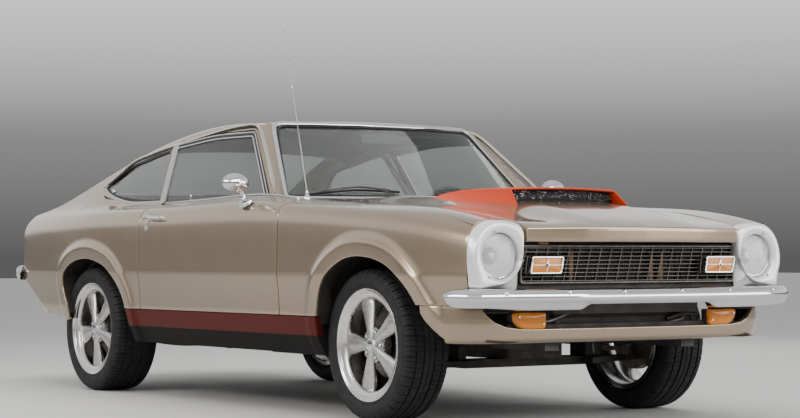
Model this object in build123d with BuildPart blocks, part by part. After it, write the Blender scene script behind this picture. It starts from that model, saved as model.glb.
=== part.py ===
from build123d import *
import os
from math import atan2, cos, degrees, hypot, radians, sin, sqrt

os.makedirs("parts", exist_ok=True)

# ---------------------------------------------------------------- frame
# Two-door fastback coupe. +X is the car's left, the nose faces -Y, +Z is up.
# The origin is on the floor under the middle of the length and the width.
# Lengthwise stations are measured rearwards from the front axle: Y(0) is there.

# ---------------------------------------------------------------- driving dimensions, mm
LENGTH = 4557
WHEELBASE = 2616
AXLE_F = -1366.5            # Y of the front axle
GAP = 6                     # seam between panels
HUB_Z = 322                 # height of the axles
TYRE_R = 322
RIM_R = 237                 # lip radius of the 17 in wheels
LIP_F, LIP_R = 796, 827     # |x| of the outer rim lips, front and rear
FRONT_WIDTH, REAR_WIDTH = 225, 245
KINGPIN_X = 620             # |x| of the steering axis
CREASE_Z = 617              # height of the widest line of the body side
STRIPE_TOP, STRIPE_LOW = 437, 352
ROCKER_LOW = 268
BELT_STEP = 8               # doors end this far below the belt line
DOOR_FRONT, DOOR_REAR = 603, 1956
DOOR_IN = 742               # |x| of the door's inner face
HINGE_X, HINGE_Y = 884, 609
HOOD_REAR = 570
HOOD_T = 26
TRUNK_FRONT = 3108
TRUNK_T = 24
COWL_Z = 960


def Y(v):
    return v + AXLE_F


def across(v):
    """Cross-section plane at station v: local x is X, local y is Z."""
    return Plane.XZ.offset(-Y(v))


def side(x):
    """Lengthwise plane at |x|: local x is Y, local y is Z."""
    return Plane.YZ.offset(x)


def row_at(table, v):
    """Straight interpolation of a table whose first column is the station."""
    if v <= table[0][0]:
        return table[0]
    for a, b in zip(table, table[1:]):
        if v <= b[0]:
            t = (v - a[0]) / (b[0] - a[0])
            return tuple(p + (q - p) * t for p, q in zip(a, b))
    return table[-1]


def loft_rows(stations, outline):
    """Solid through one closed outline per station."""
    with BuildPart() as body:
        for v in stations:
            with BuildSketch(across(v)):
                with BuildLine():
                    Polyline(*outline(v), close=True)
                make_face()
        loft(ruled=True)
    return body


# ---------------------------------------------------------------- body side
# station, crease x, shoulder x, shoulder z, crown x, crown z, hood seam x, hood seam z
FENDER = (
    (-748, 814, 800, 800, 740, 838, 562, 818),
    (-600, 838, 826, 828, 740, 866, 578, 850),
    (-300, 866, 852, 866, 740, 902, 605, 889),
    (0, 876, 864, 886, 740, 918, 635, 903),
    (300, 882, 872, 902, 745, 935, 655, 922),
    (597, 885, 874, 916, 750, 952, 675, 943),
)
# station, crease x, shoulder x, shoulder z, belt x, belt z
DOOR = (
    (603, 885, 874, 916, 760, 960),
    (830, 886, 875, 922, 770, 993),
    (1300, 887, 876, 918, 766, 983),
    (1956, 888, 877, 912, 762, 966),
)
# station, crease x, shoulder x, shoulder z, top x, top z, inner x
QUARTER = (
    (1962, 888, 877, 912, 762, 966, 700),
    (2616, 888, 876, 906, 754, 965, 690),
    (2860, 880, 866, 898, 750, 963, 680),
    (3100, 862, 850, 890, 742, 960, 680),
    (3300, 842, 830, 882, 738, 955, 680),
    (3560, 812, 802, 866, 748, 930, 680),
)


def tuck(z):
    """How far the side leans in below the crease."""
    if z >= STRIPE_TOP:
        return (CREASE_Z - z) * 16 / (CREASE_Z - STRIPE_TOP)
    return 16 + (STRIPE_TOP - z) * 20 / (STRIPE_TOP - STRIPE_LOW)


# ---------------------------------------------------------------- wheel arches
# Each opening: start, then arcs given as (through, end), then a last straight run.
# Pairs are (distance behind the axle, height).
FRONT_ARCH = dict(
    start=(300, 300), line=(292, 430),
    arcs=(((222, 594), (-60, 697)), ((-300, 645), (-474, 470))), end=(-640, 300))
REAR_ARCH = dict(
    start=(190, 300), line=(205, 430),
    arcs=(((222, 612), (-30, 690)), ((-350, 622), (-493, 462))), end=(-500, 300))


def arch_cutter(arch, axle, x_in, x_out):
    with BuildPart() as cutter:
        with BuildSketch(side(x_in)):
            with BuildLine():
                spot = arch["start"]
                for target in (arch["line"],):
                    Line((Y(axle + spot[0]), spot[1]), (Y(axle + target[0]), target[1]))
                    spot = target
                for through, target in arch["arcs"]:
                    ThreePointArc((Y(axle + spot[0]), spot[1]),
                                  (Y(axle + through[0]), through[1]),
                                  (Y(axle + target[0]), target[1]))
                    spot = target
                Line((Y(axle + spot[0]), spot[1]), (Y(axle + arch["end"][0]), arch["end"][1]))
                Line((Y(axle + arch["end"][0]), arch["end"][1]), (Y(axle + arch["end"][0]), 200))
                Line((Y(axle + arch["end"][0]), 200), (Y(axle + arch["start"][0]), 200))
                Line((Y(axle + arch["start"][0]), 200), (Y(axle + arch["start"][0]), arch["start"][1]))
            make_face()
        extrude(amount=x_out - x_in)
    return cutter


def wheel_room(axle, radius, x_in, x_out):
    with BuildPart() as room:
        with BuildSketch(Plane(origin=(x_in, Y(axle), HUB_Z), x_dir=(0, 1, 0), z_dir=(1, 0, 0))):
            Circle(radius)
        extrude(amount=x_out - x_in)
    return room


front_opening = arch_cutter(FRONT_ARCH, 0, 780, 960)
rear_opening = arch_cutter(REAR_ARCH, WHEELBASE, 780, 960)
rear_room = wheel_room(WHEELBASE, 352, 560, 858)

# ---------------------------------------------------------------- fenders
FENDER_T = 34


def fender_outline(v):
    _, xc, xs, zs, xk, zk, xh, zh = row_at(FENDER, v)
    low = 500 if v < -560 else STRIPE_TOP
    return ((xc - tuck(low), low), (xc, CREASE_Z), (xs, zs), (xk, zk), (xh, zh),
            (xh, zh - FENDER_T), (xk - 8, zk - FENDER_T - 8), (xs - 46, zs - 40),
            (xc - FENDER_T, CREASE_Z), (xc - tuck(low) - FENDER_T, low))


with BuildPart() as fender_left:
    for v in [row[0] for row in FENDER[:2]]:
        with BuildSketch(across(v)):
            with BuildLine():
                Polyline(*[(x, max(z, 500)) for x, z in fender_outline(v)], close=True)
            make_face()
    loft(ruled=True)
    for v in [row[0] for row in FENDER[1:]]:
        with BuildSketch(across(v)):
            with BuildLine():
                Polyline(*[(x, STRIPE_TOP if abs(z - 500) < 1 else z) for x, z in fender_outline(v)],
                         close=True)
            make_face()
    loft(ruled=True)
    add(front_opening.part, mode=Mode.SUBTRACT)

with BuildPart() as fender_right:
    mirror(fender_left.part, about=Plane.YZ)

# ---------------------------------------------------------------- doors
# station and z of the upper door frame, outside and inside (the glass opening)
FRAME_OUT = ((846, 986), (1232, 1290), (1600, 1292), (2022, 1258), (1924, 959))
FRAME_IN = ((880, 986), (1242, 1272), (1600, 1275), (2000, 1242), (1894, 961))
GLASS_LEAN = Plane(origin=(765, Y(0), 985), x_dir=(0, 1, 0), z_dir=(0.917, 0, 0.4))


def on_glass(points):
    return [(v, (z - 985) / 0.917) for v, z in points]


def door_outline(v):
    _, xc, xs, zs, xb, zb = row_at(DOOR, v)
    zb = zb - BELT_STEP
    return ((xc - 16, STRIPE_TOP), (xc, CREASE_Z), (xs, zs), (xb + 34, zb - 14), (xb, zb),
            (DOOR_IN, zb), (DOOR_IN, STRIPE_TOP))


with BuildPart() as door_left:
    for v in [row[0] for row in DOOR]:
        with BuildSketch(across(v)):
            with BuildLine():
                Polyline(*door_outline(v), close=True)
            make_face()
    loft(ruled=True)
    # the rear face slants so that its inner edge swings clear
    with BuildSketch(Plane.XY.offset(400)):
        with BuildLine():
            Polyline((DOOR_IN - 20, Y(DOOR_REAR - 24)), (900, Y(DOOR_REAR + 2)),
                     (900, Y(DOOR_REAR + 40)), (DOOR_IN - 20, Y(DOOR_REAR + 40)), close=True)
        make_face()
    extrude(amount=620, mode=Mode.SUBTRACT)
    # window frame above the belt
    with BuildSketch(GLASS_LEAN.offset(-10)):
        with BuildLine():
            Polyline(*on_glass(FRAME_OUT), close=True)
        make_face()
        with BuildLine():
            Polyline(*on_glass(FRAME_IN), close=True)
        make_face(mode=Mode.SUBTRACT)
    extrude(amount=14)

with BuildPart() as door_right:
    mirror(door_left.part, about=Plane.YZ)

with BuildPart() as door_glass_left:
    with BuildSketch(GLASS_LEAN.offset(-6)):
        with BuildLine():
            Polyline(*on_glass([(892, 990), (1247, 1270), (1600, 1273), (1996, 1240), (1892, 968),
                                (1300, 979)]), close=True)
        make_face()
    extrude(amount=5)

with BuildPart() as door_glass_right:
    mirror(door_glass_left.part, about=Plane.YZ)

# mirror head: y from the front axle, |x|, z of its middle
MIRROR_AT = (928, 905, 1029)
with BuildPart() as mirror_left:
    with BuildSketch(Plane(origin=(MIRROR_AT[1], Y(MIRROR_AT[0] - 18), MIRROR_AT[2]),
                           x_dir=(1, 0, 0), z_dir=(0, 1, 0))):
        Ellipse(66, 44)
    extrude(amount=36)
    with BuildSketch(Plane.XY.offset(956)):
        with Locations((858, Y(924))):
            Rectangle(26, 34)
    with BuildSketch(Plane.XY.offset(1012)):
        with Locations((888, Y(928))):
            Rectangle(22, 24)
    loft(ruled=True)
    with BuildSketch(Plane.XY.offset(949)):
        with Locations((858, Y(922))):
            Rectangle(38, 66)
    extrude(amount=9)

with BuildPart() as mirror_right:
    mirror(mirror_left.part, about=Plane.YZ)

# ---------------------------------------------------------------- quarter panels
with BuildPart() as quarter_panel_left:
    for v in [row[0] for row in QUARTER]:
        _, xc, xs, zs, xb, zb, xi = row_at(QUARTER, v)
        low = STRIPE_TOP
        drop = 60 if v > 3000 else 0
        with BuildSketch(across(v)):
            with BuildLine():
                Polyline((xc - 16, low - drop), (xc, CREASE_Z), (xs, zs), (xb, zb), (xb - 46, zb),
                         (xb - 50, zb - 60), (xi + 70, zs - 90), (xi + 90, CREASE_Z),
                         (xi + 90, low - drop), close=True)
            make_face()
    loft(ruled=True)
    # the sail runs down beside the trunk lid
    for v, tail in ((3100.5, ((742, 959), (702, 1019), (692, 1004), (692, 950))),
                    (3300, ((737, 954), (716, 968), (692, 962), (692, 940)))):
        with BuildSketch(across(v)):
            with BuildLine():
                Polyline(*tail, close=True)
            make_face()
    loft(ruled=True)
    add(rear_opening.part, mode=Mode.SUBTRACT)
    add(rear_room.part, mode=Mode.SUBTRACT)
    # the lower rear corner is undercut
    with BuildSketch(side(600)):
        with BuildLine():
            Polyline((Y(3350), 377), (Y(3562), 612), (Y(3700), 612), (Y(3700), 200), (Y(3350), 200),
                     close=True)
        make_face()
    extrude(amount=400, mode=Mode.SUBTRACT)

with BuildPart() as quarter_panel_right:
    mirror(quarter_panel_left.part, about=Plane.YZ)

# ---------------------------------------------------------------- rockers with the stripe band
# solids between the arches, and the short pieces ahead of and behind the door
with BuildPart() as rocker_left:
    for v in (190, 2180):
        xc = 882 if v < 600 else 887
        with BuildSketch(across(v)):
            with BuildLine():
                Polyline((xc - 17, STRIPE_TOP - GAP), (xc - 36, STRIPE_LOW), (xc - 44, STRIPE_LOW - 6),
                         (830, ROCKER_LOW), (742, ROCKER_LOW), (742, STRIPE_TOP - GAP), close=True)
            make_face()
    loft(ruled=True)
    add(front_opening.part, mode=Mode.SUBTRACT)
    add(rear_opening.part, mode=Mode.SUBTRACT)
    add(wheel_room(0, 345, 560, 900).part, mode=Mode.SUBTRACT)
    add(wheel_room(WHEELBASE, 352, 560, 900).part, mode=Mode.SUBTRACT)

with BuildPart() as rocker_panels:
    add(rocker_left.part)
    mirror(rocker_left.part, about=Plane.YZ)

# ---------------------------------------------------------------- hood
# station, seam x, seam z, middle z
HOOD = (
    (-700, 560, 834, 862),
    (-600, 572, 850, 880),
    (-300, 599, 889, 930),
    (0, 629, 903, 945),
    (300, 649, 922, 960),
    (HOOD_REAR, 667, 941, 973),
)
HOOD_LIP_Z = 745


def crowned(xh, zh, zm, t):
    """Panel section: seam edge, bulge shoulder, crown, and the same line t lower."""
    top = [(xh, zh), (xh * 0.62, zh + (zm - zh) * 0.55), (xh * 0.40, zm - 4), (0, zm)]
    half = top + [(-x, z) for x, z in reversed(top[:-1])]
    return half + [(x, z - t) for x, z in reversed(half)]


with BuildPart() as hood:
    for v in [row[0] for row in HOOD]:
        _, xh, zh, zm = row_at(HOOD, v)
        with BuildSketch(across(v)):
            with BuildLine():
                Polyline(*crowned(xh, zh, zm, HOOD_T), close=True)
            make_face()
    loft(ruled=True)
    # front lip: a block that is V-shaped in plan
    with BuildSketch(Plane.XY.offset(HOOD_LIP_Z)):
        with BuildLine():
            Polyline((556, Y(-800)), (300, Y(-846)), (0, Y(-872)), (-300, Y(-846)), (-556, Y(-800)),
                     (-558, Y(-700)), (558, Y(-700)), close=True)
        make_face()
    with BuildSketch(Plane.XY.offset(806)):
        with BuildLine():
            Polyline((556, Y(-800)), (300, Y(-846)), (0, Y(-872)), (-300, Y(-846)), (-556, Y(-800)),
                     (-559, Y(-700)), (559, Y(-700)), close=True)
        make_face()
    loft(ruled=True)
    # slope from the lip up to the hood skin
    with BuildSketch(Plane.XY.offset(806)):
        with BuildLine():
            Polyline((556, Y(-800)), (300, Y(-846)), (0, Y(-872)), (-300, Y(-846)), (-556, Y(-800)),
                     (-559, Y(-700)), (559, Y(-700)), close=True)
        make_face()
    with BuildSketch(Plane.XY.offset(834)):
        with BuildLine():
            Polyline((557, Y(-730)), (300, Y(-770)), (0, Y(-790)), (-300, Y(-770)), (-557, Y(-730)),
                     (-559, Y(-700)), (559, Y(-700)), close=True)
        make_face()
    loft(ruled=True)

# ---------------------------------------------------------------- hood scoop
# station, half width at the base, base z, half width at the top, top z
SCOOP = (
    (-336, 300, 925, 262, 978),
    (-200, 318, 934, 262, 984),
    (60, 322, 946, 262, 985),
    (270, 300, 957, 262, 972),
)
with BuildPart() as hood_scoop:
    for v, wb, zb, wt, zt in SCOOP:
        with BuildSketch(across(v)):
            with BuildLine():
                Polyline((-wb, zb - 18), (-wb, zb + 2), (-wt, zt - 5), (0, zt), (wt, zt - 5), (wb, zb + 2),
                         (wb, zb - 18), close=True)
            make_face()
    loft(ruled=True)
    with BuildSketch(across(-340)):
        with BuildLine():
            Polyline((-256, 938), (-248, 966), (248, 966), (256, 938), close=True)
        make_face()
    extrude(amount=-90, mode=Mode.SUBTRACT)
    add(hood.part, mode=Mode.SUBTRACT)

# ---------------------------------------------------------------- cowl
with BuildPart() as cowl_panel:
    with BuildSketch(Plane.XY.offset(COWL_Z - 22)):
        with BuildLine():
            Line((-736, Y(603)), (-736, Y(880)))
            Line((-736, Y(880)), (-690, Y(880)))
            ThreePointArc((-690, Y(880)), (0, Y(720)), (690, Y(880)))
            Line((690, Y(880)), (736, Y(880)))
            Line((736, Y(880)), (736, Y(603)))
            Line((736, Y(603)), (670, Y(603)))
            Line((670, Y(603)), (670, Y(576)))
            Line((670, Y(576)), (-670, Y(576)))
            Line((-670, Y(576)), (-670, Y(603)))
            Line((-670, Y(603)), (-736, Y(603)))
        make_face()
    extrude(amount=22)

# ---------------------------------------------------------------- firewall and hinge pillars
with BuildPart() as firewall:
    with BuildSketch(Plane.XZ.offset(-Y(604))):
        with Locations((0, 629)):
            Rectangle(1350, 616)
    extrude(amount=-22)
    with BuildSketch(Plane.XZ.offset(-Y(604))):
        with Locations((0, 400)):
            Rectangle(330, 190)
    extrude(amount=-22, mode=Mode.SUBTRACT)
    for s in (-1, 1):
        with BuildSketch(Plane.XY.offset(300)):
            with Locations((s * 702, Y(650))):
                Rectangle(68, 76)
        extrude(amount=637.5)

# ---------------------------------------------------------------- roof with pillars
# station, belt x, belt z, edge x, edge z, middle z
ROOF = (
    (1092, 768, 985, 618, 1310, 1337),
    (1300, 766, 975, 612, 1326, 1352),
    (1600, 764, 971, 606, 1333, 1359),
    (2000, 760, 966.5, 603, 1300, 1339),
    (2500, 754, 966.5, 610, 1215, 1238),
    (2900, 749, 966.5, 664, 1090, 1102),
    (3100, 743, 966.5, 700, 1020, 1006),
)
SIDE_T, ROOF_T = 40, 28
DOOR_OPENING = ((1000, 900), (1000, 1299), (1604, 1301), (2036, 1267), (1938, 967), (1938, 900))
QUARTER_OPENING = ((1962, 972), (2054, 1240), (2300, 1222), (2545, 1180), (2748, 1066), (2620, 1022),
                   (2320, 975))
REAR_GLASS_TOP, REAR_GLASS_LOW = 2380, 3040


def roof_outline(v, dx, dz):
    _, xb, zb, xe, ze, zm = row_at(ROOF, v)
    z0 = zb - (30 if dx else 0)
    half = [(xb - dx, z0), (xe - dx + 4, ze - dz - 22), (xe - dx - 26, ze - dz), (330, zm - dz - 7), (0, zm - dz)]
    return half + [(-x, z) for x, z in reversed(half[:-1])]


roof_hollow = loft_rows([row[0] for row in ROOF], lambda v: roof_outline(v, SIDE_T, ROOF_T))

with BuildPart() as roof:
    for v in [row[0] for row in ROOF]:
        with BuildSketch(across(v)):
            with BuildLine():
                Polyline(*roof_outline(v, 0, 0), close=True)
            make_face()
    loft(ruled=True)
    add(roof_hollow.part, mode=Mode.SUBTRACT)
    # the front edge follows the windshield
    with BuildSketch(Plane.XY.offset(900)):
        with BuildLine():
            ThreePointArc((-800, Y(1316)), (0, Y(1090)), (800, Y(1316)))
            Line((800, Y(1316)), (800, Y(1000)))
            Line((800, Y(1000)), (-800, Y(1000)))
            Line((-800, Y(1000)), (-800, Y(1316)))
        make_face()
    extrude(amount=500, mode=Mode.SUBTRACT)
    for opening in (DOOR_OPENING, QUARTER_OPENING):
        with BuildSketch(side(-900)):
            with BuildLine():
                Polyline(*[(Y(v), z) for v, z in opening], close=True)
            make_face()
        extrude(amount=1800, mode=Mode.SUBTRACT)
    # rear window opening
    with BuildSketch(Plane.XY.offset(940)):
        with BuildLine():
            Polyline((-500, Y(REAR_GLASS_TOP)), (500, Y(REAR_GLASS_TOP)), (596, Y(REAR_GLASS_LOW)),
                     (-596, Y(REAR_GLASS_LOW)), close=True)
        make_face()
    extrude(amount=400, mode=Mode.SUBTRACT)

# windshield pillars: corner points in plan at the foot and at the top
PILLAR_FOOT = ((688, 846), (735, 802), (728, 832), (702, 872))
PILLAR_TOP = ((566, 1174), (612, 1190), (604, 1226), (576, 1236))
with BuildPart() as pillar_left:
    for z, corners in ((COWL_Z + 0.5, PILLAR_FOOT), (1306, PILLAR_TOP)):
        with BuildSketch(Plane.XY.offset(z)):
            with BuildLine():
                Polyline(*[(x, Y(v)) for x, v in corners], close=True)
            make_face()
    loft(ruled=True)

with BuildPart() as windshield_pillars:
    add(pillar_left.part)
    mirror(pillar_left.part, about=Plane.YZ)
    add(roof.part, mode=Mode.SUBTRACT)

# ---------------------------------------------------------------- glass
# height, corner x, corner station, middle station
SCREEN = ((966, 683, 852, 696), (1318, 552, 1186, 1070))
with BuildPart() as windshield:
    for z, xc, vc, vm in SCREEN:
        with BuildSketch(Plane.XY.offset(z)):
            with BuildLine():
                ThreePointArc((-xc, Y(vc)), (0, Y(vm)), (xc, Y(vc)))
                Line((xc, Y(vc)), (xc - 2, Y(vc + 6)))
                ThreePointArc((xc - 2, Y(vc + 6)), (0, Y(vm + 6)), (-xc + 2, Y(vc + 6)))
                Line((-xc + 2, Y(vc + 6)), (-xc, Y(vc)))
            make_face()
    loft(ruled=True)

REAR_SLOPE = degrees(atan2(1258 - 1030, REAR_GLASS_LOW - REAR_GLASS_TOP))
with BuildPart() as rear_window:
    with BuildSketch(Plane(origin=(0, Y(REAR_GLASS_TOP + 2), 1258), x_dir=(1, 0, 0),
                           z_dir=(0, sin(radians(REAR_SLOPE)), cos(radians(REAR_SLOPE))))):
        with BuildLine():
            run = hypot(228, REAR_GLASS_LOW - REAR_GLASS_TOP) - 6
            Polyline((-498, 0), (498, 0), (592, run), (-592, run), close=True)
        make_face()
    extrude(amount=-6)

with BuildPart() as quarter_glass_left:
    with BuildSketch(Plane(origin=(757, Y(0), 985), x_dir=(0, 1, 0), z_dir=(0.917, 0, 0.4)).offset(-10)):
        with BuildLine():
            Polyline(*on_glass([(1970, 976), (2062, 1236), (2300, 1218), (2540, 1176), (2738, 1066),
                                (2618, 1026), (2320, 979)]), close=True)
        make_face()
    extrude(amount=5)
    add(roof.part, mode=Mode.SUBTRACT)

with BuildPart() as quarter_windows:
    add(quarter_glass_left.part)
    mirror(quarter_glass_left.part, about=Plane.YZ)

# ---------------------------------------------------------------- trunk lid and tail
# station, seam x, seam z, middle z
TRUNK = (
    (TRUNK_FRONT, 684, 998, 1003),
    (3200, 684, 972, 982),
    (3400, 684, 942, 955),
    (3600, 684, 928, 944),
)
with BuildPart() as trunk_lid:
    for v, xs, zs, zm in TRUNK:
        with BuildSketch(across(v)):
            with BuildLine():
                Polyline(*crowned(xs, zs, zm, TRUNK_T), close=True)
            make_face()
    loft(ruled=True)

with BuildPart() as rear_panel:
    with BuildSketch(Plane.XZ.offset(-Y(3564))):
        with BuildLine():
            Polyline((-800, 660), (800, 660), (800, 860), (745, 902), (-745, 902), (-800, 860), close=True)
        make_face()
    extrude(amount=-30)
    with BuildSketch(Plane.XZ.offset(-Y(3564))):
        with Locations((0, 610)):
            Rectangle(1590, 100)
    extrude(amount=-12)
    # valance leaning forward below the bumper, with an upright plate carrier
    with BuildSketch(side(-764)):
        with BuildLine():
            Polyline((Y(3564), 600), (Y(3576), 600), (Y(3576), 570), (Y(3400), 385), (Y(3380), 385),
                     (Y(3380), 400), (Y(3564), 585), close=True)
        make_face()
    extrude(amount=1528)
    with BuildSketch(Plane.XZ.offset(-Y(3564))):
        with Locations((0, 505)):
            Rectangle(340, 150)
    extrude(amount=-26)
    # plate bolt holes
    with BuildSketch(Plane.XZ.offset(-Y(3564))):
        with Locations((-89, 500), (89, 500)):
            Circle(3.5)
    extrude(amount=-40, mode=Mode.SUBTRACT)

with BuildPart() as tail_lamps:
    for s in (-1, 1):
        with BuildSketch(Plane.XZ.offset(-Y(3594.5))):
            with Locations((s * 600, 768)):
                RectangleRounded(330, 130, 18)
        extrude(amount=-14)

# ---------------------------------------------------------------- nose
GRILLE_X = 560
with BuildPart() as grille:
    with BuildSketch(Plane.XZ.offset(-Y(-742))):
        with Locations((0, 660)):
            Rectangle(2 * GRILLE_X, 158)
    extrude(amount=24)
    with BuildSketch(Plane.XZ.offset(-Y(-742))):
        with Locations((0, 660)):
            with GridLocations(51.2, 16, 22, 9):
                Rectangle(44, 12)
    extrude(amount=12, mode=Mode.SUBTRACT)

with BuildPart() as amber_lamps:
    for s in (-1, 1):
        with BuildSketch(Plane.XZ.offset(-Y(-730))):
            with Locations((s * 508, 437)):
                RectangleRounded(160, 70, 24)
        extrude(amount=34)
        with BuildSketch(Plane.XZ.offset(-Y(-766.5))):
            with BuildLine():
                Polyline((s * 372, 616), (s * 524, 616), (s * 536, 694), (s * 384, 694), close=True)
            make_face()
        extrude(amount=34)

# headlamp surrounds: plan plane just ahead of the fender's front face
LAMP_X, LAMP_Z, LAMP_R = 675, 693, 89
with BuildPart() as bezel_left:
    with BuildSketch(Plane.XZ.offset(-Y(-754))):
        with BuildLine():
            Polyline((570, 566), (806, 566), (812, 640), (808, 770), (794, 808), (740, 832), (564, 812),
                     close=True)
        make_face()
    extrude(amount=40, taper=4)
    with BuildSketch(Plane.XZ.offset(-Y(-754))):
        with Locations((LAMP_X, LAMP_Z)):
            Circle(LAMP_R + 4)
    extrude(amount=60, mode=Mode.SUBTRACT)

with BuildPart() as headlamp_bezels:
    add(bezel_left.part)
    mirror(bezel_left.part, about=Plane.YZ)

with BuildPart() as headlamps:
    for s in (-1, 1):
        with BuildSketch(Plane(origin=(s * LAMP_X, Y(-700), LAMP_Z), x_dir=(1, 0, 0), z_dir=(0, -1, 0))):
            Circle(LAMP_R)
        extrude(amount=58)
        with BuildSketch(Plane(origin=(s * LAMP_X, Y(-758), LAMP_Z), x_dir=(1, 0, 0), z_dir=(0, -1, 0))):
            Circle(LAMP_R)
        extrude(amount=16, taper=38)

# radiator support carries the nose pieces
with BuildPart() as radiator_support:
    with BuildSketch(Plane.XZ.offset(-Y(-741))):
        with Locations((0, 620)):
            Rectangle(1490, 236)
        with Locations((0, 650)):
            Rectangle(1060, 120, mode=Mode.SUBTRACT)
        with Locations((-694, 748), (694, 748)):
            Rectangle(220, 110, mode=Mode.SUBTRACT)
    extrude(amount=-40)
    with BuildSketch(Plane.XZ.offset(-Y(-741))):
        for s in (-1, 1):
            with Locations((s * LAMP_X, LAMP_Z)):
                Circle(LAMP_R + 2)
    extrude(amount=-60, mode=Mode.SUBTRACT)
    with BuildSketch(Plane.XZ.offset(-Y(-741))):
        with Locations((0, 482)):
            Rectangle(760, 44)
    extrude(amount=-40)

with BuildPart() as radiator:
    with BuildSketch(Plane.XZ.offset(-Y(-690))):
        with Locations((0, 610)):
            Rectangle(640, 430)
    extrude(amount=-64)

# front bumper: plan arc with turned-back ends
with BuildPart() as front_bumper:
    with BuildSketch(Plane.XY.offset(492)):
        with BuildLine():
            ThreePointArc((-730, Y(-842)), (0, Y(-912)), (730, Y(-842)))
            ThreePointArc((730, Y(-842)), (848, Y(-792)), (890, Y(-690)))
            Line((890, Y(-690)), (872, Y(-690)))
            ThreePointArc((872, Y(-690)), (832, Y(-778)), (726, Y(-820)))
            ThreePointArc((726, Y(-820)), (0, Y(-880)), (-726, Y(-820)))
            ThreePointArc((-726, Y(-820)), (-832, Y(-778)), (-872, Y(-690)))
            Line((-872, Y(-690)), (-890, Y(-690)))
            ThreePointArc((-890, Y(-690)), (-848, Y(-792)), (-730, Y(-842)))
        make_face()
    extrude(amount=76)
    # brackets back to the radiator support
    with BuildSketch(Plane.XY.offset(506)):
        with Locations((-420, Y(-812)), (420, Y(-812))):
            Rectangle(60, 139)
    extrude(amount=30)

with BuildPart() as front_valance:
    with BuildSketch(Plane.XY.offset(342)):
        with BuildLine():
            ThreePointArc((-640, Y(-748)), (0, Y(-775)), (640, Y(-748)))
            ThreePointArc((640, Y(-748)), (748, Y(-700)), (820, Y(-612)))
            Line((820, Y(-612)), (794, Y(-612)))
            ThreePointArc((794, Y(-612)), (728, Y(-686)), (632, Y(-727)))
            ThreePointArc((632, Y(-727)), (0, Y(-752)), (-632, Y(-727)))
            ThreePointArc((-632, Y(-727)), (-728, Y(-686)), (-794, Y(-612)))
            Line((-794, Y(-612)), (-820, Y(-612)))
            ThreePointArc((-820, Y(-612)), (-748, Y(-700)), (-640, Y(-748)))
        make_face()
    extrude(amount=152)
    with BuildSketch(Plane.XZ.offset(-Y(-680))):
        with Locations((0, 436)):
            Rectangle(1240, 74)
    extrude(amount=220, mode=Mode.SUBTRACT)
    with BuildSketch(Plane.XY.offset(342)):
        with Locations((-360, Y(-724)), (360, Y(-724))):
            Rectangle(50, 47)
    extrude(amount=56)

# ---------------------------------------------------------------- rear bumper
with BuildPart() as rear_bumper:
    with BuildSketch(Plane.XY.offset(566)):
        with BuildLine():
            ThreePointArc((-720, Y(3626)), (0, Y(3645)), (720, Y(3626)))
            ThreePointArc((720, Y(3626)), (818, Y(3590)), (852, Y(3470)))
            Line((852, Y(3470)), (836, Y(3470)))
            ThreePointArc((836, Y(3470)), (806, Y(3578)), (716, Y(3608)))
            ThreePointArc((716, Y(3608)), (0, Y(3626)), (-716, Y(3608)))
            ThreePointArc((-716, Y(3608)), (-806, Y(3578)), (-836, Y(3470)))
            Line((-836, Y(3470)), (-852, Y(3470)))
            ThreePointArc((-852, Y(3470)), (-818, Y(3590)), (-720, Y(3626)))
        make_face()
    extrude(amount=84)
    with BuildSketch(Plane.XY.offset(590)):
        with Locations((-420, Y(3612)), (420, Y(3612))):
            Rectangle(60, 35.6)
    extrude(amount=30)
    add(quarter_panel_left.part, mode=Mode.SUBTRACT)
    add(quarter_panel_right.part, mode=Mode.SUBTRACT)
    add(rear_panel.part, mode=Mode.SUBTRACT)

# ---------------------------------------------------------------- floor
# lengthwise line of the floor: station, height of its top
FLOOR_LINE = ((640, 470), (780, 296), (2160, 296), (2290, 520), (2960, 520), (3060, 440), (3390, 440), (3550, 604))
with BuildPart() as floor_pan:
    with BuildSketch(side(-735)):
        with BuildLine():
            top = [(Y(v), z) for v, z in FLOOR_LINE]
            Polyline(*top, *[(a, b - 20) for a, b in reversed(top)], close=True)
        make_face()
    extrude(amount=1470)
    with BuildSketch(Plane.XY.offset(250)):
        for s in (-1, 1):
            with Locations((s * 710, Y(650))):
                Rectangle(90, 90)
    extrude(amount=300, mode=Mode.SUBTRACT)
    # wheel tubs are cut out at the rear wheels
    with BuildSketch(Plane.XY.offset(250)):
        for s in (-1, 1):
            with Locations((s * 660, Y(2616))):
                Rectangle(200, 730)
    extrude(amount=300, mode=Mode.SUBTRACT)
    # transmission tunnel
    with BuildSketch(across(640)):
        with BuildLine():
            Polyline((-150, 276), (-120, 440), (-70, 480), (70, 480), (120, 440), (150, 276), (132, 276),
                     (104, 432), (62, 462), (-62, 462), (-104, 432), (-132, 276), close=True)
        make_face()
    extrude(amount=-1660)
    with BuildSketch(across(628)):
        with BuildLine():
            Polyline((-132, 270), (-104, 432), (-62, 462), (62, 462), (104, 432), (132, 270), close=True)
        make_face()
    extrude(amount=-1702, mode=Mode.SUBTRACT)

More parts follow.
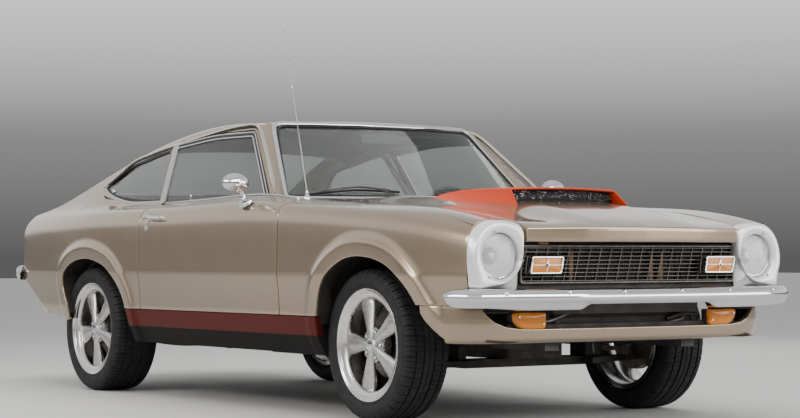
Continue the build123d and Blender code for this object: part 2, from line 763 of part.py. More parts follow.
# inner wheelhouses: arched tubs over the rear wheels, flat aprons beside the engine
with BuildPart() as wheelhouses:
    for s in (-1, 1):
        with BuildSketch(Plane(origin=(s * 566, Y(WHEELBASE), HUB_Z), x_dir=(0, s, 0), z_dir=(s, 0, 0))):
            Circle(372)
            Circle(354, mode=Mode.SUBTRACT)
            with Locations((0, -220)):
                Rectangle(900, 600, mode=Mode.SUBTRACT)
        extrude(amount=190)
        with BuildSketch(Plane(origin=(s * 561, Y(WHEELBASE), HUB_Z), x_dir=(0, s, 0), z_dir=(s, 0, 0))):
            Circle(372)
            with Locations((0, -220)):
                Rectangle(900, 600, mode=Mode.SUBTRACT)
        extrude(amount=5.5)
        with BuildSketch(Plane.XY.offset(464)):
            with Locations((s * 408, Y(-60))):
                Rectangle(14, 1180)
        extrude(amount=340)

# ---------------------------------------------------------------- power train and running gear
with BuildPart() as engine:
    with BuildSketch(Plane.XY.offset(250)):
        with Locations((0, Y(180))):
            RectangleRounded(300, 620, 30)
    extrude(amount=250)
    with BuildSketch(Plane.XY.offset(500)):
        with Locations((0, Y(170))):
            RectangleRounded(600, 600, 40)
    extrude(amount=330)

with BuildPart() as gearbox:
    with BuildSketch(across(500)):
        with Locations((0, 350)):
            Circle(96)
    extrude(amount=-700)
    with BuildSketch(across(1200)):
        with Locations((0, 350)):
            Circle(38)
    extrude(amount=-1260)

with BuildPart() as rear_axle:
    # tube, differential, drums, with the two leaf springs below it
    with BuildSketch(side(-640)):
        with Locations((Y(WHEELBASE), HUB_Z)):
            Circle(38)
    extrude(amount=1280)
    with BuildSketch(Plane(origin=(0, Y(WHEELBASE), HUB_Z), x_dir=(1, 0, 0), z_dir=(0, 1, 0))):
        Circle(125)
    extrude(amount=100, both=True, taper=25)
    for s in (-1, 1):
        with BuildSketch(Plane(origin=(s * 606, Y(WHEELBASE), HUB_Z), x_dir=(0, 1, 0), z_dir=(s, 0, 0))):
            Circle(130)
        extrude(amount=62)
        with BuildSketch(side(s * 520 - 30)):
            with BuildLine():
                ThreePointArc((Y(1980), 246), (Y(2616), 262), (Y(3290), 384))
                Line((Y(3290), 384), (Y(3290), 408))
                ThreePointArc((Y(3290), 408), (Y(2616), 290), (Y(1980), 270))
                Line((Y(1980), 270), (Y(1980), 246))
            make_face()
        extrude(amount=60)

with BuildPart() as front_suspension:
    # rails, crossmember and the two pairs of control arms
    for s in (-1, 1):
        with BuildSketch(Plane.XY.offset(312)):
            with Locations((s * 360, Y(-51))):
                Rectangle(70, 1298)
        extrude(amount=90)
        with BuildSketch(Plane.XY.offset(220)):
            with BuildLine():
                Polyline((s * 300, Y(-140)), (s * 584, Y(-22)), (s * 584, Y(22)), (s * 300, Y(140)), close=True)
            make_face()
        extrude(amount=26)
        with BuildSketch(Plane.XY.offset(430)):
            with BuildLine():
                Polyline((s * 401, Y(-110)), (s * 584, Y(-20)), (s * 584, Y(20)), (s * 401, Y(110)), close=True)
            make_face()
        extrude(amount=22)
        with BuildSketch(Plane.XY.offset(402)):
            with Locations((s * 378, Y(0))):
                Rectangle(46, 260)
        extrude(amount=60)
    with BuildSketch(Plane.XY.offset(212)):
        with Locations((0, Y(0))):
            Rectangle(660, 110)
    extrude(amount=37)
    with BuildSketch(Plane.XY.offset(249)):
        with Locations((-345, Y(0)), (345, Y(0))):
            Rectangle(40, 110)
    extrude(amount=63)

with BuildPart() as exhaust:
    for s in (-1, 1):
        with BuildSketch(across(620)):
            with Locations((s * 240, 244)):
                Circle(27)
        extrude(amount=-520)
        with BuildSketch(across(1140)):
            with Locations((s * 240, 248)):
                RectangleRounded(180, 52, 24)
        extrude(amount=-480)
        with BuildSketch(across(1620)):
            with Locations((s * 240, 244)):
                Circle(24)
        extrude(amount=-700)
    # tail pipes under the axle and out behind
        with BuildSketch(across(2320)):
            with Locations((s * 240, 244)):
                Circle(24)
        extrude(amount=-400)

with BuildPart() as fuel_tank:
    with BuildSketch(Plane.XY.offset(290)):
        with Locations((0, Y(3215))):
            RectangleRounded(860, 270, 60)
    extrude(amount=126)

# ---------------------------------------------------------------- cabin
with BuildPart() as dashboard:
    with BuildSketch(side(-730)):
        with BuildLine():
            Polyline((Y(700), 936), (Y(960), 930), (Y(1000), 880), (Y(985), 720), (Y(900), 690),
                     (Y(700), 760), close=True)
        make_face()
    extrude(amount=1460)

STEER_AT = (360, 1108, 862)         # x, station, z of the wheel's middle
with BuildPart() as steering_wheel:
    column = Plane(origin=(STEER_AT[0], Y(STEER_AT[1]), STEER_AT[2]), x_dir=(1, 0, 0),
                   z_dir=(0, cos(radians(24)), sin(radians(24))))
    with BuildSketch(column.offset(-12)):
        Circle(190)
        Circle(164, mode=Mode.SUBTRACT)
    extrude(amount=24)
    with BuildSketch(column.offset(-10)):
        Rectangle(340, 30)
        with Locations((0, -85)):
            Rectangle(30, 170)
        Circle(48)
    extrude(amount=14)
    with BuildSketch(column.offset(-10)):
        Circle(24)
    extrude(amount=-170)
    add(dashboard.part, mode=Mode.SUBTRACT)

SEAT = ((1300, 330), (1290, 470), (1330, 520), (1700, 498), (1880, 985), (1968, 980), (1870, 470),
        (1850, 330))
with BuildPart() as front_seats:
    for s in (-1, 1):
        with BuildSketch(side(s * 395 - 220)):
            with BuildLine():
                Polyline(*[(Y(v), z) for v, z in SEAT], close=True)
            make_face()
        extrude(amount=440)
    with BuildSketch(Plane.XY.offset(296.2)):
        with Locations((-395, Y(1580)), (395, Y(1580))):
            Rectangle(380, 460)
    extrude(amount=33.8)

with BuildPart() as rear_seat:
    with BuildSketch(side(-540)):
        with BuildLine():
            Polyline((Y(2080), 298), (Y(2060), 470), (Y(2120), 520), (Y(2420), 560), (Y(2560), 925),
                     (Y(2640), 925), (Y(2540), 522), (Y(2291), 522), (Y(2158), 298), close=True)
        make_face()
    extrude(amount=1080)
    with BuildSketch(across(2000)):
        with Locations((0, 380)):
            Rectangle(312, 212)
    extrude(amount=-345, mode=Mode.SUBTRACT)

with BuildPart() as parcel_shelf:
    with BuildSketch(Plane.XY.offset(934)):
        with Locations((0, Y(2880))):
            Rectangle(1240, 400)
    extrude(amount=18)

# ---------------------------------------------------------------- small outside pieces
# each blade: x and station of one end, then of the other
WIPERS = ((-560, 768, -130, 668), (40, 664, 470, 734))
with BuildPart() as wipers:
    for x0, v0, x1, v1 in WIPERS:
        with BuildSketch(Plane.XY.offset(COWL_Z + 2)):
            with BuildLine():
                Polyline((x0, Y(v0)), (x1, Y(v1)), (x1, Y(v1 - 16)), (x0, Y(v0 - 16)), close=True)
            make_face()
        extrude(amount=16)

ANTENNA_AT = (-690, 660)
with BuildPart() as antenna:
    with BuildSketch(Plane.XY.offset(COWL_Z + 0.2)):
        with Locations((ANTENNA_AT[0], Y(ANTENNA_AT[1]))):
            Circle(14)
    extrude(amount=16)
    with BuildSketch(Plane(origin=(ANTENNA_AT[0], Y(ANTENNA_AT[1]), COWL_Z + 10), x_dir=(1, 0, 0),
                           z_dir=(0, sin(radians(15)), cos(radians(15))))):
        Circle(3)
    extrude(amount=830)

# ---------------------------------------------------------------- wheels
# rim section: distance inboard of the lip, radius (outside line, then inside line)
RIM_OUT = ((0, 237), (8, 237), (10, 222), (45, 217), (62, 200), (150, 200), (166, 217), (-206, 219),
           (-210, 237), (-218, 237))
RIM_IN = ((-218, 229), (-206, 211), (170, 210), (153, 192), (58, 192), (40, 208), (20, 212), (5, 215),
          (0, 229))


def rim_points(width, pairs):
    """Negative distances are counted from the inner flange of a 218 mm wide rim."""
    return [(-d if d >= 0 else d - (width - 225), r) for d, r in pairs]


def build_wheel(lip_x, station, width, turn):
    hub_plane = Plane(origin=(lip_x, Y(station), HUB_Z), x_dir=(1, 0, 0), z_dir=(0, 0, 1))
    axle = Axis((lip_x, Y(station), HUB_Z), (1, 0, 0))
    face = Plane(origin=(lip_x, Y(station), HUB_Z), x_dir=(0, 1, 0), z_dir=(1, 0, 0))
    with BuildPart() as wheel:
        with BuildSketch(hub_plane):
            with BuildLine():
                Polyline(*rim_points(width, RIM_OUT), *rim_points(width, RIM_IN), close=True)
            make_face()
        revolve(axis=axle)
        # hub barrel and cap
        with BuildSketch(face.offset(-100)):
            Circle(78)
        extrude(amount=66)
        with BuildSketch(face.offset(-34)):
            Circle(34)
        extrude(amount=16, taper=10)
        # five tapered spokes
        for k in range(5):
            a = radians(turn + 72 * k)
            c, s = cos(a), sin(a)
            for r0, r1, w0, w1, d0, d1 in ((50, 197, 20, 40, -62, -100),):
                with BuildSketch(Plane(origin=(lip_x + d0, Y(station) + r0 * c, HUB_Z + r0 * s),
                                       x_dir=(1, 0, 0), z_dir=(0, c, s))):
                    Ellipse(22, w0)
                with BuildSketch(Plane(origin=(lip_x + d1, Y(station) + r1 * c, HUB_Z + r1 * s),
                                       x_dir=(1, 0, 0), z_dir=(0, c, s))):
                    Ellipse(26, w1)
                loft()
    return wheel


def build_tyre(lip_x, station, width):
    hub_plane = Plane(origin=(lip_x, Y(station), HUB_Z), x_dir=(1, 0, 0), z_dir=(0, 0, 1))
    inner = -(width - 12)
    with BuildPart() as tyre:
        with BuildSketch(hub_plane):
            with BuildLine():
                Line((-13, 224), (-9, 240))
                ThreePointArc((-9, 240), (10, 278), (-18, 316))
                ThreePointArc((-18, 316), ((inner - 2) / 2, TYRE_R), (inner + 18, 316))
                ThreePointArc((inner + 18, 316), (inner - 10, 278), (inner + 9, 240))
                Line((inner + 9, 240), (inner + 13, 226))
                Line((inner + 13, 226), (-13, 224))
            make_face()
        revolve(axis=Axis((lip_x, Y(station), HUB_Z), (1, 0, 0)))
    return tyre


# station, lip |x|, tyre width, turn of the first spoke (right side)
front_wheel = build_wheel(LIP_F, 0, FRONT_WIDTH, 0)
rear_wheel = build_wheel(LIP_R, WHEELBASE, REAR_WIDTH, 60)
front_tyre = build_tyre(LIP_F, 0, FRONT_WIDTH)
rear_tyre = build_tyre(LIP_R, WHEELBASE, REAR_WIDTH)

with BuildPart() as wheel_front_left:
    add(front_wheel.part)
with BuildPart() as wheel_front_right:
    mirror(front_wheel.part, about=Plane.YZ)
with BuildPart() as wheel_rear_left:
    add(rear_wheel.part)
with BuildPart() as wheel_rear_right:
    mirror(rear_wheel.part, about=Plane.YZ)
with BuildPart() as tyre_front_left:
    add(front_tyre.part)
with BuildPart() as tyre_front_right:
    mirror(front_tyre.part, about=Plane.YZ)
with BuildPart() as tyre_rear_left:
    add(rear_tyre.part)
with BuildPart() as tyre_rear_right:
    mirror(rear_tyre.part, about=Plane.YZ)

# ---------------------------------------------------------------- knuckles with hub and brake disc
with BuildPart() as knuckle_left:
    with BuildSketch(Plane(origin=(KINGPIN_X - 14, Y(0), HUB_Z), x_dir=(0, 1, 0), z_dir=(1, 0, 0))):
        Circle(46)
    extrude(amount=60)
    with BuildSketch(Plane(origin=(KINGPIN_X + 24, Y(0), HUB_Z), x_dir=(0, 1, 0), z_dir=(1, 0, 0))):
        Circle(142)
    extrude(amount=22)
    with BuildSketch(Plane.XY.offset(222)):
        with Locations((KINGPIN_X, Y(0))):
            Rectangle(28, 44)
    extrude(amount=228)
    with BuildSketch(Plane.XY.offset(262)):
        with BuildLine():
            Polyline((KINGPIN_X - 14, Y(-10)), (KINGPIN_X + 8, Y(-10)), (KINGPIN_X - 6, Y(150)),
                     (KINGPIN_X - 34, Y(150)), close=True)
        make_face()
    extrude(amount=20)

with BuildPart() as knuckle_right:
    mirror(knuckle_left.part, about=Plane.YZ)

# ---------------------------------------------------------------- write the pieces
PIECES = dict(
    floor_pan=floor_pan, firewall=firewall, cowl_panel=cowl_panel, roof=roof,
    windshield_pillars=windshield_pillars,
    quarter_panel_left=quarter_panel_left, quarter_panel_right=quarter_panel_right,
    fender_left=fender_left, fender_right=fender_right, rocker_panels=rocker_panels,
    rear_panel=rear_panel, tail_lamps=tail_lamps,
    front_valance=front_valance, radiator_support=radiator_support, radiator=radiator,
    grille=grille, amber_lamps=amber_lamps,
    headlamp_bezels=headlamp_bezels, headlamps=headlamps,
    front_bumper=front_bumper, rear_bumper=rear_bumper,
    windshield=windshield, rear_window=rear_window, quarter_windows=quarter_windows,
    front_seats=front_seats, rear_seat=rear_seat, parcel_shelf=parcel_shelf,
    dashboard=dashboard, steering_wheel=steering_wheel,
    engine=engine, gearbox=gearbox, rear_axle=rear_axle,
    front_suspension=front_suspension, exhaust=exhaust, fuel_tank=fuel_tank,
    wheelhouses=wheelhouses, wipers=wipers, antenna=antenna,
    hood=hood, hood_scoop=hood_scoop, trunk_lid=trunk_lid,
    door_left=door_left, door_glass_left=door_glass_left, mirror_left=mirror_left,
    door_right=door_right, door_glass_right=door_glass_right, mirror_right=mirror_right,
    knuckle_left=knuckle_left, knuckle_right=knuckle_right,
    wheel_front_left=wheel_front_left, tyre_front_left=tyre_front_left,
    wheel_front_right=wheel_front_right, tyre_front_right=tyre_front_right,
    wheel_rear_left=wheel_rear_left, tyre_rear_left=tyre_rear_left,
    wheel_rear_right=wheel_rear_right, tyre_rear_right=tyre_rear_right,
)
for name, piece in PIECES.items():
    piece.part.label = name
    export_step(piece.part, "parts/" + name + ".step")
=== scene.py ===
import math
import bpy
import bmesh
import numpy as np
from mathutils import Vector, Matrix


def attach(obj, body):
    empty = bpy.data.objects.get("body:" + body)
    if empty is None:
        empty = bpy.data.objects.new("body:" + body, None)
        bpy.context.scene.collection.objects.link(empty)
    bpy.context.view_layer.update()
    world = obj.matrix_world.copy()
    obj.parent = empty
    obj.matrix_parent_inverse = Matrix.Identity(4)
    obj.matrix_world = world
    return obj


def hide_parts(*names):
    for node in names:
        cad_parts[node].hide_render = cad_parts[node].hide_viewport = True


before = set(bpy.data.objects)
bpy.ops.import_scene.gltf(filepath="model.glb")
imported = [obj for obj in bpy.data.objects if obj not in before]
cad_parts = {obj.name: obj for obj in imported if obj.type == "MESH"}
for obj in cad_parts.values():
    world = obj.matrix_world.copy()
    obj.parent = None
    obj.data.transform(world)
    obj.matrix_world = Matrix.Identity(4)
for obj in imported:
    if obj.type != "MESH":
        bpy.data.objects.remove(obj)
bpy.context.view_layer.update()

# ---------------------------------------------------------------- frame
# Points are written as (x, station behind the front axle, z) in millimetres and turned into metres here.
AXLE_F = -1366.5
WHEELBASE = 2616.0
HUB_Z = 322.0
CREASE_Z = 617.0
STRIPE_TOP, STRIPE_LOW = 437.0, 352.0
KINGPIN_X = 620.0


def metres(P):
    Q = np.array(P, float) / 1000.0
    Q[..., 1] += AXLE_F / 1000.0
    return Q


# ---------------------------------------------------------------- smooth tables and curves
class Spline:
    """Natural cubic spline through rows whose first column is the parameter."""

    def __init__(self, rows):
        a = np.array(rows, float)
        self.x, self.y = a[:, 0], a[:, 1:]
        n = len(self.x)
        h = np.diff(self.x)
        A = np.zeros((n, n))
        R = np.zeros((n, self.y.shape[1]))
        A[0, 0] = A[-1, -1] = 1.0
        for i in range(1, n - 1):
            A[i, i - 1], A[i, i], A[i, i + 1] = h[i - 1], 2 * (h[i - 1] + h[i]), h[i]
            R[i] = 6 * ((self.y[i + 1] - self.y[i]) / h[i] - (self.y[i] - self.y[i - 1]) / h[i - 1])
        self.m = np.linalg.solve(A, R)
        self.h = h

    def __call__(self, v):
        v = np.asarray(v, float)
        c = np.clip(v, self.x[0], self.x[-1])
        i = np.clip(np.searchsorted(self.x, c, side="right") - 1, 0, len(self.x) - 2)
        h = self.h[i][..., None]
        a = ((self.x[i + 1] - c)[..., None]) / h
        b = 1 - a
        return (a * self.y[i] + b * self.y[i + 1]
                + ((a ** 3 - a) * self.m[i] + (b ** 3 - b) * self.m[i + 1]) * h * h / 6)


def lin(rows):
    """Straight interpolation of a table, first column the parameter."""
    a = np.array(rows, float)

    def f(v):
        v = np.asarray(v, float)
        return np.stack([np.interp(v, a[:, 0], a[:, k]) for k in range(1, a.shape[1])], -1)
    return f


def smooth_through(points, n):
    """n points evenly spaced along a smooth curve through the given points."""
    p = np.array(points, float)
    d = np.r_[0, np.cumsum(np.linalg.norm(np.diff(p, axis=0), axis=1))]
    s = Spline(np.c_[d, p])
    q = s(np.linspace(0, d[-1], 60 * len(p)))
    return resample(q, n)


def resample(q, n):
    q = np.array(q, float)
    d = np.r_[0, np.cumsum(np.linalg.norm(np.diff(q, axis=0), axis=1))]
    t = np.linspace(0, d[-1], n)
    return np.stack([np.interp(t, d, q[:, k]) for k in range(q.shape[1])], -1)


def quad(A, B, C, n):
    """n+1 points of a quadratic curve from A to C with control B."""
    t = np.linspace(0, 1, n + 1)[:, None]
    return (1 - t) ** 2 * A + 2 * t * (1 - t) * B + t * t * C


def soft_poly(pts, reach, counts, arcs):
    """Open polyline with its corners turned into curves. reach: tangent length per inner corner;
    counts: pieces on each straight run; arcs: pieces on each curve."""
    P = [np.array(p, float) for p in pts]
    out = []
    start = P[0]
    for k in range(1, len(P) - 1):
        a = (P[k - 1] - P[k]) / np.linalg.norm(P[k - 1] - P[k])
        b = (P[k + 1] - P[k]) / np.linalg.norm(P[k + 1] - P[k])
        A, C = P[k] + a * reach[k - 1], P[k] + b * reach[k - 1]
        t = np.linspace(0, 1, counts[k - 1] + 1)[:-1, None]
        out.append(start + (A - start) * t)
        out.append(quad(A, P[k], C, arcs[k - 1])[:-1])
        start = C
    t = np.linspace(0, 1, counts[-1] + 1)[:, None]
    out.append(start + (P[-1] - start) * t)
    return np.concatenate(out)


def soft_loop(pts, reach, arc=6, run=1):
    """Closed polygon with rounded corners, as (N, 2 or 3) points without the repeated end."""
    P = [np.array(p, float) for p in pts]
    n = len(P)
    if np.isscalar(reach):
        reach = [reach] * n
    out = []
    for k in range(n):
        a = P[k - 1] - P[k]
        b = P[(k + 1) % n] - P[k]
        ra = min(reach[k], 0.48 * np.linalg.norm(a))
        rb = min(reach[k], 0.48 * np.linalg.norm(b))
        A, C = P[k] + a / np.linalg.norm(a) * ra, P[k] + b / np.linalg.norm(b) * rb
        out.append(quad(A, P[k], C, arc))
        if run > 1:
            nxt = P[(k + 1) % n]
            rn = min(reach[(k + 1) % n], 0.48 * np.linalg.norm(b))
            E = nxt - b / np.linalg.norm(b) * rn
            t = np.linspace(0, 1, run + 1)[1:-1, None]
            out.append(C + (E - C) * t)
    return np.concatenate(out)


def unit(a):
    return a / np.maximum(np.linalg.norm(a, axis=-1, keepdims=True), 1e-12)


def smoothstep(t):
    t = np.clip(t, 0, 1)
    return t * t * (3 - 2 * t)


# ---------------------------------------------------------------- mesh building
class Shape:
    def __init__(self):
        self.V, self.F, self.M, self.n = [], [], [], 0

    def add(self, P, faces, mat=0):
        P = np.asarray(P, float).reshape(-1, 3)
        b = self.n
        self.V.append(P)
        self.n += len(P)
        self.F.extend(tuple(b + i for i in f) for f in faces)
        self.M.extend([mat] * len(faces))
        return self

    def grid(self, P, mat=0, wrap_i=False, wrap_j=False):
        P = np.asarray(P, float)
        I, J = P.shape[:2]
        faces = []
        for i in range(I if wrap_i else I - 1):
            i2 = (i + 1) % I
            for j in range(J if wrap_j else J - 1):
                j2 = (j + 1) % J
                faces.append((i * J + j, i2 * J + j, i2 * J + j2, i * J + j2))
        return self.add(P, faces, mat)

    def cap(self, P, mat=0, centre=None):
        """Fan over a closed outline."""
        P = np.asarray(P, float)
        c = P.mean(0) if centre is None else np.asarray(centre, float)
        n = len(P)
        return self.add(np.vstack([P, c]), [(i, (i + 1) % n, n) for i in range(n)], mat)

    def join(self, other, mirror=False, mat=None, shift=(0, 0, 0)):
        V = np.concatenate(other.V) + np.array(shift, float)
        F = other.F
        if mirror:
            V = V * np.array([-1.0, 1, 1])
            F = [tuple(reversed(f)) for f in F]
        b = self.n
        self.V.append(V)
        self.n += len(V)
        self.F.extend(tuple(b + i for i in f) for f in F)
        self.M.extend(other.M if mat is None else [mat] * len(F))
        return self

    def mirrored(self):
        return Shape().join(self, mirror=True)

    def both(self):
        s = Shape().join(self)
        return s.join(self, mirror=True)


def frames_along(path, closed=False, up=None):
    """Tangent, side and up vectors along a path."""
    P = np.asarray(path, float)
    if closed:
        T = unit(np.roll(P, -1, 0) - np.roll(P, 1, 0))
    else:
        T = unit(np.gradient(P, axis=0))
    N = np.zeros_like(P)
    if up is not None:
        U = np.broadcast_to(np.asarray(up, float), P.shape)
        S = unit(np.cross(T, U))
        N = unit(np.cross(S, T))
        return T, S, N
    ref = np.array([0, 0, 1.0]) if abs(T[0][2]) < 0.9 else np.array([1.0, 0, 0])
    s = unit(np.cross(T[0], ref))
    S = [s]
    for k in range(1, len(P)):
        s = S[-1] - T[k] * np.dot(S[-1], T[k])
        S.append(unit(s))
    S = np.array(S)
    return T, S, unit(np.cross(S, T))


def pipe(shape, path, radius, sides=10, mat=0, closed=False, caps=True):
    """Round tube along a path. radius may be one number or one per point."""
    P = np.asarray(path, float)
    T, S, N = frames_along(P, closed)
    r = np.broadcast_to(np.asarray(radius, float), (len(P),))[:, None, None]
    a = np.linspace(0, 2 * np.pi, sides, endpoint=False)
    ring = P[:, None] + r * (np.cos(a)[None, :, None] * S[:, None] + np.sin(a)[None, :, None] * N[:, None])
    shape.grid(ring, mat, wrap_i=closed, wrap_j=True)
    if caps and not closed:
        shape.cap(ring[0], mat)
        shape.cap(ring[-1], mat)
    return shape


def sweep(shape, path, section, up, mat=0, closed=False, caps=True, closed_section=True, scale=None, out=None):
    """Section (side, up) swept along a path; up is the outward direction per point."""
    P = np.asarray(path, float)
    T, S, N = frames_along(P, closed, up)
    if out is not None:
        S = S * out
    sec = np.asarray(section, float)
    if sec.ndim == 2:
        sec = np.broadcast_to(sec, (len(P),) + sec.shape)
    if scale is not None:
        sec = sec * np.asarray(scale, float)[:, None, None]
    ring = P[:, None] + sec[..., 0:1] * S[:, None] + sec[..., 1:2] * N[:, None]
    shape.grid(ring, mat, wrap_i=closed, wrap_j=closed_section)
    if caps and not closed and closed_section:
        shape.cap(ring[0], mat)
        shape.cap(ring[-1], mat)
    return shape


def round_rect(w, h, r, n=4):
    """Section outline w by h with rounded corners, centred."""
    out = []
    for cx, cy, a0 in ((w / 2 - r, h / 2 - r, 0), (-w / 2 + r, h / 2 - r, 90), (-w / 2 + r, -h / 2 + r, 180),
                       (w / 2 - r, -h / 2 + r, 270)):
        for k in range(n + 1):
            a = math.radians(a0 + 90 * k / n)
            out.append((cx + r * math.cos(a), cy + r * math.sin(a)))
    return np.array(out)


def slab(shape, outline, plane, low, high, edge=2.0, mat=0, n=3, inner=None):
    """Rounded-edge plate: outline (N,2) on a plane (origin, a, b, normal), from low to high along the normal."""
    o, a, b, nrm = [np.array(p, float) for p in plane]
    L = np.array(outline, float)
    d = unit(np.roll(L, -1, 0) - np.roll(L, 1, 0))
    nn = np.stack([d[:, 1], -d[:, 0]], -1)
    area = 0.5 * np.sum(L[:, 0] * np.roll(L[:, 1], -1) - L[:, 1] * np.roll(L[:, 0], -1))
    if area < 0:
        nn = -nn
    rows = []
    steps = [(-edge * (1 - math.sin(t)), low + edge * (1 - math.cos(t))) for t in np.linspace(0, math.pi / 2, n + 1)]
    steps += [(-edge * (1 - math.cos(t)), high - edge * (1 - math.sin(t))) for t in np.linspace(0, math.pi / 2, n + 1)]
    for off, h in steps:
        q = L + nn * off
        rows.append(o + q[:, :1] * a + q[:, 1:] * b + h * nrm)
    shape.grid(np.array(rows), mat, wrap_j=True)
    shape.cap(rows[0], mat)
    shape.cap(rows[-1], mat)
    return shape


def lathe(shape, profile, centre, axis="x", sides=64, mat=0, a0=0.0, closed=False, sign=1):
    """Revolve (distance along axis, radius) about an axis through centre."""
    pr = np.array(profile, float)
    c = np.array(centre, float)
    a = np.linspace(0, 2 * np.pi, sides, endpoint=False) + a0
    R = pr[:, 1][:, None]
    D = np.broadcast_to(pr[:, 0][:, None] * sign, (len(pr), sides))
    if axis == "x":
        P = np.stack([D, R * np.cos(a), R * np.sin(a)], -1)
    elif axis == "y":
        P = np.stack([R * np.cos(a), D, R * np.sin(a)], -1)
    else:
        P = np.stack([R * np.cos(a), R * np.sin(a), D], -1)
    shape.grid(P + c, mat, wrap_i=closed, wrap_j=True)
    return shape


def hem(shape, edge, inner, face, r=3.0, depth=18.0, mat=0, closed=False, n=3):
    """Rounds an open edge over and turns it in. edge and inner are the last two rows of the skin,
    face points out of the panel's visible side at each point."""
    E, I = np.asarray(edge, float), np.asarray(inner, float)
    F = unit(np.broadcast_to(np.asarray(face, float), E.shape))
    if closed:
        T = unit(np.roll(E, -1, 0) - np.roll(E, 1, 0))
    else:
        T = unit(np.gradient(E, axis=0))
    O = E - I
    O = O - T * np.sum(O * T, -1, keepdims=True)
    O = unit(O)
    N = np.cross(T, O)
    N = unit(N * np.sign(np.sum(N * F, -1, keepdims=True) + 1e-9))
    rows = [E]
    for k in range(1, n + 1):
        a = math.pi / 2 * k / n
        rows.append(E + O * r * math.sin(a) - N * r * (1 - math.cos(a)))
    rows.append(E + O * r - N * (r + (depth - r) * 0.5))
    rows.append(E + O * r - N * depth)
    shape.grid(np.array(rows), mat, wrap_j=closed)
    return rows[-1]


PIECES = {}


def build(shape, name, mats, body, replaces=(), sharp=38.0, merge=0.04, flip_check=True):
    V = metres(np.concatenate(shape.V))
    me = bpy.data.meshes.new(name)
    me.from_pydata(V.tolist(), [], shape.F)
    me.polygons.foreach_set("material_index", np.array(shape.M, np.int32))
    bm = bmesh.new()
    bm.from_mesh(me)
    bmesh.ops.remove_doubles(bm, verts=bm.verts, dist=merge / 1000.0)
    bmesh.ops.dissolve_degenerate(bm, edges=bm.edges, dist=1e-6)
    if flip_check:
        bmesh.ops.recalc_face_normals(bm, faces=bm.faces)
    bm.to_mesh(me)
    bm.free()
    me.shade_smooth()
    me.set_sharp_from_angle(angle=math.radians(sharp))
    ob = bpy.data.objects.new(name, me)
    bpy.context.scene.collection.objects.link(ob)
    for m in (mats if isinstance(mats, (list, tuple)) else [mats]):
        me.materials.append(m)
    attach(ob, body)
    if replaces:
        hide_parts(*replaces)
    PIECES[name] = ob
    return ob


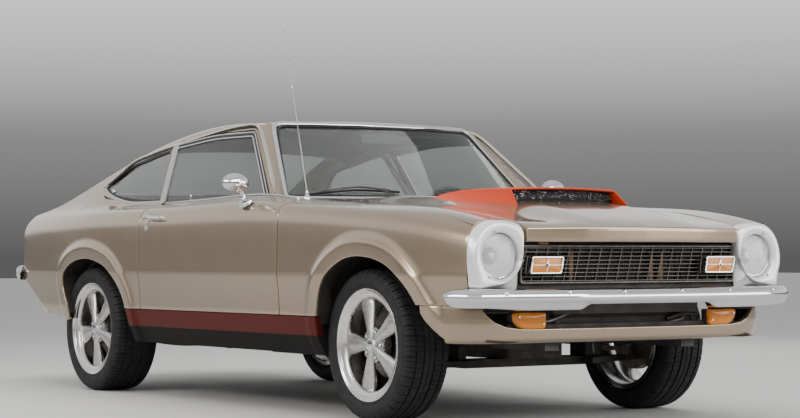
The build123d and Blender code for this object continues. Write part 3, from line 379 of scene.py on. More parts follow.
# ---------------------------------------------------------------- materials
class Nodes:
    """Small helper that strings shader nodes together."""

    def __init__(self, name):
        self.m = bpy.data.materials.new(name)
        self.m.use_nodes = True
        self.t = self.m.node_tree
        self.t.nodes.clear()
        self.out = self.t.nodes.new("ShaderNodeOutputMaterial")
        self.b = self.t.nodes.new("ShaderNodeBsdfPrincipled")
        self.t.links.new(self.b.outputs[0], self.out.inputs[0])
        self.co = self.t.nodes.new("ShaderNodeTexCoord")

    def link(self, a, b):
        self.t.links.new(a, b)

    def set(self, **k):
        for name, value in k.items():
            self.b.inputs[name.replace("_", " ")].default_value = value
        return self

    def coord(self, scale=(1, 1, 1)):
        n = self.t.nodes.new("ShaderNodeMapping")
        n.inputs["Scale"].default_value = scale
        self.link(self.co.outputs["Object"], n.inputs["Vector"])
        return n.outputs[0]

    def noise(self, scale, detail=4.0, rough=0.55, stretch=(1, 1, 1), distort=0.0):
        n = self.t.nodes.new("ShaderNodeTexNoise")
        n.inputs["Scale"].default_value = scale
        n.inputs["Detail"].default_value = detail
        n.inputs["Roughness"].default_value = rough
        n.inputs["Distortion"].default_value = distort
        self.link(self.coord(stretch), n.inputs["Vector"])
        return n.outputs[0]

    def voronoi(self, scale, feature="F1", stretch=(1, 1, 1), out="Distance"):
        n = self.t.nodes.new("ShaderNodeTexVoronoi")
        n.feature = feature
        n.inputs["Scale"].default_value = scale
        self.link(self.coord(stretch), n.inputs["Vector"])
        return n.outputs[out]

    def wave(self, scale, direction="X", distort=0.0, detail=1.0):
        n = self.t.nodes.new("ShaderNodeTexWave")
        n.wave_type = "BANDS"
        n.bands_direction = direction
        n.inputs["Scale"].default_value = scale
        n.inputs["Distortion"].default_value = distort
        n.inputs["Detail"].default_value = detail
        self.link(self.coord(), n.inputs["Vector"])
        return n.outputs["Fac"]

    def ramp(self, fac, stops):
        n = self.t.nodes.new("ShaderNodeValToRGB")
        e = n.color_ramp.elements
        while len(e) < len(stops):
            e.new(0.5)
        for el, (p, c) in zip(e, stops):
            el.position = p
            el.color = (*c, 1) if len(c) == 3 else c
        self.link(fac, n.inputs[0])
        return n.outputs[0]

    def range(self, fac, a, b, c, d):
        n = self.t.nodes.new("ShaderNodeMapRange")
        n.inputs["From Min"].default_value = a
        n.inputs["From Max"].default_value = b
        n.inputs["To Min"].default_value = c
        n.inputs["To Max"].default_value = d
        self.link(fac, n.inputs["Value"])
        return n.outputs["Result"]

    def mix(self, fac, a, b):
        n = self.t.nodes.new("ShaderNodeMix")
        n.data_type = "RGBA"
        for sock, val in ((n.inputs["Factor"], fac), (n.inputs["A"], a), (n.inputs["B"], b)):
            pass
        ins = [s for s in n.inputs if s.enabled]
        for sock, val in zip(ins, (fac, a, b)):
            if hasattr(val, "is_linked") or hasattr(val, "links"):
                self.link(val, sock)
            elif isinstance(val, (tuple, list)):
                sock.default_value = (*val, 1) if len(val) == 3 else val
            else:
                sock.default_value = val
        return [o for o in n.outputs if o.enabled][0]

    def math(self, op, a, b=None):
        n = self.t.nodes.new("ShaderNodeMath")
        n.operation = op
        for sock, val in zip(n.inputs, (a, b)):
            if val is None:
                continue
            if hasattr(val, "is_linked"):
                self.link(val, sock)
            else:
                sock.default_value = val
        return n.outputs[0]

    def axis(self, which):
        n = self.t.nodes.new("ShaderNodeSeparateXYZ")
        self.link(self.co.outputs["Object"], n.inputs[0])
        return n.outputs[which]

    def bump(self, height, strength=0.2, distance=0.001):
        n = self.t.nodes.new("ShaderNodeBump")
        n.inputs["Strength"].default_value = strength
        n.inputs["Distance"].default_value = distance
        self.link(height, n.inputs["Height"])
        self.link(n.outputs[0], self.b.inputs["Normal"])
        return n

    def color(self, src):
        self.link(src, self.b.inputs["Base Color"])
        return self

    def rough(self, src):
        self.link(src, self.b.inputs["Roughness"])
        return self


def paint(name, base, dark, metallic=0.75, rough=0.30, coat=1.0, dust=0.02):
    """Car paint: metal flake under clear coat, faint orange peel, a little road dust low down."""
    n = Nodes(name)
    flake = n.voronoi(2600.0, out="Color")
    sep = n.t.nodes.new("ShaderNodeSeparateColor")
    n.link(flake, sep.inputs[0])
    shade = n.range(sep.outputs[0], 0, 1, 0.0, 0.07)
    c1 = n.mix(shade, base, tuple(min(1.0, x * 1.35) for x in base))
    big = n.noise(3.1, 2.0)
    c2 = n.mix(n.range(big, 0.35, 0.7, 0.0, 0.22), c1, dark)
    low = n.range(n.axis(2), 0.20, 0.52, dust, 0.0)
    spots = n.math("MULTIPLY", low, n.range(n.noise(38.0, 6.0), 0.35, 0.65, 0.4, 1.2))
    c3 = n.mix(spots, c2, (0.36, 0.31, 0.25))
    n.color(c3)
    r = n.range(n.noise(9.0, 2.0), 0.3, 0.7, rough - 0.012, rough + 0.018)
    n.rough(n.math("ADD", r, n.math("MULTIPLY", spots, 0.6)))
    n.set(Metallic=metallic)
    n.b.inputs["Coat Weight"].default_value = coat
    n.b.inputs["Coat Roughness"].default_value = 0.025
    n.b.inputs["Coat IOR"].default_value = 1.5
    n.bump(n.noise(160.0, 1.0), 0.004, 0.0004)
    return n.m


PAINT = paint("body_champagne", (0.325, 0.250, 0.170), (0.280, 0.213, 0.143), metallic=0.80, rough=0.24, dust=0.02)
STRIPE = paint("stripe_dark_red", (0.060, 0.0036, 0.0016), (0.048, 0.003, 0.0014), metallic=0.0, rough=0.5, coat=0.03, dust=0.0)
STRIPE.node_tree.nodes["Principled BSDF"].inputs["Specular IOR Level"].default_value = 0.18
SCOOP = paint("scoop_orange_red", (0.44, 0.036, 0.006), (0.39, 0.031, 0.005), metallic=0.0, rough=0.5, coat=0.06, dust=0.0)
SCOOP.node_tree.nodes["Principled BSDF"].inputs["Specular IOR Level"].default_value = 0.25
SILVER = paint("bezel_silver_paint", (0.72, 0.72, 0.71), (0.62, 0.62, 0.61), metallic=0.35, rough=0.30, dust=0.0)
SATIN = paint("rocker_black_paint", (0.006, 0.0055, 0.0052), (0.009, 0.008, 0.0075), metallic=0.0, rough=0.6, coat=0.0,
              dust=0.0)
SATIN.node_tree.nodes["Principled BSDF"].inputs["Specular IOR Level"].default_value = 0.12


def chrome_material():
    n = Nodes("chrome_plate")
    n.set(Metallic=1.0)
    n.color(n.mix(n.range(n.noise(9.0, 3.0), 0.35, 0.7, 0.0, 0.5), (0.70, 0.70, 0.715), (0.62, 0.62, 0.635)))
    specks = n.range(n.noise(900.0, 2.0), 0.62, 0.72, 0.0, 0.12)
    n.rough(n.math("ADD", n.range(n.noise(14.0, 4.0), 0.3, 0.7, 0.035, 0.085), specks))
    n.bump(n.noise(45.0, 2.0), 0.035, 0.0008)
    return n.m


def pewter_material():
    n = Nodes("dull_bright_metal")
    n.set(Metallic=1.0)
    n.color(n.mix(n.noise(40.0, 4.0), (0.40, 0.39, 0.38), (0.30, 0.29, 0.28)))
    n.rough(n.range(n.noise(90.0, 3.0), 0.3, 0.7, 0.25, 0.45))
    return n.m


def wheel_material():
    n = Nodes("wheel_polished_aluminium")
    n.set(Metallic=1.0)
    n.color(n.mix(n.range(n.noise(22.0, 5.0), 0.3, 0.75, 0.0, 1.0), (0.74, 0.73, 0.72), (0.60, 0.59, 0.58)))
    n.rough(n.range(n.noise(55.0, 5.0, 0.6), 0.25, 0.75, 0.12, 0.30))
    n.bump(n.noise(500.0, 3.0), 0.04, 0.0004)
    return n.m


def spoke_material():
    n = Nodes("spoke_satin_aluminium")
    n.set(Metallic=1.0)
    dirt = n.range(n.noise(30.0, 5.0), 0.45, 0.8, 0.0, 1.0)
    n.color(n.mix(dirt, (0.56, 0.55, 0.54), (0.44, 0.43, 0.415)))
    n.rough(n.range(n.noise(80.0, 4.0), 0.3, 0.7, 0.22, 0.40))
    n.bump(n.noise(700.0, 3.0), 0.06, 0.0004)
    return n.m


def plain(name, a, b, rough_a, rough_b, scale=60.0, metallic=0.0, bump=0.1, bump_scale=400.0, coat=0.0, spec=None,
          dist=0.0008):
    n = Nodes(name)
    n.set(Metallic=metallic)
    n.color(n.mix(n.range(n.noise(scale, 5.0), 0.3, 0.7, 0.0, 1.0), a, b))
    n.rough(n.range(n.noise(scale * 1.7, 4.0), 0.3, 0.7, rough_a, rough_b))
    if coat:
        n.b.inputs["Coat Weight"].default_value = coat
        n.b.inputs["Coat Roughness"].default_value = 0.08
    if spec is not None:
        n.b.inputs["Specular IOR Level"].default_value = spec
    if bump:
        n.bump(n.noise(bump_scale, 4.0), bump, dist)
    return n.m


def vinyl_material(name="vinyl_grain_black", a=(0.018, 0.017, 0.017), b=(0.030, 0.028, 0.027)):
    n = Nodes(name)
    n.color(n.mix(n.range(n.noise(14.0, 4.0), 0.3, 0.7, 0.0, 1.0), a, b))
    n.rough(n.range(n.noise(70.0, 3.0), 0.3, 0.7, 0.36, 0.52))
    cells = n.voronoi(420.0, "DISTANCE_TO_EDGE")
    n.bump(n.range(cells, 0.0, 0.25, 0.0, 1.0), 0.35, 0.0006)
    return n.m


def glass_material(name, tint, rough=0.0, ior=1.45):
    n = Nodes(name)
    n.color(n.mix(n.range(n.noise(2.0, 2.0), 0.4, 0.7, 0.0, 1.0), tint, tuple(x * 0.94 for x in tint)))
    n.rough(n.range(n.noise(5.0, 3.0), 0.5, 0.8, rough, rough + 0.012))
    n.b.inputs["Transmission Weight"].default_value = 1.0
    n.b.inputs["IOR"].default_value = ior
    return n.m


def rubber_material():
    n = Nodes("tyre_rubber_black")
    dirt = n.range(n.noise(24.0, 6.0, 0.62), 0.42, 0.72, 0.0, 1.0)
    n.color(n.mix(dirt, (0.009, 0.009, 0.010), (0.021, 0.020, 0.019)))
    n.rough(n.range(n.noise(48.0, 4.0), 0.3, 0.7, 0.62, 0.82))
    n.b.inputs["Specular IOR Level"].default_value = 0.32
    n.bump(n.noise(900.0, 4.0), 0.22, 0.0005)
    return n.m


def lens_material(name, a, b, transmission=0.35):
    n = Nodes(name)
    n.color(n.mix(n.range(n.noise(30.0, 3.0), 0.3, 0.7, 0.0, 1.0), a, b))
    n.rough(n.range(n.noise(60.0, 3.0), 0.3, 0.7, 0.08, 0.16))
    n.b.inputs["Transmission Weight"].default_value = transmission
    n.b.inputs["IOR"].default_value = 1.49
    n.b.inputs["Coat Weight"].default_value = 0.6
    n.b.inputs["Coat Roughness"].default_value = 0.03
    n.bump(n.wave(130.0, "X"), 0.25, 0.0008)
    return n.m


CHROME = chrome_material()
PEWTER = pewter_material()
WHEEL = wheel_material()
SPOKE = spoke_material()
RUBBER = rubber_material()
VINYL = vinyl_material()
CARD = vinyl_material("door_card_vinyl", (0.020, 0.019, 0.018), (0.034, 0.031, 0.029))
CARPET = plain("floor_carpet", (0.016, 0.015, 0.014), (0.030, 0.028, 0.026), 0.85, 0.98, 300.0, bump=0.5, bump_scale=900.0)
TRIM = plain("black_trim_plastic", (0.014, 0.014, 0.014), (0.026, 0.026, 0.025), 0.42, 0.6, 40.0, bump=0.12)
SEAL = plain("rubber_seal", (0.010, 0.010, 0.010), (0.020, 0.019, 0.019), 0.55, 0.75, 60.0, bump=0.1)
UNDER = plain("underbody_black", (0.014, 0.013, 0.012), (0.040, 0.034, 0.028), 0.6, 0.9, 9.0, bump=0.4, bump_scale=90.0,
              dist=0.002)
STEEL = plain("dull_steel", (0.20, 0.19, 0.18), (0.12, 0.10, 0.085), 0.38, 0.65, 25.0, metallic=0.9, bump=0.25,
              bump_scale=160.0)
CAST = plain("cast_block", (0.060, 0.055, 0.050), (0.030, 0.027, 0.024), 0.5, 0.8, 18.0, metallic=0.3, bump=0.4,
             bump_scale=120.0, dist=0.0015)
CORE = Nodes("radiator_core")
# colour follows the fin bump: painted shade in its grooves, lighter on the crests
CORE.color(CORE.mix(CORE.range(CORE.wave(160.0, "X"), 0.3, 0.7, 0.0, 1.0), (0.020, 0.018, 0.016), (0.075, 0.066, 0.056)))
CORE.set(Metallic=0.5, Roughness=0.6)
CORE.bump(CORE.wave(160.0, "X"), 0.6, 0.002)
CORE = CORE.m
LINER = plain("headliner_cloth", (0.022, 0.020, 0.018), (0.032, 0.029, 0.026), 0.8, 0.95, 120.0, bump=0.25, bump_scale=700.0)
GLASS = glass_material("window_glass_tint", (0.86, 0.90, 0.88), 0.0, 1.27)
LAMPGLASS = glass_material("lamp_glass_clear", (0.98, 0.985, 0.99), 0.16)
LAMPGLASS.node_tree.nodes["Principled BSDF"].inputs["Transmission Weight"].default_value = 0.74
AMBER = lens_material("amber_lens_plastic", (0.82, 0.270, 0.004), (0.74, 0.215, 0.003))
AMBER.node_tree.nodes["Principled BSDF"].inputs["Coat Weight"].default_value = 0.25
RED = lens_material("red_lens_plastic", (0.50, 0.010, 0.008), (0.40, 0.006, 0.006), 0.25)
WHITE_LENS = lens_material("reverse_lens", (0.80, 0.80, 0.80), (0.70, 0.70, 0.72), 0.3)
MIRROR_GLASS = plain("mirror_silver", (0.86, 0.87, 0.88), (0.82, 0.83, 0.84), 0.01, 0.03, 20.0, metallic=1.0, bump=0)
REFLECTOR = plain("lamp_reflector", (0.97, 0.97, 0.97), (0.94, 0.94, 0.94), 0.30, 0.38, 30.0, metallic=0.30, bump=0.05,
                  bump_scale=60.0)

# ---------------------------------------------------------------- body side
# station, crease x, shoulder x, shoulder z, top x, top z (crown of the fender, then the belt line)
SIDE = Spline((
    (-748, 814, 800, 800, 740, 838),
    (-600, 838, 826, 828, 740, 866),
    (-300, 866, 852, 866, 740, 902),
    (0, 876, 864, 886, 740, 918),
    (300, 882, 872, 902, 745, 935),
    (600, 885, 874, 914, 755, 956),
    (830, 886, 875, 919, 764, 976),
    (1300, 887, 876, 918, 766, 974),
    (1960, 888, 877, 912, 762, 962),
    (2616, 888, 876, 906, 755, 962),
    (2860, 880, 866, 898, 751, 960),
    (3100, 862, 850, 890, 744, 957),
    (3300, 842, 830, 882, 738, 950),
    (3560, 812, 802, 866, 742, 918),
))
# station, hood seam x, hood seam z
SEAM = Spline(((-748, 562, 816), (-600, 578, 850), (-300, 605, 889), (0, 635, 903), (300, 655, 922), (597, 675, 943)))
SHOULDER_DROP = 70.0     # the side face ends this far below the shoulder, where the rounding starts
SHOULDER_RUN = 62.0

FRONT_ARCH = ((302, 335), (293, 420), (278, 490), (252, 551), (214, 598), (165, 636), (110, 664), (55, 684), (0, 694),
              (-56, 697), (-113, 694), (-168, 687), (-225, 673), (-279, 652), (-330, 622), (-372, 589), (-410, 552),
              (-446, 508), (-476, 470), (-508, 434), (-545, 401), (-585, 370), (-640, 341))
REAR_ARCH = ((214, 345), (213, 400), (217, 450), (240, 500), (254, 540), (254, 574), (240, 602), (208, 628), (160, 653),
             (88, 675), (7, 687), (-73, 689), (-152, 682), (-230, 667), (-300, 645), (-355, 616), (-398, 584),
             (-436, 548), (-470, 505), (-494, 462), (-507, 425), (-511, 387), (-511, 335))
ARCH_F = smooth_through(FRONT_ARCH, 400)
ARCH_R = smooth_through(REAR_ARCH, 400) + np.array([WHEELBASE, 0])
# raised band round each opening: distance from the edge, height above the side
BAND = Spline(((0, 9.5), (28, 11.5), (52, 12.6), (60, 12.2), (67, 9.6), (76, 5.2), (88, 1.8), (102, 0.2), (116, 0.0),
               (160, 0.0)))


def band_height(v, z):
    """How far the wheel-opening bands stand out of the side."""
    v, z = np.asarray(v, float), np.asarray(z, float)
    h = np.zeros(np.broadcast(v, z).shape)
    for arch in (ARCH_F, ARCH_R):
        d2 = (v[..., None] - arch[:, 0]) ** 2 + (z[..., None] - arch[:, 1]) ** 2
        d = np.sqrt(d2.min(-1))
        h = np.maximum(h, np.where(d < 130, BAND(np.minimum(d, 140))[..., 0], 0))
    return h


def flank(v, z, band=True):
    """|x| of the body side at station v, height z."""
    v, z = np.broadcast_arrays(np.asarray(v, float), np.asarray(z, float))
    c = SIDE(v)
    xc, xs, zs = c[..., 0], c[..., 1], c[..., 2]
    s = np.clip((z - CREASE_Z) / (zs - CREASE_Z), 0, 1.2)
    above = xc + (xs - xc) * (z - CREASE_Z) / (zs - CREASE_Z) + 5.0 * np.sin(np.pi * s) * s
    t = np.clip((CREASE_Z - z) / 180.0, 0, 1)
    below = xc - 16.0 * (CREASE_Z - z) / 180.0 - 2.2 * np.sin(np.pi * t)
    below = np.where(z < STRIPE_TOP, xc - 16.0 - (STRIPE_TOP - z) * 20.0 / 85.0, below)
    k = 1.2
    x = 0.5 * (above + below - np.sqrt((above - below) ** 2 + k * k))
    if band:
        x = x + band_height(v, z)
    return x


def z_break(v):
    return SIDE(v)[..., 2] - SHOULDER_DROP


def crown_rows(v, pts, reach, counts, arcs, n_sh=14):
    """Top part of the side section at each station: rounding over the shoulder, then on through pts(v)."""
    rows = []
    for vi in np.atleast_1d(v):
        c = SIDE(vi)
        zA = c[2] - SHOULDER_DROP
        A = np.array([flank(vi, zA, False), zA])
        B = np.array([flank(vi, zA - 2.0, False), zA - 2.0])
        tA = (A - B) / np.linalg.norm(A - B)
        S = np.array([c[1], c[2]])
        P = [np.array(p, float) for p in pts(vi)]
        d = unit(P[0] - S)
        # meet the side tangent with the line from the shoulder to the next point
        M = np.array([[tA[0], -d[0]], [tA[1], -d[1]]])
        lam = np.linalg.solve(M, S - A)[0]
        X = A + tA * lam
        C = X + d * SHOULDER_RUN
        first = quad(A, X, C, n_sh)[:-1]
        rest = soft_poly([C] + P, reach, counts, arcs)
        sec = np.vstack([first, rest])
        rows.append(np.c_[sec[:, 0], np.full(len(sec), vi), sec[:, 1]])
    return np.array(rows)


def ray_patch(inner, outer, n_band=16, n_rest=14, band=112.0):
    """Grid of (v, z) points from an opening's edge to the panel's outer edge."""
    inner, outer = np.asarray(inner, float), np.asarray(outer, float)
    L = np.linalg.norm(outer - inner, axis=1)
    D = (outer - inner) / L[:, None]
    out = np.zeros((len(inner), n_band + n_rest + 1, 2))
    g = np.linspace(0, 1, n_band + 1)
    g = 0.75 * g + 0.25 * g * g
    for i in range(len(inner)):
        b = min(band, 0.86 * L[i])
        d = np.r_[b * g, b + (L[i] - b) * np.linspace(0, 1, n_rest + 1)[1:]]
        out[i] = inner[i] + D[i] * d[:, None]
    return out


def on_side(vz, band=True):
    """(v, z) points onto the body side as (x, v, z)."""
    vz = np.asarray(vz, float)
    return np.stack([flank(vz[..., 0], vz[..., 1], band), vz[..., 0], vz[..., 1]], -1)


def cut_at(curve, z, side):
    """Part of an arch curve above height z on one side: index where it crosses."""
    idx = np.where(curve[:, 1] >= z)[0]
    return idx[0] if side == "start" else idx[-1]


def boundary(path, n, corner_idx=None):
    return resample(path, n)


OUT = np.array([1.0, 0, 0])


def make_fender():
    s = Shape()
    V0, V1 = -745.0, 594.0
    lowR, lowF = STRIPE_TOP + 3, 500.0
    # arch edge from the rear foot over the top to the front foot
    a = ARCH_F[cut_at(ARCH_F, lowR, "start"):cut_at(ARCH_F, lowF, "end") + 1]
    n_rear, n_top, n_front = 26, 96, 26
    Vt = np.linspace(V1, V0, n_top + 1)
    Zr = np.linspace(lowR, z_break(V1), n_rear + 1)
    Zf = np.linspace(z_break(V0), lowF, n_front + 1)
    outer = np.vstack([np.c_[np.full(n_rear, V1), Zr[:-1]], np.c_[Vt, z_break(Vt)],
                       np.c_[np.full(n_front, V0), Zf[1:]]])
    # spread the arch points to follow the outer edge
    share = [0.0, 0.20, 0.80, 1.0]
    nn = [n_rear, n_top, n_front]
    u = np.concatenate([np.linspace(share[k], share[k + 1], nn[k] + 1)[(0 if k == 0 else 1):] for k in range(3)])
    full = resample(a, 800)
    inner = np.stack([np.interp(u, np.linspace(0, 1, 800), full[:, k]) for k in range(2)], -1)
    inner[0, 1], inner[-1, 1] = lowR, lowF
    P = ray_patch(inner, outer)
    G = on_side(P)
    # the band fades before the shoulder
    s.grid(G)
    top = crown_rows(Vt, lambda v: ((SIDE(v)[3], SIDE(v)[4]), tuple(SEAM(v) + np.array([3.0, 0.4]))),
                     (44,), (3, 6), (9,))
    s.grid(top)
    # turned edges: rear, arch, bottom edges, hood seam, nose
    edge = np.vstack([G[:n_rear + 1, -1], top[0, 1:]])
    inn = np.vstack([G[:n_rear + 1, -2], top[1, 1:]])
    face = np.zeros_like(edge)
    face[:] = OUT
    k = np.arange(len(edge))
    face[n_rear + 8:] = (0, 0, 1)
    face[n_rear:n_rear + 8] = (0.7, 0, 0.7)
    hem(s, edge, inn, face, 3.0, 20.0)
    edge = np.vstack([G[n_rear + n_top:, -1][::-1], top[-1, 1:]])
    inn = np.vstack([G[n_rear + n_top:, -2][::-1], top[-2, 1:]])
    face = np.zeros_like(edge)
    face[:] = OUT
    m = n_front + 1
    face[m + 8:] = (0, 0, 1)
    face[m:m + 8] = (0.7, 0, 0.7)
    hem(s, edge, inn, face, 3.0, 12.0)
    hem(s, top[:, -1], top[:, -2], (0, 0, 1), 3.0, 22.0)
    hem(s, G[:, 0], G[:, 1], OUT, 4.0, 11.0)
    hem(s, G[0], G[1], OUT, 3.0, 22.0)
    hem(s, G[-1], G[-2], OUT, 3.0, 14.0)
    return s


fender = make_fender()
build(fender, "fender_left_skin", PAINT, "chassis", ("fender_left",))
build(fender.mirrored(), "fender_right_skin", PAINT, "chassis", ("fender_right",))


# ---------------------------------------------------------------- doors
DOOR_F, DOOR_R, DOOR_IN = 603.0, 1956.0, 742.0


def make_door():
    s = Shape()
    V = np.linspace(DOOR_F + 3, DOOR_R - 3, 61)
    zl = STRIPE_TOP + 3
    rows = []
    for v in V:
        zb = z_break(v)
        z = np.r_[np.linspace(zl, 560, 8), np.linspace(574, 660, 14), np.linspace(674, zb, 16)]
        rows.append(np.c_[flank(v, z), np.full(len(z), v), z])
    low = np.array(rows)
    top = crown_rows(V, lambda v: ((SIDE(v)[3] + 4, SIDE(v)[4] - 2),), (), (5,), ())
    G = np.concatenate([low, top[:, 1:]], 1)
    s.grid(G)
    n = G.shape[1]
    face = np.zeros((n, 3))
    face[:] = OUT
    face[low.shape[1] + 8:] = (0.3, 0, 1)
    r = 3.0

    def jamb(edge, inner, v_in):
        last = hem(s, edge, inner, face, r, 8.0)
        q = last.copy()
        q[:, 0] = DOOR_IN + 4
        q[:, 1] = v_in
        mid = 0.5 * (last + q)
        s.grid(np.array([last, mid, q]))
        return q
    qa = jamb(G[0], G[1], DOOR_F + 1)
    qb = jamb(G[-1], G[-2], DOOR_R - 23)
    # bottom and top ledges
    last = hem(s, G[:, 0], G[:, 1], OUT, r, 12.0)
    q = last.copy()
    q[:, 0] = DOOR_IN + 4
    s.grid(np.array([last, q]))
    last = hem(s, G[:, -1], G[:, -2], (0.4, 0, 1), 3.0, 8.0)
    q = last.copy()
    q[:, 0] = DOOR_IN + 2
    s.grid(np.array([last, q]), 1)
    return s, qa, qb


def on_glass(v, z, off=0.0):
    """Point on the leaning window plane, off millimetres out of it."""
    v, z = np.asarray(v, float), np.asarray(z, float)
    w = (z - 985.0) / 0.917
    return np.stack([765.0 - 0.4 * w + off * 0.917, v, z + off * 0.4], -1)


FRAME_MID = ((868, 984), (1238, 1281), (1600, 1284), (2012, 1250), (1909, 958))
GLASS_N = np.array([0.917, 0, 0.4])


def frame_path(pts, r, run=6, close=False):
    q = soft_loop(pts, r, 8, run)
    return q


def make_door_frame():
    s = Shape()
    pts = [(858, 964), (1228, 1284), (1604, 1288), (2022, 1255), (1932, 950)]
    path2 = resample(soft_poly(pts, (26, 120, 22), (10, 10, 10, 10), (10, 14, 10)), 110)
    tan = unit(np.gradient(path2, axis=0))
    inw = np.c_[tan[:, 1], -tan[:, 0]]
    band = path2 + inw * 9.0
    path = on_glass(band[:, 0], band[:, 1], -5.0)
    sweep(s, path, round_rect(25, 13, 4.0, 3), GLASS_N, 0)
    # bright beads on both edges of the band
    for off, w in ((1.0, 6.0), (20.0, 7.5)):
        q = path2 + inw * off
        path = on_glass(q[:, 0], q[:, 1], 0.4)
        sweep(s, path, np.array([(-w / 2, -2), (-w / 2, 1.4), (-w / 4, 3.0), (w / 4, 3.0), (w / 2, 1.4), (w / 2, -2)]), GLASS_N, 1)
    # seal beside the glass
    q = path2 + inw * 26.0
    pipe(s, on_glass(q[:, 0], q[:, 1], -3.5), 3.8, 6, 2)
    # wide ribbed strip on the rear member
    a, b = np.array((1907.0, 957.0)), np.array((2000.0, 1254.0))
    t = np.linspace(0, 1, 14)[:, None]
    line = a + (b - a) * t
    side_ = np.array([0.954, -0.30])
    sec = []
    for k in range(61):
        w = -26.0 + 52.0 * k / 60
        sec.append((w, 1.2 + 1.5 * abs(math.cos(math.pi * (w + 26) / 10.4)) ** 0.6 if 0 < k < 60 else -4.0))
    rows = []
    for c in line:
        q = c + np.array(sec)[:, :1] * side_
        rows.append([on_glass(np.array(v), np.array(min(z, 1258.0 - 0.1 * (v - 1990))), h + 1.0) for (v, z), (_, h) in zip(q, sec)])
    s.grid(np.array(rows), 3)
    return s


def glass_sheet(poly, off, thick=4.5, r=14, bow=0.0):
    s = Shape()
    L = soft_loop(poly, r, 5, 10)
    c = L.mean(0)
    a = on_glass(L[:, 0], L[:, 1], off)
    rings_o, rings_i = [], []
    for k in np.linspace(1, 0, 7)[:-1]:
        q = c + (L - c) * k
        b = bow * (1 - k * k)
        rings_o.append(on_glass(q[:, 0], q[:, 1], off + b))
        rings_i.append(on_glass(q[:, 0], q[:, 1], off - thick + b))
    s.grid(np.array([rings_i[0]] + rings_o), wrap_j=True)
    s.cap(rings_o[-1], centre=on_glass(c[0], c[1], off + bow))
    s.grid(np.array(rings_i), wrap_j=True)
    s.cap(rings_i[-1], centre=on_glass(c[0], c[1], off - thick + bow))
    return s


door, q_front, q_rear = make_door()
door_frame = make_door_frame()
skin = Shape().join(door).join(door_frame, mat=None)
skin.M = [m for m in door.M] + [m + 1 for m in door_frame.M]
STRIP = plain("brushed_strip", (0.62, 0.60, 0.58), (0.50, 0.48, 0.46), 0.24, 0.36, 80.0, metallic=0.95, bump=0.08)
build(skin, "door_left_skin", [PAINT, SEAL, CHROME, SEAL, STRIP], "door_left", ("door_left",))
build(skin.mirrored(), "door_right_skin", [PAINT, SEAL, CHROME, SEAL, STRIP], "door_right", ("door_right",))
dglass = glass_sheet([(878, 970), (1242, 1276), (1600, 1279), (2006, 1246), (1902, 958), (1300, 968)], -2.0, 4.5, 20, 2.0)
build(dglass, "door_left_window", GLASS, "door_left", ("door_glass_left",))
build(dglass.mirrored(), "door_right_window", GLASS, "door_right", ("door_glass_right",))

# ---------------------------------------------------------------- quarter panels, sails and roof sides
# station, roof edge x, roof edge z
EDGE = Spline(((1150, 616, 1316), (1300, 612, 1326), (1600, 606, 1333), (2000, 603, 1302), (2500, 612, 1214),
               (2900, 664, 1090), (3100, 700, 1021), (3300, 722, 968), (3450, 734, 939), (3560, 740, 922)))
BELT_R = lin(((1900, 5), (2300, 6), (2500, 16), (2760, 60), (3000, 90), (3300, 60), (3560, 10)))
EDGE_R = lin(((1100, 22), (2000, 24), (2600, 26), (3100, 14), (3560, 5)))
# height of the quarter window's lower and upper edges
WIN_LOW = Spline(((1930, 968.5), (2100, 968.5), (2320, 973), (2450, 988), (2560, 1006), (2640, 1024), (2700, 1042), (2750, 1064)))
WIN_TOP = Spline(((1930, 1262), (2040, 1250), (2150, 1240), (2300, 1222), (2420, 1203), (2545, 1177), (2650, 1126), (2750, 1064)))
WIN_TIP = 2748.0


def sail_pts(v):
    """Belt point and roof edge point of the section at v."""
    c = SIDE(v)
    e = EDGE(v)
    return np.array([c[3], c[4]]), np.array([e[0], e[1]])


def roof_mid(v):
    return ROOF_MID(v)[..., 0]


ROOF_MID = Spline(((1050, 1331), (1092, 1337), (1300, 1352), (1600, 1359), (2000, 1340), (2380, 1270), (2600, 1208),
                   (2900, 1092), (3040, 1034), (3103, 1005)))


def roof_z(x, v):
    """Height of the roof top between its side edges."""
    e = EDGE(v)
    zm = roof_mid(v)
    u = np.clip(np.abs(x) / e[..., 0], 0, 1)
    return zm + (e[..., 1] - zm) * u ** 2.2


def edge_in(v):
    """Roof-side strip ends here, on the top."""
    e = EDGE(v)
    x = e[..., 0] - 48.0
    return x, roof_z(x, v)


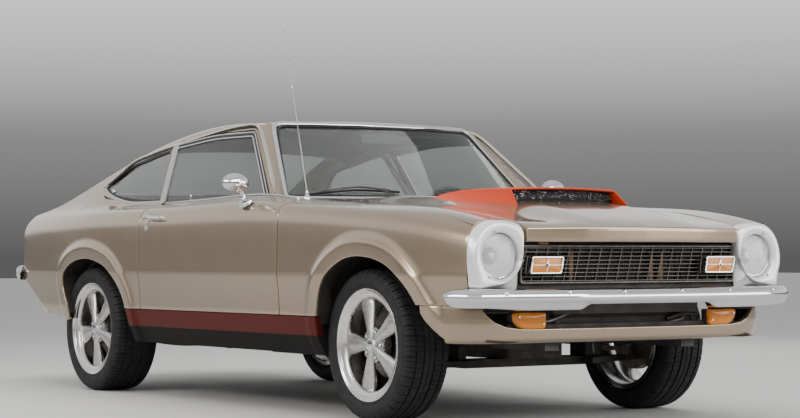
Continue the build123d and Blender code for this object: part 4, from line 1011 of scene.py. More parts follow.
def make_quarter():
    s = Shape()
    V0, V1 = 1965.0, 3572.0
    lowR = 369.0
    a = ARCH_R[cut_at(ARCH_R, 372.0, "start"):cut_at(ARCH_R, STRIPE_TOP + 3, "end") + 1]
    a = a[::-1]          # from the front foot over the top to the rear foot
    n_front, n_top, n_back, n_low = 24, 120, 18, 22
    Vt = np.concatenate([np.linspace(V0, 2580, 42), np.linspace(2580, WIN_TIP, 22)[1:], np.linspace(WIN_TIP, V1, 58)[1:]])
    n_top = len(Vt) - 1
    Zf = np.linspace(STRIPE_TOP + 3, z_break(V0), n_front + 1)
    tail = resample([(V1, float(z_break(V1))), (V1 + 14, 700), (V1 + 16, 640), (V1 + 12, 609)], n_back + 1)
    low = resample([(V1 + 12, 609), (3191, 416), (3120, 398), (2880, 370), (2832, 365)], n_low + 1)
    outer = np.vstack([np.c_[np.full(n_front, V0), Zf[:-1]], np.c_[Vt, z_break(Vt)], tail[1:], low[1:]])
    share = [0.0, 0.16, 0.74, 0.86, 1.0]
    nn = [n_front, n_top, n_back, n_low]
    u = np.concatenate([np.linspace(share[k], share[k + 1], nn[k] + 1)[(0 if k == 0 else 1):] for k in range(4)])
    full = resample(a, 800)
    inner = np.stack([np.interp(u, np.linspace(0, 1, 800), full[:, k]) for k in range(2)], -1)
    inner[0, 1] = STRIPE_TOP + 3
    P = ray_patch(inner, outer, 16, 16)
    G = on_side(P)
    # the tail rounds in behind the last station
    back = np.clip((P[..., 0] - 3520) / 70.0, 0, 1)
    G[..., 0] -= 26.0 * back ** 2.0
    s.grid(G)
    # shoulder and the soft corner at the belt
    rows = []
    for v in Vt:
        B, E = sail_pts(v)
        r = float(BELT_R(v)[0])
        d = unit(E - B)
        h = np.linalg.norm(E - B)
        up = min(r * 1.15 + 1.0, 0.45 * h)
        rows.append((tuple(B), tuple(B + d * up)))
    tops = []
    for v, (B, U) in zip(Vt, rows):
        B, U = np.array(B), np.array(U)
        rr = min(float(BELT_R(v)[0]), np.linalg.norm(U - B) * 0.98)
        tops.append(crown_rows([v], lambda w: (B, U), (rr,), (6, 1), (10,))[0])
    T = np.array(tops)
    back = np.clip((T[..., 1] - 3520) / 70.0, 0, 1)
    T[..., 0] -= 26.0 * back ** 2.0
    s.grid(T)
    belt_top = T[:, -1].copy()
    # sail: below the window, above it, and behind it
    E_low = []
    for v in Vt:
        B, E = sail_pts(v)
        d = unit(E - B)
        h = np.linalg.norm(E - B)
        r = min(float(EDGE_R(v)[0]), 0.4 * h)
        q = E - d * r
        E_low.append((q[0], v, q[1]))
    E_low = np.array(E_low)
    E_low[:, 0] -= 26.0 * np.clip((Vt - 3520) / 70.0, 0, 1) ** 2
    kt = int(np.argmin(np.abs(Vt - WIN_TIP)))

    def plane_point(k, z):
        """Point at height z on the straight line between belt_top[k] and E_low[k]."""
        a, b = belt_top[k], E_low[k]
        t = (z - a[2]) / (b[2] - a[2])
        return a + (b - a) * t

    nb, nu = 6, 8
    below, above, behind = [], [], []
    for k in range(kt + 1):
        lo = plane_point(k, max(float(WIN_LOW(Vt[k])[0]), belt_top[k][2] + 0.4))
        hi = plane_point(k, float(WIN_TOP(Vt[k])[0]) if k < kt else lo[2])
        t = np.linspace(0, 1, nb + 1)[:, None]
        below.append(belt_top[k] + (lo - belt_top[k]) * t)
        t = np.linspace(0, 1, nu + 1)[:, None]
        above.append(hi + (E_low[k] - hi) * t)
    below, above = np.array(below), np.array(above)
    s.grid(below)
    s.grid(above)
    tip = below[-1, -1]
    for k in range(kt, len(Vt)):
        frac = 0.5 if k > kt else 0.5
        mid = plane_point(k, tip[2]) if k == kt else None
        t0 = (tip[2] - belt_top[kt][2]) / (E_low[kt][2] - belt_top[kt][2])
        m = belt_top[k] + (E_low[k] - belt_top[k]) * t0
        t = np.linspace(0, 1, nb + 1)[:, None]
        lo = belt_top[k] + (m - belt_top[k]) * t
        t = np.linspace(0, 1, nu + 1)[:, None]
        hi = m + (E_low[k] - m) * t
        behind.append(np.vstack([lo, hi[1:]]))
    s.grid(np.array(behind))
    hem(s, below[:, -1], below[:, -2], GLASS_N, 2.5, 22.0)
    hem(s, above[:, 0], above[:, 1], GLASS_N, 2.5, 22.0)
    # over the roof edge onto the top
    ov = []
    for k, v in enumerate(Vt):
        B, E = sail_pts(v)
        A = np.array([E_low[k][0], E_low[k][2]])
        x, z = edge_in(v)
        shift = E_low[k][0] - (E - unit(E - B) * min(float(EDGE_R(v)[0]), 0.4 * np.linalg.norm(E - B)))[0]
        C = np.array([x + shift, z])
        if v > 3060:
            # behind the rear window the ridge drops to the trunk seam
            w = smoothstep((v - 3060) / 60.0)
            seam = np.array([689.0 + min(0, shift), float(TRUNK_SEAM(v)[0])])
            C = C * (1 - w) + seam * w
        X = np.array([E[0] + shift, E[1]])
        D = X + (C - X) * min(0.8, 26.0 / max(np.linalg.norm(C - X), 1))
        arc = quad(A, X, D, 8)
        t = np.linspace(0, 1, 6)[1:, None]
        sec = np.vstack([arc, D + (C - D) * t])
        ov.append(np.c_[sec[:, 0], np.full(len(sec), v), sec[:, 1]])
    ov = np.array(ov)
    s.grid(ov)
    # trunk seam edge
    k0 = int(np.argmin(np.abs(Vt - 3108)))
    hem(s, ov[k0:, -1], ov[k0:, -2], (0, 0, 1), 2.5, 22.0)
    # other edges
    hem(s, G[:, 0], G[:, 1], OUT, 4.0, 11.0)
    edge = np.vstack([G[:n_front + 1, -1], T[0, 1:]])
    inn = np.vstack([G[:n_front + 1, -2], T[1, 1:]])
    face = np.zeros_like(edge)
    face[:] = OUT
    face[n_front + 8:] = (0, 0, 1)
    hem(s, edge, inn, face, 3.0, 26.0)
    hem(s, G[0], G[1], OUT, 3.0, 22.0)
    m = n_front + n_top
    hem(s, G[m:, -1], G[m:, -2], OUT, 3.0, 20.0)
    edge = np.vstack([T[-1], behind[-1][1:], ov[-1][1:]])
    inn = np.vstack([T[-2], behind[-2][1:], ov[-2][1:]])
    face = np.zeros_like(edge)
    face[:] = (0.7, 0, 0.7)
    hem(s, edge, inn, face, 4.0, 16.0)
    hem(s, G[-1], G[-2], OUT, 3.0, 16.0)
    info = dict(Vt=Vt, E_low=E_low, ov=ov, below=below, above=above, T=T, behind=behind)
    return s, info


TRUNK_SEAM = Spline(((3060, 1000), (3108, 997), (3200, 972), (3300, 955), (3400, 942), (3500, 934), (3600, 927)))
TRUNK_MID = Spline(((3060, 1022), (3108, 1003), (3200, 982), (3400, 955), (3600, 943)))
quarter, QI = make_quarter()
build(quarter, "quarter_left_skin", PAINT, "chassis", ("quarter_panel_left",))
build(quarter.mirrored(), "quarter_right_skin", PAINT, "chassis", ("quarter_panel_right",))


# roof: top, side rails over the doors, header, deck behind the rear window
def front_edge(x):
    """Station of the roof's front edge at |x|."""
    R = 1529.0
    return 1090.0 + R - np.sqrt(R * R - np.asarray(x, float) ** 2)


REAR_TOP, REAR_LOW = 2386.0, 3046.0


def rear_half(v):
    return np.interp(v, [REAR_TOP, REAR_LOW], [504.0, 598.0])


def make_roof():
    s = Shape()
    # main top, split at the strip that rides over the side edge
    xs = np.linspace(-1, 1, 49)
    U = np.linspace(0, 1, 44)
    rows = []
    for u in U:
        row = []
        for q in xs:
            # the side limit depends on the station, so find it in two steps
            xlim = 560.0
            for _ in range(4):
                x = q * xlim
                v = front_edge(x) + (REAR_TOP - front_edge(x)) * u
                xlim = float(edge_in(v)[0])
            x = q * xlim
            v = front_edge(x) + (REAR_TOP - front_edge(x)) * u
            row.append((x, v, float(roof_z(x, v))))
        rows.append(row)
    G = np.array(rows)
    s.grid(G)
    hem(s, G[0], G[1], (0, -0.3, 1), 4.0, 16.0)
    # beside the rear window
    V = np.linspace(REAR_TOP, REAR_LOW, 40)
    for sgn in (1, -1):
        rows = []
        for v in V:
            a, b = rear_half(v), float(edge_in(v)[0])
            x = np.linspace(a, b, 5)
            rows.append(np.c_[sgn * x, np.full(5, v), roof_z(x, np.full(5, v))])
        R = np.array(rows)
        s.grid(R)
        hem(s, R[:, 0], R[:, 1], (0, 0.3, 1), 3.0, 14.0)
    # rear window head and foot edges
    k = [i for i in range(49)]
    mid = np.array([G[-1, i] for i in k if abs(G[-1, i][0]) <= 505])
    mid2 = np.array([G[-2, i] for i in k if abs(G[-1, i][0]) <= 505])
    hem(s, mid, mid2, (0, 0.3, 1), 3.0, 14.0)
    # deck
    V = np.linspace(REAR_LOW, 3103, 7)
    rows = []
    for v in V:
        lim = float(edge_in(v)[0])
        w = smoothstep((v - 3060) / 60.0)
        lim = lim * (1 - w) + 689.0 * w
        x = np.linspace(-lim, lim, 49)
        z = roof_z(np.minimum(np.abs(x), EDGE(v)[0]), np.full(49, v))
        zt = TRUNK_MID(v)[0] + (TRUNK_SEAM(v)[0] - TRUNK_MID(v)[0]) * (np.abs(x) / lim) ** 2
        z = z * (1 - w) + zt * w
        rows.append(np.c_[x, np.full(49, v), z])
    D = np.array(rows)
    s.grid(D)
    hem(s, D[-1], D[-2], (0, 0, 1), 3.0, 22.0)
    mid = np.array([p for p in D[0] if abs(p[0]) <= 600])
    idx = [i for i, p in enumerate(D[0]) if abs(p[0]) <= 600]
    hem(s, D[0, idx], D[1, idx], (0, 0, 1), 3.0, 14.0)
    # rails over the doors: from the door opening's upper edge round onto the top
    V = np.concatenate([np.linspace(1150, 1260, 12), np.linspace(1260, 1965, 40)[1:]])
    for sgn in (1, -1):
        rows = []
        for v in V:
            B, E = sail_pts(v)
            d = unit(E - B)
            A = E - d * float(EDGE_R(v)[0])
            zo = float(np.interp(v, [1150, 1236, 1604, 1965], [1296, 1297, 1299, 1270.5]))
            t = (zo - B[1]) / (A[1] - B[1])
            O = B + (A - B) * t
            x, z = edge_in(v)
            C = np.array([x, z])
            D2 = E + (C - E) * 26.0 / np.linalg.norm(C - E)
            run = O + (A - O) * np.linspace(0, 1, 6)[:-1, None]
            sec = np.vstack([run, quad(A, E, D2, 8), D2 + (C - D2) * np.linspace(0, 1, 6)[1:, None]])
            # keep the front end behind the header line
            rows.append(np.c_[sgn * sec[:, 0], np.full(len(sec), v), sec[:, 1]])
        R = np.array(rows)
        # the front end follows the curved header
        f = front_edge(R[:, :, 0])
        R[:, :, 1] = np.maximum(R[:, :, 1], 0) * 1.0
        t = np.clip((1290 - R[:, :, 1]) / 140.0, 0, 1)
        R[:, :, 1] = R[:, :, 1] + (f - 1150.0) * t
        s.grid(R)
        hem(s, R[:, 0], R[:, 1], (sgn, 0, 0.4), 2.5, 20.0)
        hem(s, R[0], R[1], (sgn * 0.5, -0.2, 1), 3.0, 14.0)
    return s


build(make_roof(), "roof_skin", PAINT, "chassis", ("roof",))


# ---------------------------------------------------------------- hood
HOOD = Spline(((-760, 558, 822, 848), (-600, 572, 850, 882), (-300, 599, 889, 930), (0, 629, 903, 948),
               (300, 649, 922, 962), (570, 667, 941, 973)))
LIP_LOW, LIP_TOP = 747.0, 807.0


def lip_v(x):
    """Station of the hood's front edge."""
    a = np.abs(x)
    return np.interp(a, [0, 300, 556, 700], [-872, -846, -800, -776]) - 6 * np.sin(np.pi * np.clip(a / 556, 0, 1))


def hood_shape(u):
    """Crown profile, 1 in the middle and 0 at the seam: a raised centre with soft shoulders."""
    a = np.abs(u)
    centre = 1 - 0.10 * a
    fall = smoothstep((a - 0.34) / 0.46)
    return centre * (1 - fall) + 0.02 * fall * (1 - a)


def hood_z(x, v):
    c = HOOD(np.maximum(v, -760))
    u = np.clip(x / c[..., 0], -1, 1)
    return c[..., 1] + (c[..., 2] - c[..., 1]) * hood_shape(u)


def make_hood():
    s = Shape()
    xs = np.linspace(-1, 1, 81)
    V = np.linspace(567, -640, 70)
    rows = []
    for v in V:
        xl = float(HOOD(v)[0]) - 3
        x = xs * xl
        rows.append(np.c_[x, np.full(81, v), hood_z(x, np.full(81, v))])
    # nose: from the last full row down to the lip
    base = np.array(rows[-1])
    prev = np.array(rows[-2])
    tip = np.zeros_like(base)
    tip[:, 0] = xs * 554.0
    tip[:, 1] = lip_v(tip[:, 0]) + 5
    tip[:, 2] = LIP_TOP + 6 * (1 - np.abs(xs)) ** 0.8
    tang = unit(base - prev)
    L = np.linalg.norm(tip - base, axis=1)[:, None]
    ctrl = base + tang * L * 0.5
    ctrl2 = tip + np.array([0, 60.0, 24.0])
    for t in np.linspace(0, 1, 17)[1:]:
        q = (1 - t) ** 3 * base + 3 * t * (1 - t) ** 2 * ctrl + 3 * t * t * (1 - t) * ctrl2 + t ** 3 * tip
        rows.append(q)
    # rounded upper edge, front face, rounded lower edge, turned back below
    def down(dv, dz):
        q = tip.copy()
        q[:, 1] = lip_v(tip[:, 0]) + dv
        q[:, 2] = tip[:, 2] + dz if dz > -12 else LIP_LOW
        return q
    rows.append(down(2.0, -1.2))
    rows.append(down(0.2, -4.0))
    rows.append(down(-0.5, -8.0))
    face_top = rows[-1]
    for t in (0.25, 0.5, 0.75, 1.0):
        q = face_top.copy()
        q[:, 2] = face_top[:, 2] * (1 - t) + (LIP_LOW + 8) * t
        q[:, 1] += 3.0 * t
        rows.append(q)
    lowest = rows[-1]
    for a in (30, 60, 90):
        q = lowest.copy()
        q[:, 1] += 7 * (1 - math.cos(math.radians(a)))
        q[:, 2] -= 7 * math.sin(math.radians(a))
        rows.append(q)
    for dv in (20, 46):
        q = rows[-1].copy()
        q[:, 1] = lowest[:, 1] + dv
        rows.append(q)
    G = np.array(rows)
    s.grid(G)
    nb = len(V) + 16
    last_l = hem(s, G[:nb, 0], G[:nb, 1], (0, 0, 1), 3.0, 20.0)
    last_r = hem(s, G[:nb, -1], G[:nb, -2], (0, 0, 1), 3.0, 20.0)
    hem(s, G[0], G[1], (0, 0, 1), 3.0, 20.0)
    # ends of the nose face
    for col in (0, -1):
        sg = -1 if col == 0 else 1
        E = G[nb - 1:, col]
        q = E.copy()
        q[:, 0] += sg * 2.0
        w = q.copy()
        w[:, 1] += 30
        s.grid(np.array([E, q, w]))
    # inner panel with stamped ribs
    rows = []
    for v in np.linspace(560, -700, 40):
        c = HOOD(v)
        x = xs * (c[0] - 12)
        z = hood_z(x, np.full(81, v)) - 20
        rib = 8.0 * (np.cos(x / c[0] * 9.0) > 0.2)
        rows.append(np.c_[x, np.full(81, v), z - rib * (abs(v + 60) < 560)])
    s.grid(np.array(rows), 1)
    return s


UNDERHOOD = plain("underhood_black", (0.016, 0.015, 0.014), (0.03, 0.028, 0.026), 0.45, 0.7, 30.0, bump=0.2)
build(make_hood(), "hood_skin", [PAINT, UNDERHOOD], "hood", ("hood",), sharp=32)


# ---------------------------------------------------------------- trunk lid
def make_trunk():
    s = Shape()
    V = np.linspace(3111, 3585, 34)
    xs = np.linspace(-1, 1, 61)
    rows = []
    for v in V:
        a, b = float(TRUNK_SEAM(v)[0]), float(TRUNK_MID(v)[0])
        x = xs * 681.0
        z = b + (a - b) * np.abs(xs) ** 2.4
        rows.append(np.c_[x, np.full(61, v), z])
    G = np.array(rows)
    # rear edge rolls down
    last = G[-1]
    extra = []
    for k, a in enumerate((22, 45, 67, 90)):
        q = last.copy()
        q[:, 1] += 14 * math.sin(math.radians(a))
        q[:, 2] -= 14 * (1 - math.cos(math.radians(a)))
        extra.append(q)
    q = extra[-1].copy()
    q[:, 2] -= 16
    extra.append(q)
    q = q.copy()
    q[:, 1] -= 12
    extra.append(q)
    G = np.concatenate([G, np.array(extra)])
    s.grid(G)
    hem(s, G[0], G[1], (0, 0, 1), 3.0, 20.0)
    hem(s, G[:, 0], G[:, 1], (0, 0, 1), 3.0, 20.0)
    hem(s, G[:, -1], G[:, -2], (0, 0, 1), 3.0, 20.0)
    rows = []
    for v in np.linspace(3122, 3580, 20):
        a, b = float(TRUNK_SEAM(v)[0]), float(TRUNK_MID(v)[0])
        x = xs * 668.0
        rows.append(np.c_[x, np.full(61, v), b + (a - b) * np.abs(xs) ** 2.4 - 20])
    s.grid(np.array(rows), 1)
    return s


build(make_trunk(), "trunk_lid_skin", [PAINT, UNDERHOOD], "trunk_lid", ("trunk_lid",))


# ---------------------------------------------------------------- rocker with stripe
def make_rocker():
    s = Shape()
    rows = []
    af = ARCH_F[ARCH_F[:, 0] > 0]
    ar = ARCH_R[ARCH_R[:, 0] < WHEELBASE]

    def ends(z):
        f = np.interp(z, [268, 335, 437], [296, 302, 289.5])
        r = WHEELBASE + np.interp(z, [268, 335, 437], [-503, -511, -503.5])
        return f + 3, r - 3
    Z = np.r_[np.linspace(STRIPE_TOP - GAPZ, STRIPE_LOW, 8), STRIPE_LOW - 3, STRIPE_LOW - 7, np.linspace(STRIPE_LOW - 12, 274, 7)]
    n = 130
    P = []
    for z in Z:
        a, b = ends(z)
        t = np.linspace(0, 1, n)
        t = 0.5 * (t + (1 - np.cos(np.pi * t)) / 2)
        v = a + (b - a) * t
        if z >= STRIPE_LOW - 0.5:
            x = flank(v, np.full(n, z))
        else:
            xe = flank(v, np.full(n, STRIPE_LOW))
            d = STRIPE_LOW - z
            x = xe - 5.0 * smoothstep(d / 7.0) - 34.0 * np.clip((d - 7) / 72.0, 0, 1)
        P.append(np.c_[x, v, np.full(n, z)])
    P = np.array(P)
    ns = 8
    s.grid(P[:ns], 0)
    s.grid(P[ns - 1:], 1)
    hem(s, P[0], P[1], OUT, 2.5, 26.0, 0)
    last = hem(s, P[-1], P[-2], OUT, 5.0, 40.0, 1)
    for col, ref in ((0, 1), (-1, -2)):
        hem(s, P[:ns, col], P[:ns, ref], OUT, 3.0, 30.0, 0)
        hem(s, P[ns - 1:, col], P[ns - 1:, ref], OUT, 3.0, 60.0, 1)
    # underside back to the floor
    q = last.copy()
    q[:, 0] = 742
    q[:, 2] = 270
    s.grid(np.array([last, q]), 1)
    return s


GAPZ = 6.0
rocker = make_rocker()
build(rocker.both(), "rocker_skins", [STRIPE, SATIN], "chassis", ("rocker_panels",))

# ---------------------------------------------------------------- headlamp surrounds and lamps
LAMP_X, LAMP_Z = 675.0, 693.0
CREST = ((566, 707), (581, 657), (614, 612), (652, 586), (713, 574), (768, 566), (790, 569), (795, 596), (806, 640),
         (812, 680), (806, 725), (789, 768), (760, 804), (719, 826), (665, 833), (617, 827), (580, 814), (562, 790),
         (562, 745))
BASE = ((568, 700), (569, 640), (571, 590), (574, 570), (640, 567), (720, 566), (780, 566), (800, 568), (808, 600),
        (812, 640), (814, 680), (812, 730), (800, 775), (772, 810), (728, 831), (668, 834), (612, 828), (575, 817),
        (563, 800), (562, 745))


def polar(points, centre, n):
    """Closed outline as a radius table around a centre, sampled at n even angles."""
    p = np.array(points, float)
    # dense smooth closed curve
    q = np.vstack([p[-3:], p, p[:4]])
    d = np.r_[0, np.cumsum(np.linalg.norm(np.diff(q, axis=0), axis=1))]
    s = Spline(np.c_[d, q])
    c = s(np.linspace(d[3], d[3 + len(p)], 900))
    ang = np.arctan2(c[:, 1] - centre[1], c[:, 0] - centre[0])
    rad = np.hypot(c[:, 0] - centre[0], c[:, 1] - centre[1])
    order = np.argsort(ang)
    a, r = ang[order], rad[order]
    a = np.r_[a[-20:] - 2 * np.pi, a, a[:20] + 2 * np.pi]
    r = np.r_[r[-20:], r, r[:20]]
    t = np.linspace(-np.pi, np.pi, n, endpoint=False)
    return t, np.interp(t, a, r)


def make_bezel():
    s = Shape()
    n = 144
    t, rc = polar(CREST, (LAMP_X, LAMP_Z), n)
    _, rb = polar(BASE, (LAMP_X, LAMP_Z), n)
    rows = []

    def ring(r, v):
        return np.c_[LAMP_X + r * np.cos(t), np.full(n, 1.0) * v, LAMP_Z + r * np.sin(t)]
    one = np.ones(n)
    rows.append(ring(91.0 * one, -752))
    rows.append(ring(91.0 * one, -777))
    rows.append(ring(91.8 * one, -783))
    rows.append(ring(94.0 * one, -787.5))
    rows.append(ring(97.5 * one, -789.5))
    thick = rc - 97.5
    rows.append(ring(97.5 + thick * 0.30, -792.5))
    rows.append(ring(97.5 + thick * 0.55, -793.6))
    rows.append(ring(97.5 + thick * 0.74, -792.6))
    rows.append(ring(97.5 + thick * 0.88, -789.6))
    rows.append(ring(97.5 + thick * 0.97, -784.6))
    rows.append(ring(rc, -779))
    for k in (0.25, 0.5, 0.75, 1.0):
        rows.append(ring(rc + (rb - rc) * smoothstep(k) ** 0.9, -779 + 27 * k))
    s.grid(np.array(rows), wrap_j=True)
    return s


def make_lamp():
    s = Shape()
    c = (LAMP_X, 0, LAMP_Z)
    # retaining ring
    lathe(s, [(-752, 90), (-764, 89.6), (-767.5, 88.4), (-769, 86.4), (-768.6, 84.2), (-765, 83.2), (-754, 83)], c, "y", 96, 1)
    # reflector bowl
    prof = [(-760 + 0.0, 83.0)]
    for r in np.linspace(80, 6, 14):
        prof.append((-764 + 74 * (1 - (r / 83.0) ** 2), r))
    lathe(s, prof, c, "y", 96, 2)
    lathe(s, [(-692, 6), (-716, 14), (-727, 14), (-729, 10), (-729.5, 0.1)], c, "y", 32, 1)
    # back shell
    lathe(s, [(-752, 90), (-735, 88), (-706, 60), (-700, 0.1)], c, "y", 48, 3)
    return s


def make_lamp_glass():
    s = Shape()
    c = np.array([LAMP_X, 0, LAMP_Z])
    R = 84.5
    rows_o, rows_i = [], []
    a = np.linspace(0, 2 * np.pi, 120, endpoint=False)
    for r in np.linspace(R, 3, 26):
        x, z = r * np.cos(a), r * np.sin(a)
        v = -763.5 - 11.5 * (1 - (r / R) ** 2)
        rib = 0.0
        if r < R * 0.93:
            rib = 1.1 * np.abs(np.sin(x / 11.0 * np.pi)) + 0.6 * np.cos(z / 23.0 * np.pi) ** 2
        rows_o.append(np.c_[x, np.full(120, v), z] + c)
        rows_i.append(np.c_[x, np.full(120, v) + 3.2 + rib, z] + c)
    s.grid(np.array(rows_o[::-1]), wrap_j=True)
    s.grid(np.array(rows_i), wrap_j=True)
    s.grid(np.array([rows_o[0], rows_i[0]]), wrap_j=True)
    s.cap(rows_o[-1], centre=c + (0, -775.0, 0))
    s.cap(rows_i[-1], centre=c + (0, -771.8, 0))
    return s


bezel = make_bezel()
screws = Shape()
for deg in (70, 190, 305):
    a = math.radians(deg)
    p = (LAMP_X + 101 * math.cos(a), 0, LAMP_Z + 101 * math.sin(a))
    lathe(screws, [(-789, 0.1), (-796, 0.6), (-796.4, 3.6), (-795.0, 4.6), (-788, 4.8)], p, "y", 16, 1)
bezel.join(screws)
build(bezel.both(), "headlamp_surrounds", [SILVER, PEWTER], "chassis", ("headlamp_bezels",))
build(make_lamp().both(), "headlamp_bodies", [CHROME, CHROME, REFLECTOR, UNDER], "chassis")
build(make_lamp_glass().both(), "headlamp_lenses", LAMPGLASS, "chassis", ("headlamps",))

# ---------------------------------------------------------------- grille
GRILLE_LOW, GRILLE_TOP, GRILLE_V = 586.0, 733.0, -765.0


def box_bar(s, a, b, w, h, mat=0, r=0.8, up=(0, -1, 0)):
    """Straight bar with softened edges from a to b."""
    return sweep(s, np.array([a, b], float), round_rect(w, h, r, 2), up, mat)


def make_grille():
    s = Shape()
    zs = np.linspace(GRILLE_LOW + 8, GRILLE_TOP - 8, 9)
    for z in zs:
        box_bar(s, (-556, GRILLE_V + 9, z), (556, GRILLE_V + 9, z), 3.4, 18.0, 0, 1.2)
    for x in np.arange(-602, 640, 54.4):
        lo, hi = np.array([x - 17.0, GRILLE_V + 11, GRILLE_LOW + 3]), np.array([x + 17.0, GRILLE_V + 11, GRILLE_TOP - 3])
        # clip to the frame
        t0, t1 = 0.0, 1.0
        dx = hi[0] - lo[0]
        t0 = max(0.0, (-556 - lo[0]) / dx)
        t1 = min(1.0, (556 - lo[0]) / dx)
        if t1 - t0 < 0.05:
            continue
        a, b = lo + (hi - lo) * t0, lo + (hi - lo) * t1
        sweep(s, np.array([a, b]), round_rect(3.0, 14.0, 1.0, 2), (0, -1, 0), 0)
    # outer frame
    loop = soft_loop([(-560, GRILLE_LOW), (560, GRILLE_LOW), (560, GRILLE_TOP), (-560, GRILLE_TOP)], 9, 4, 10)
    path = np.c_[loop[:, 0], np.full(len(loop), GRILLE_V + 8), loop[:, 1]]
    sweep(s, path, round_rect(7.0, 16.0, 2.0, 3), (0, -1, 0), 0, closed=True)
    return s


def make_grille_back():
    """Dark shroud behind the bars."""
    s = Shape()
    loop = soft_loop([(-562, GRILLE_LOW - 3), (562, GRILLE_LOW - 3), (562, GRILLE_TOP + 3), (-562, GRILLE_TOP + 3)], 8, 4, 8)
    rows = []
    for v, k in ((GRILLE_V + 14, 1.0), (-744, 1.0), (-712, 0.985), (-696, 0.97)):
        rows.append(np.c_[loop[:, 0] * k, np.full(len(loop), v), 660 + (loop[:, 1] - 660) * (2 - k)])
    s.grid(np.array(rows), wrap_j=True)
    # side plates that close the view beside the radiator
    for sg in (1, -1):
        P = np.array([[(sg * 330, -698, 590), (sg * 330, -698, 730)], [(sg * 548, -700, 590), (sg * 548, -700, 730)]], float)
        s.grid(P)
    return s


GRILLE_MAT = plain("grille_bar_grey", (0.15, 0.142, 0.13), (0.09, 0.085, 0.078), 0.32, 0.46, 50.0, metallic=0.85, bump=0.05)
build(make_grille(), "grille_bars", GRILLE_MAT, "chassis", ("grille",))
build(make_grille_back(), "grille_shroud", UNDER, "chassis")

# latch and stays seen through the bars
s = Shape()
box_bar(s, (-600, -740, 741), (600, -740, 741), 4, 34, 0, 1.5)
for x in (150, 205, -270):
    box_bar(s, (x, -712, 480), (x, -712, 740), 20, 4, 1, 1.2)
box_bar(s, (-470, -752, 744), (-425, -752, 744), 10, 22, 1, 1.5, (0, -1, 0))
build(s, "latch_panel", [UNDER, plain("raw_bracket", (0.30, 0.17, 0.07), (0.16, 0.10, 0.05), 0.45, 0.7, 40.0, metallic=0.5)],
      "chassis")

# ---------------------------------------------------------------- grille lamps and park lamps
LEAN = 12.0


def lens_loop(cx, cz, w, h, lean, r=9):
    pts = [(cx - w / 2 - lean / 2, cz - h / 2), (cx + w / 2 - lean / 2, cz - h / 2), (cx + w / 2 + lean / 2, cz + h / 2),
           (cx - w / 2 + lean / 2, cz + h / 2)]
    return soft_loop(pts, r, 5, 3)


def ring_between(s, outer, inner, v_out, v_in, mat):
    """Flat ring with rounded faces between two loops of equal count (x, z)."""
    o, i = np.array(outer), np.array(inner)
    m = (o + i) / 2
    rows = [np.c_[o[:, 0], np.full(len(o), v_in), o[:, 1]],
            np.c_[o[:, 0], np.full(len(o), v_out + 1.5), o[:, 1]],
            np.c_[o[:, 0] * 0.75 + i[:, 0] * 0.25, np.full(len(o), v_out), o[:, 1] * 0.75 + i[:, 1] * 0.25],
            np.c_[m[:, 0] * 0.5 + i[:, 0] * 0.5, np.full(len(o), v_out), m[:, 1] * 0.5 + i[:, 1] * 0.5],
            np.c_[i[:, 0], np.full(len(o), v_out + 1.5), i[:, 1]],
            np.c_[i[:, 0], np.full(len(o), v_in), i[:, 1]]]
    s.grid(np.array(rows), mat, wrap_j=True)


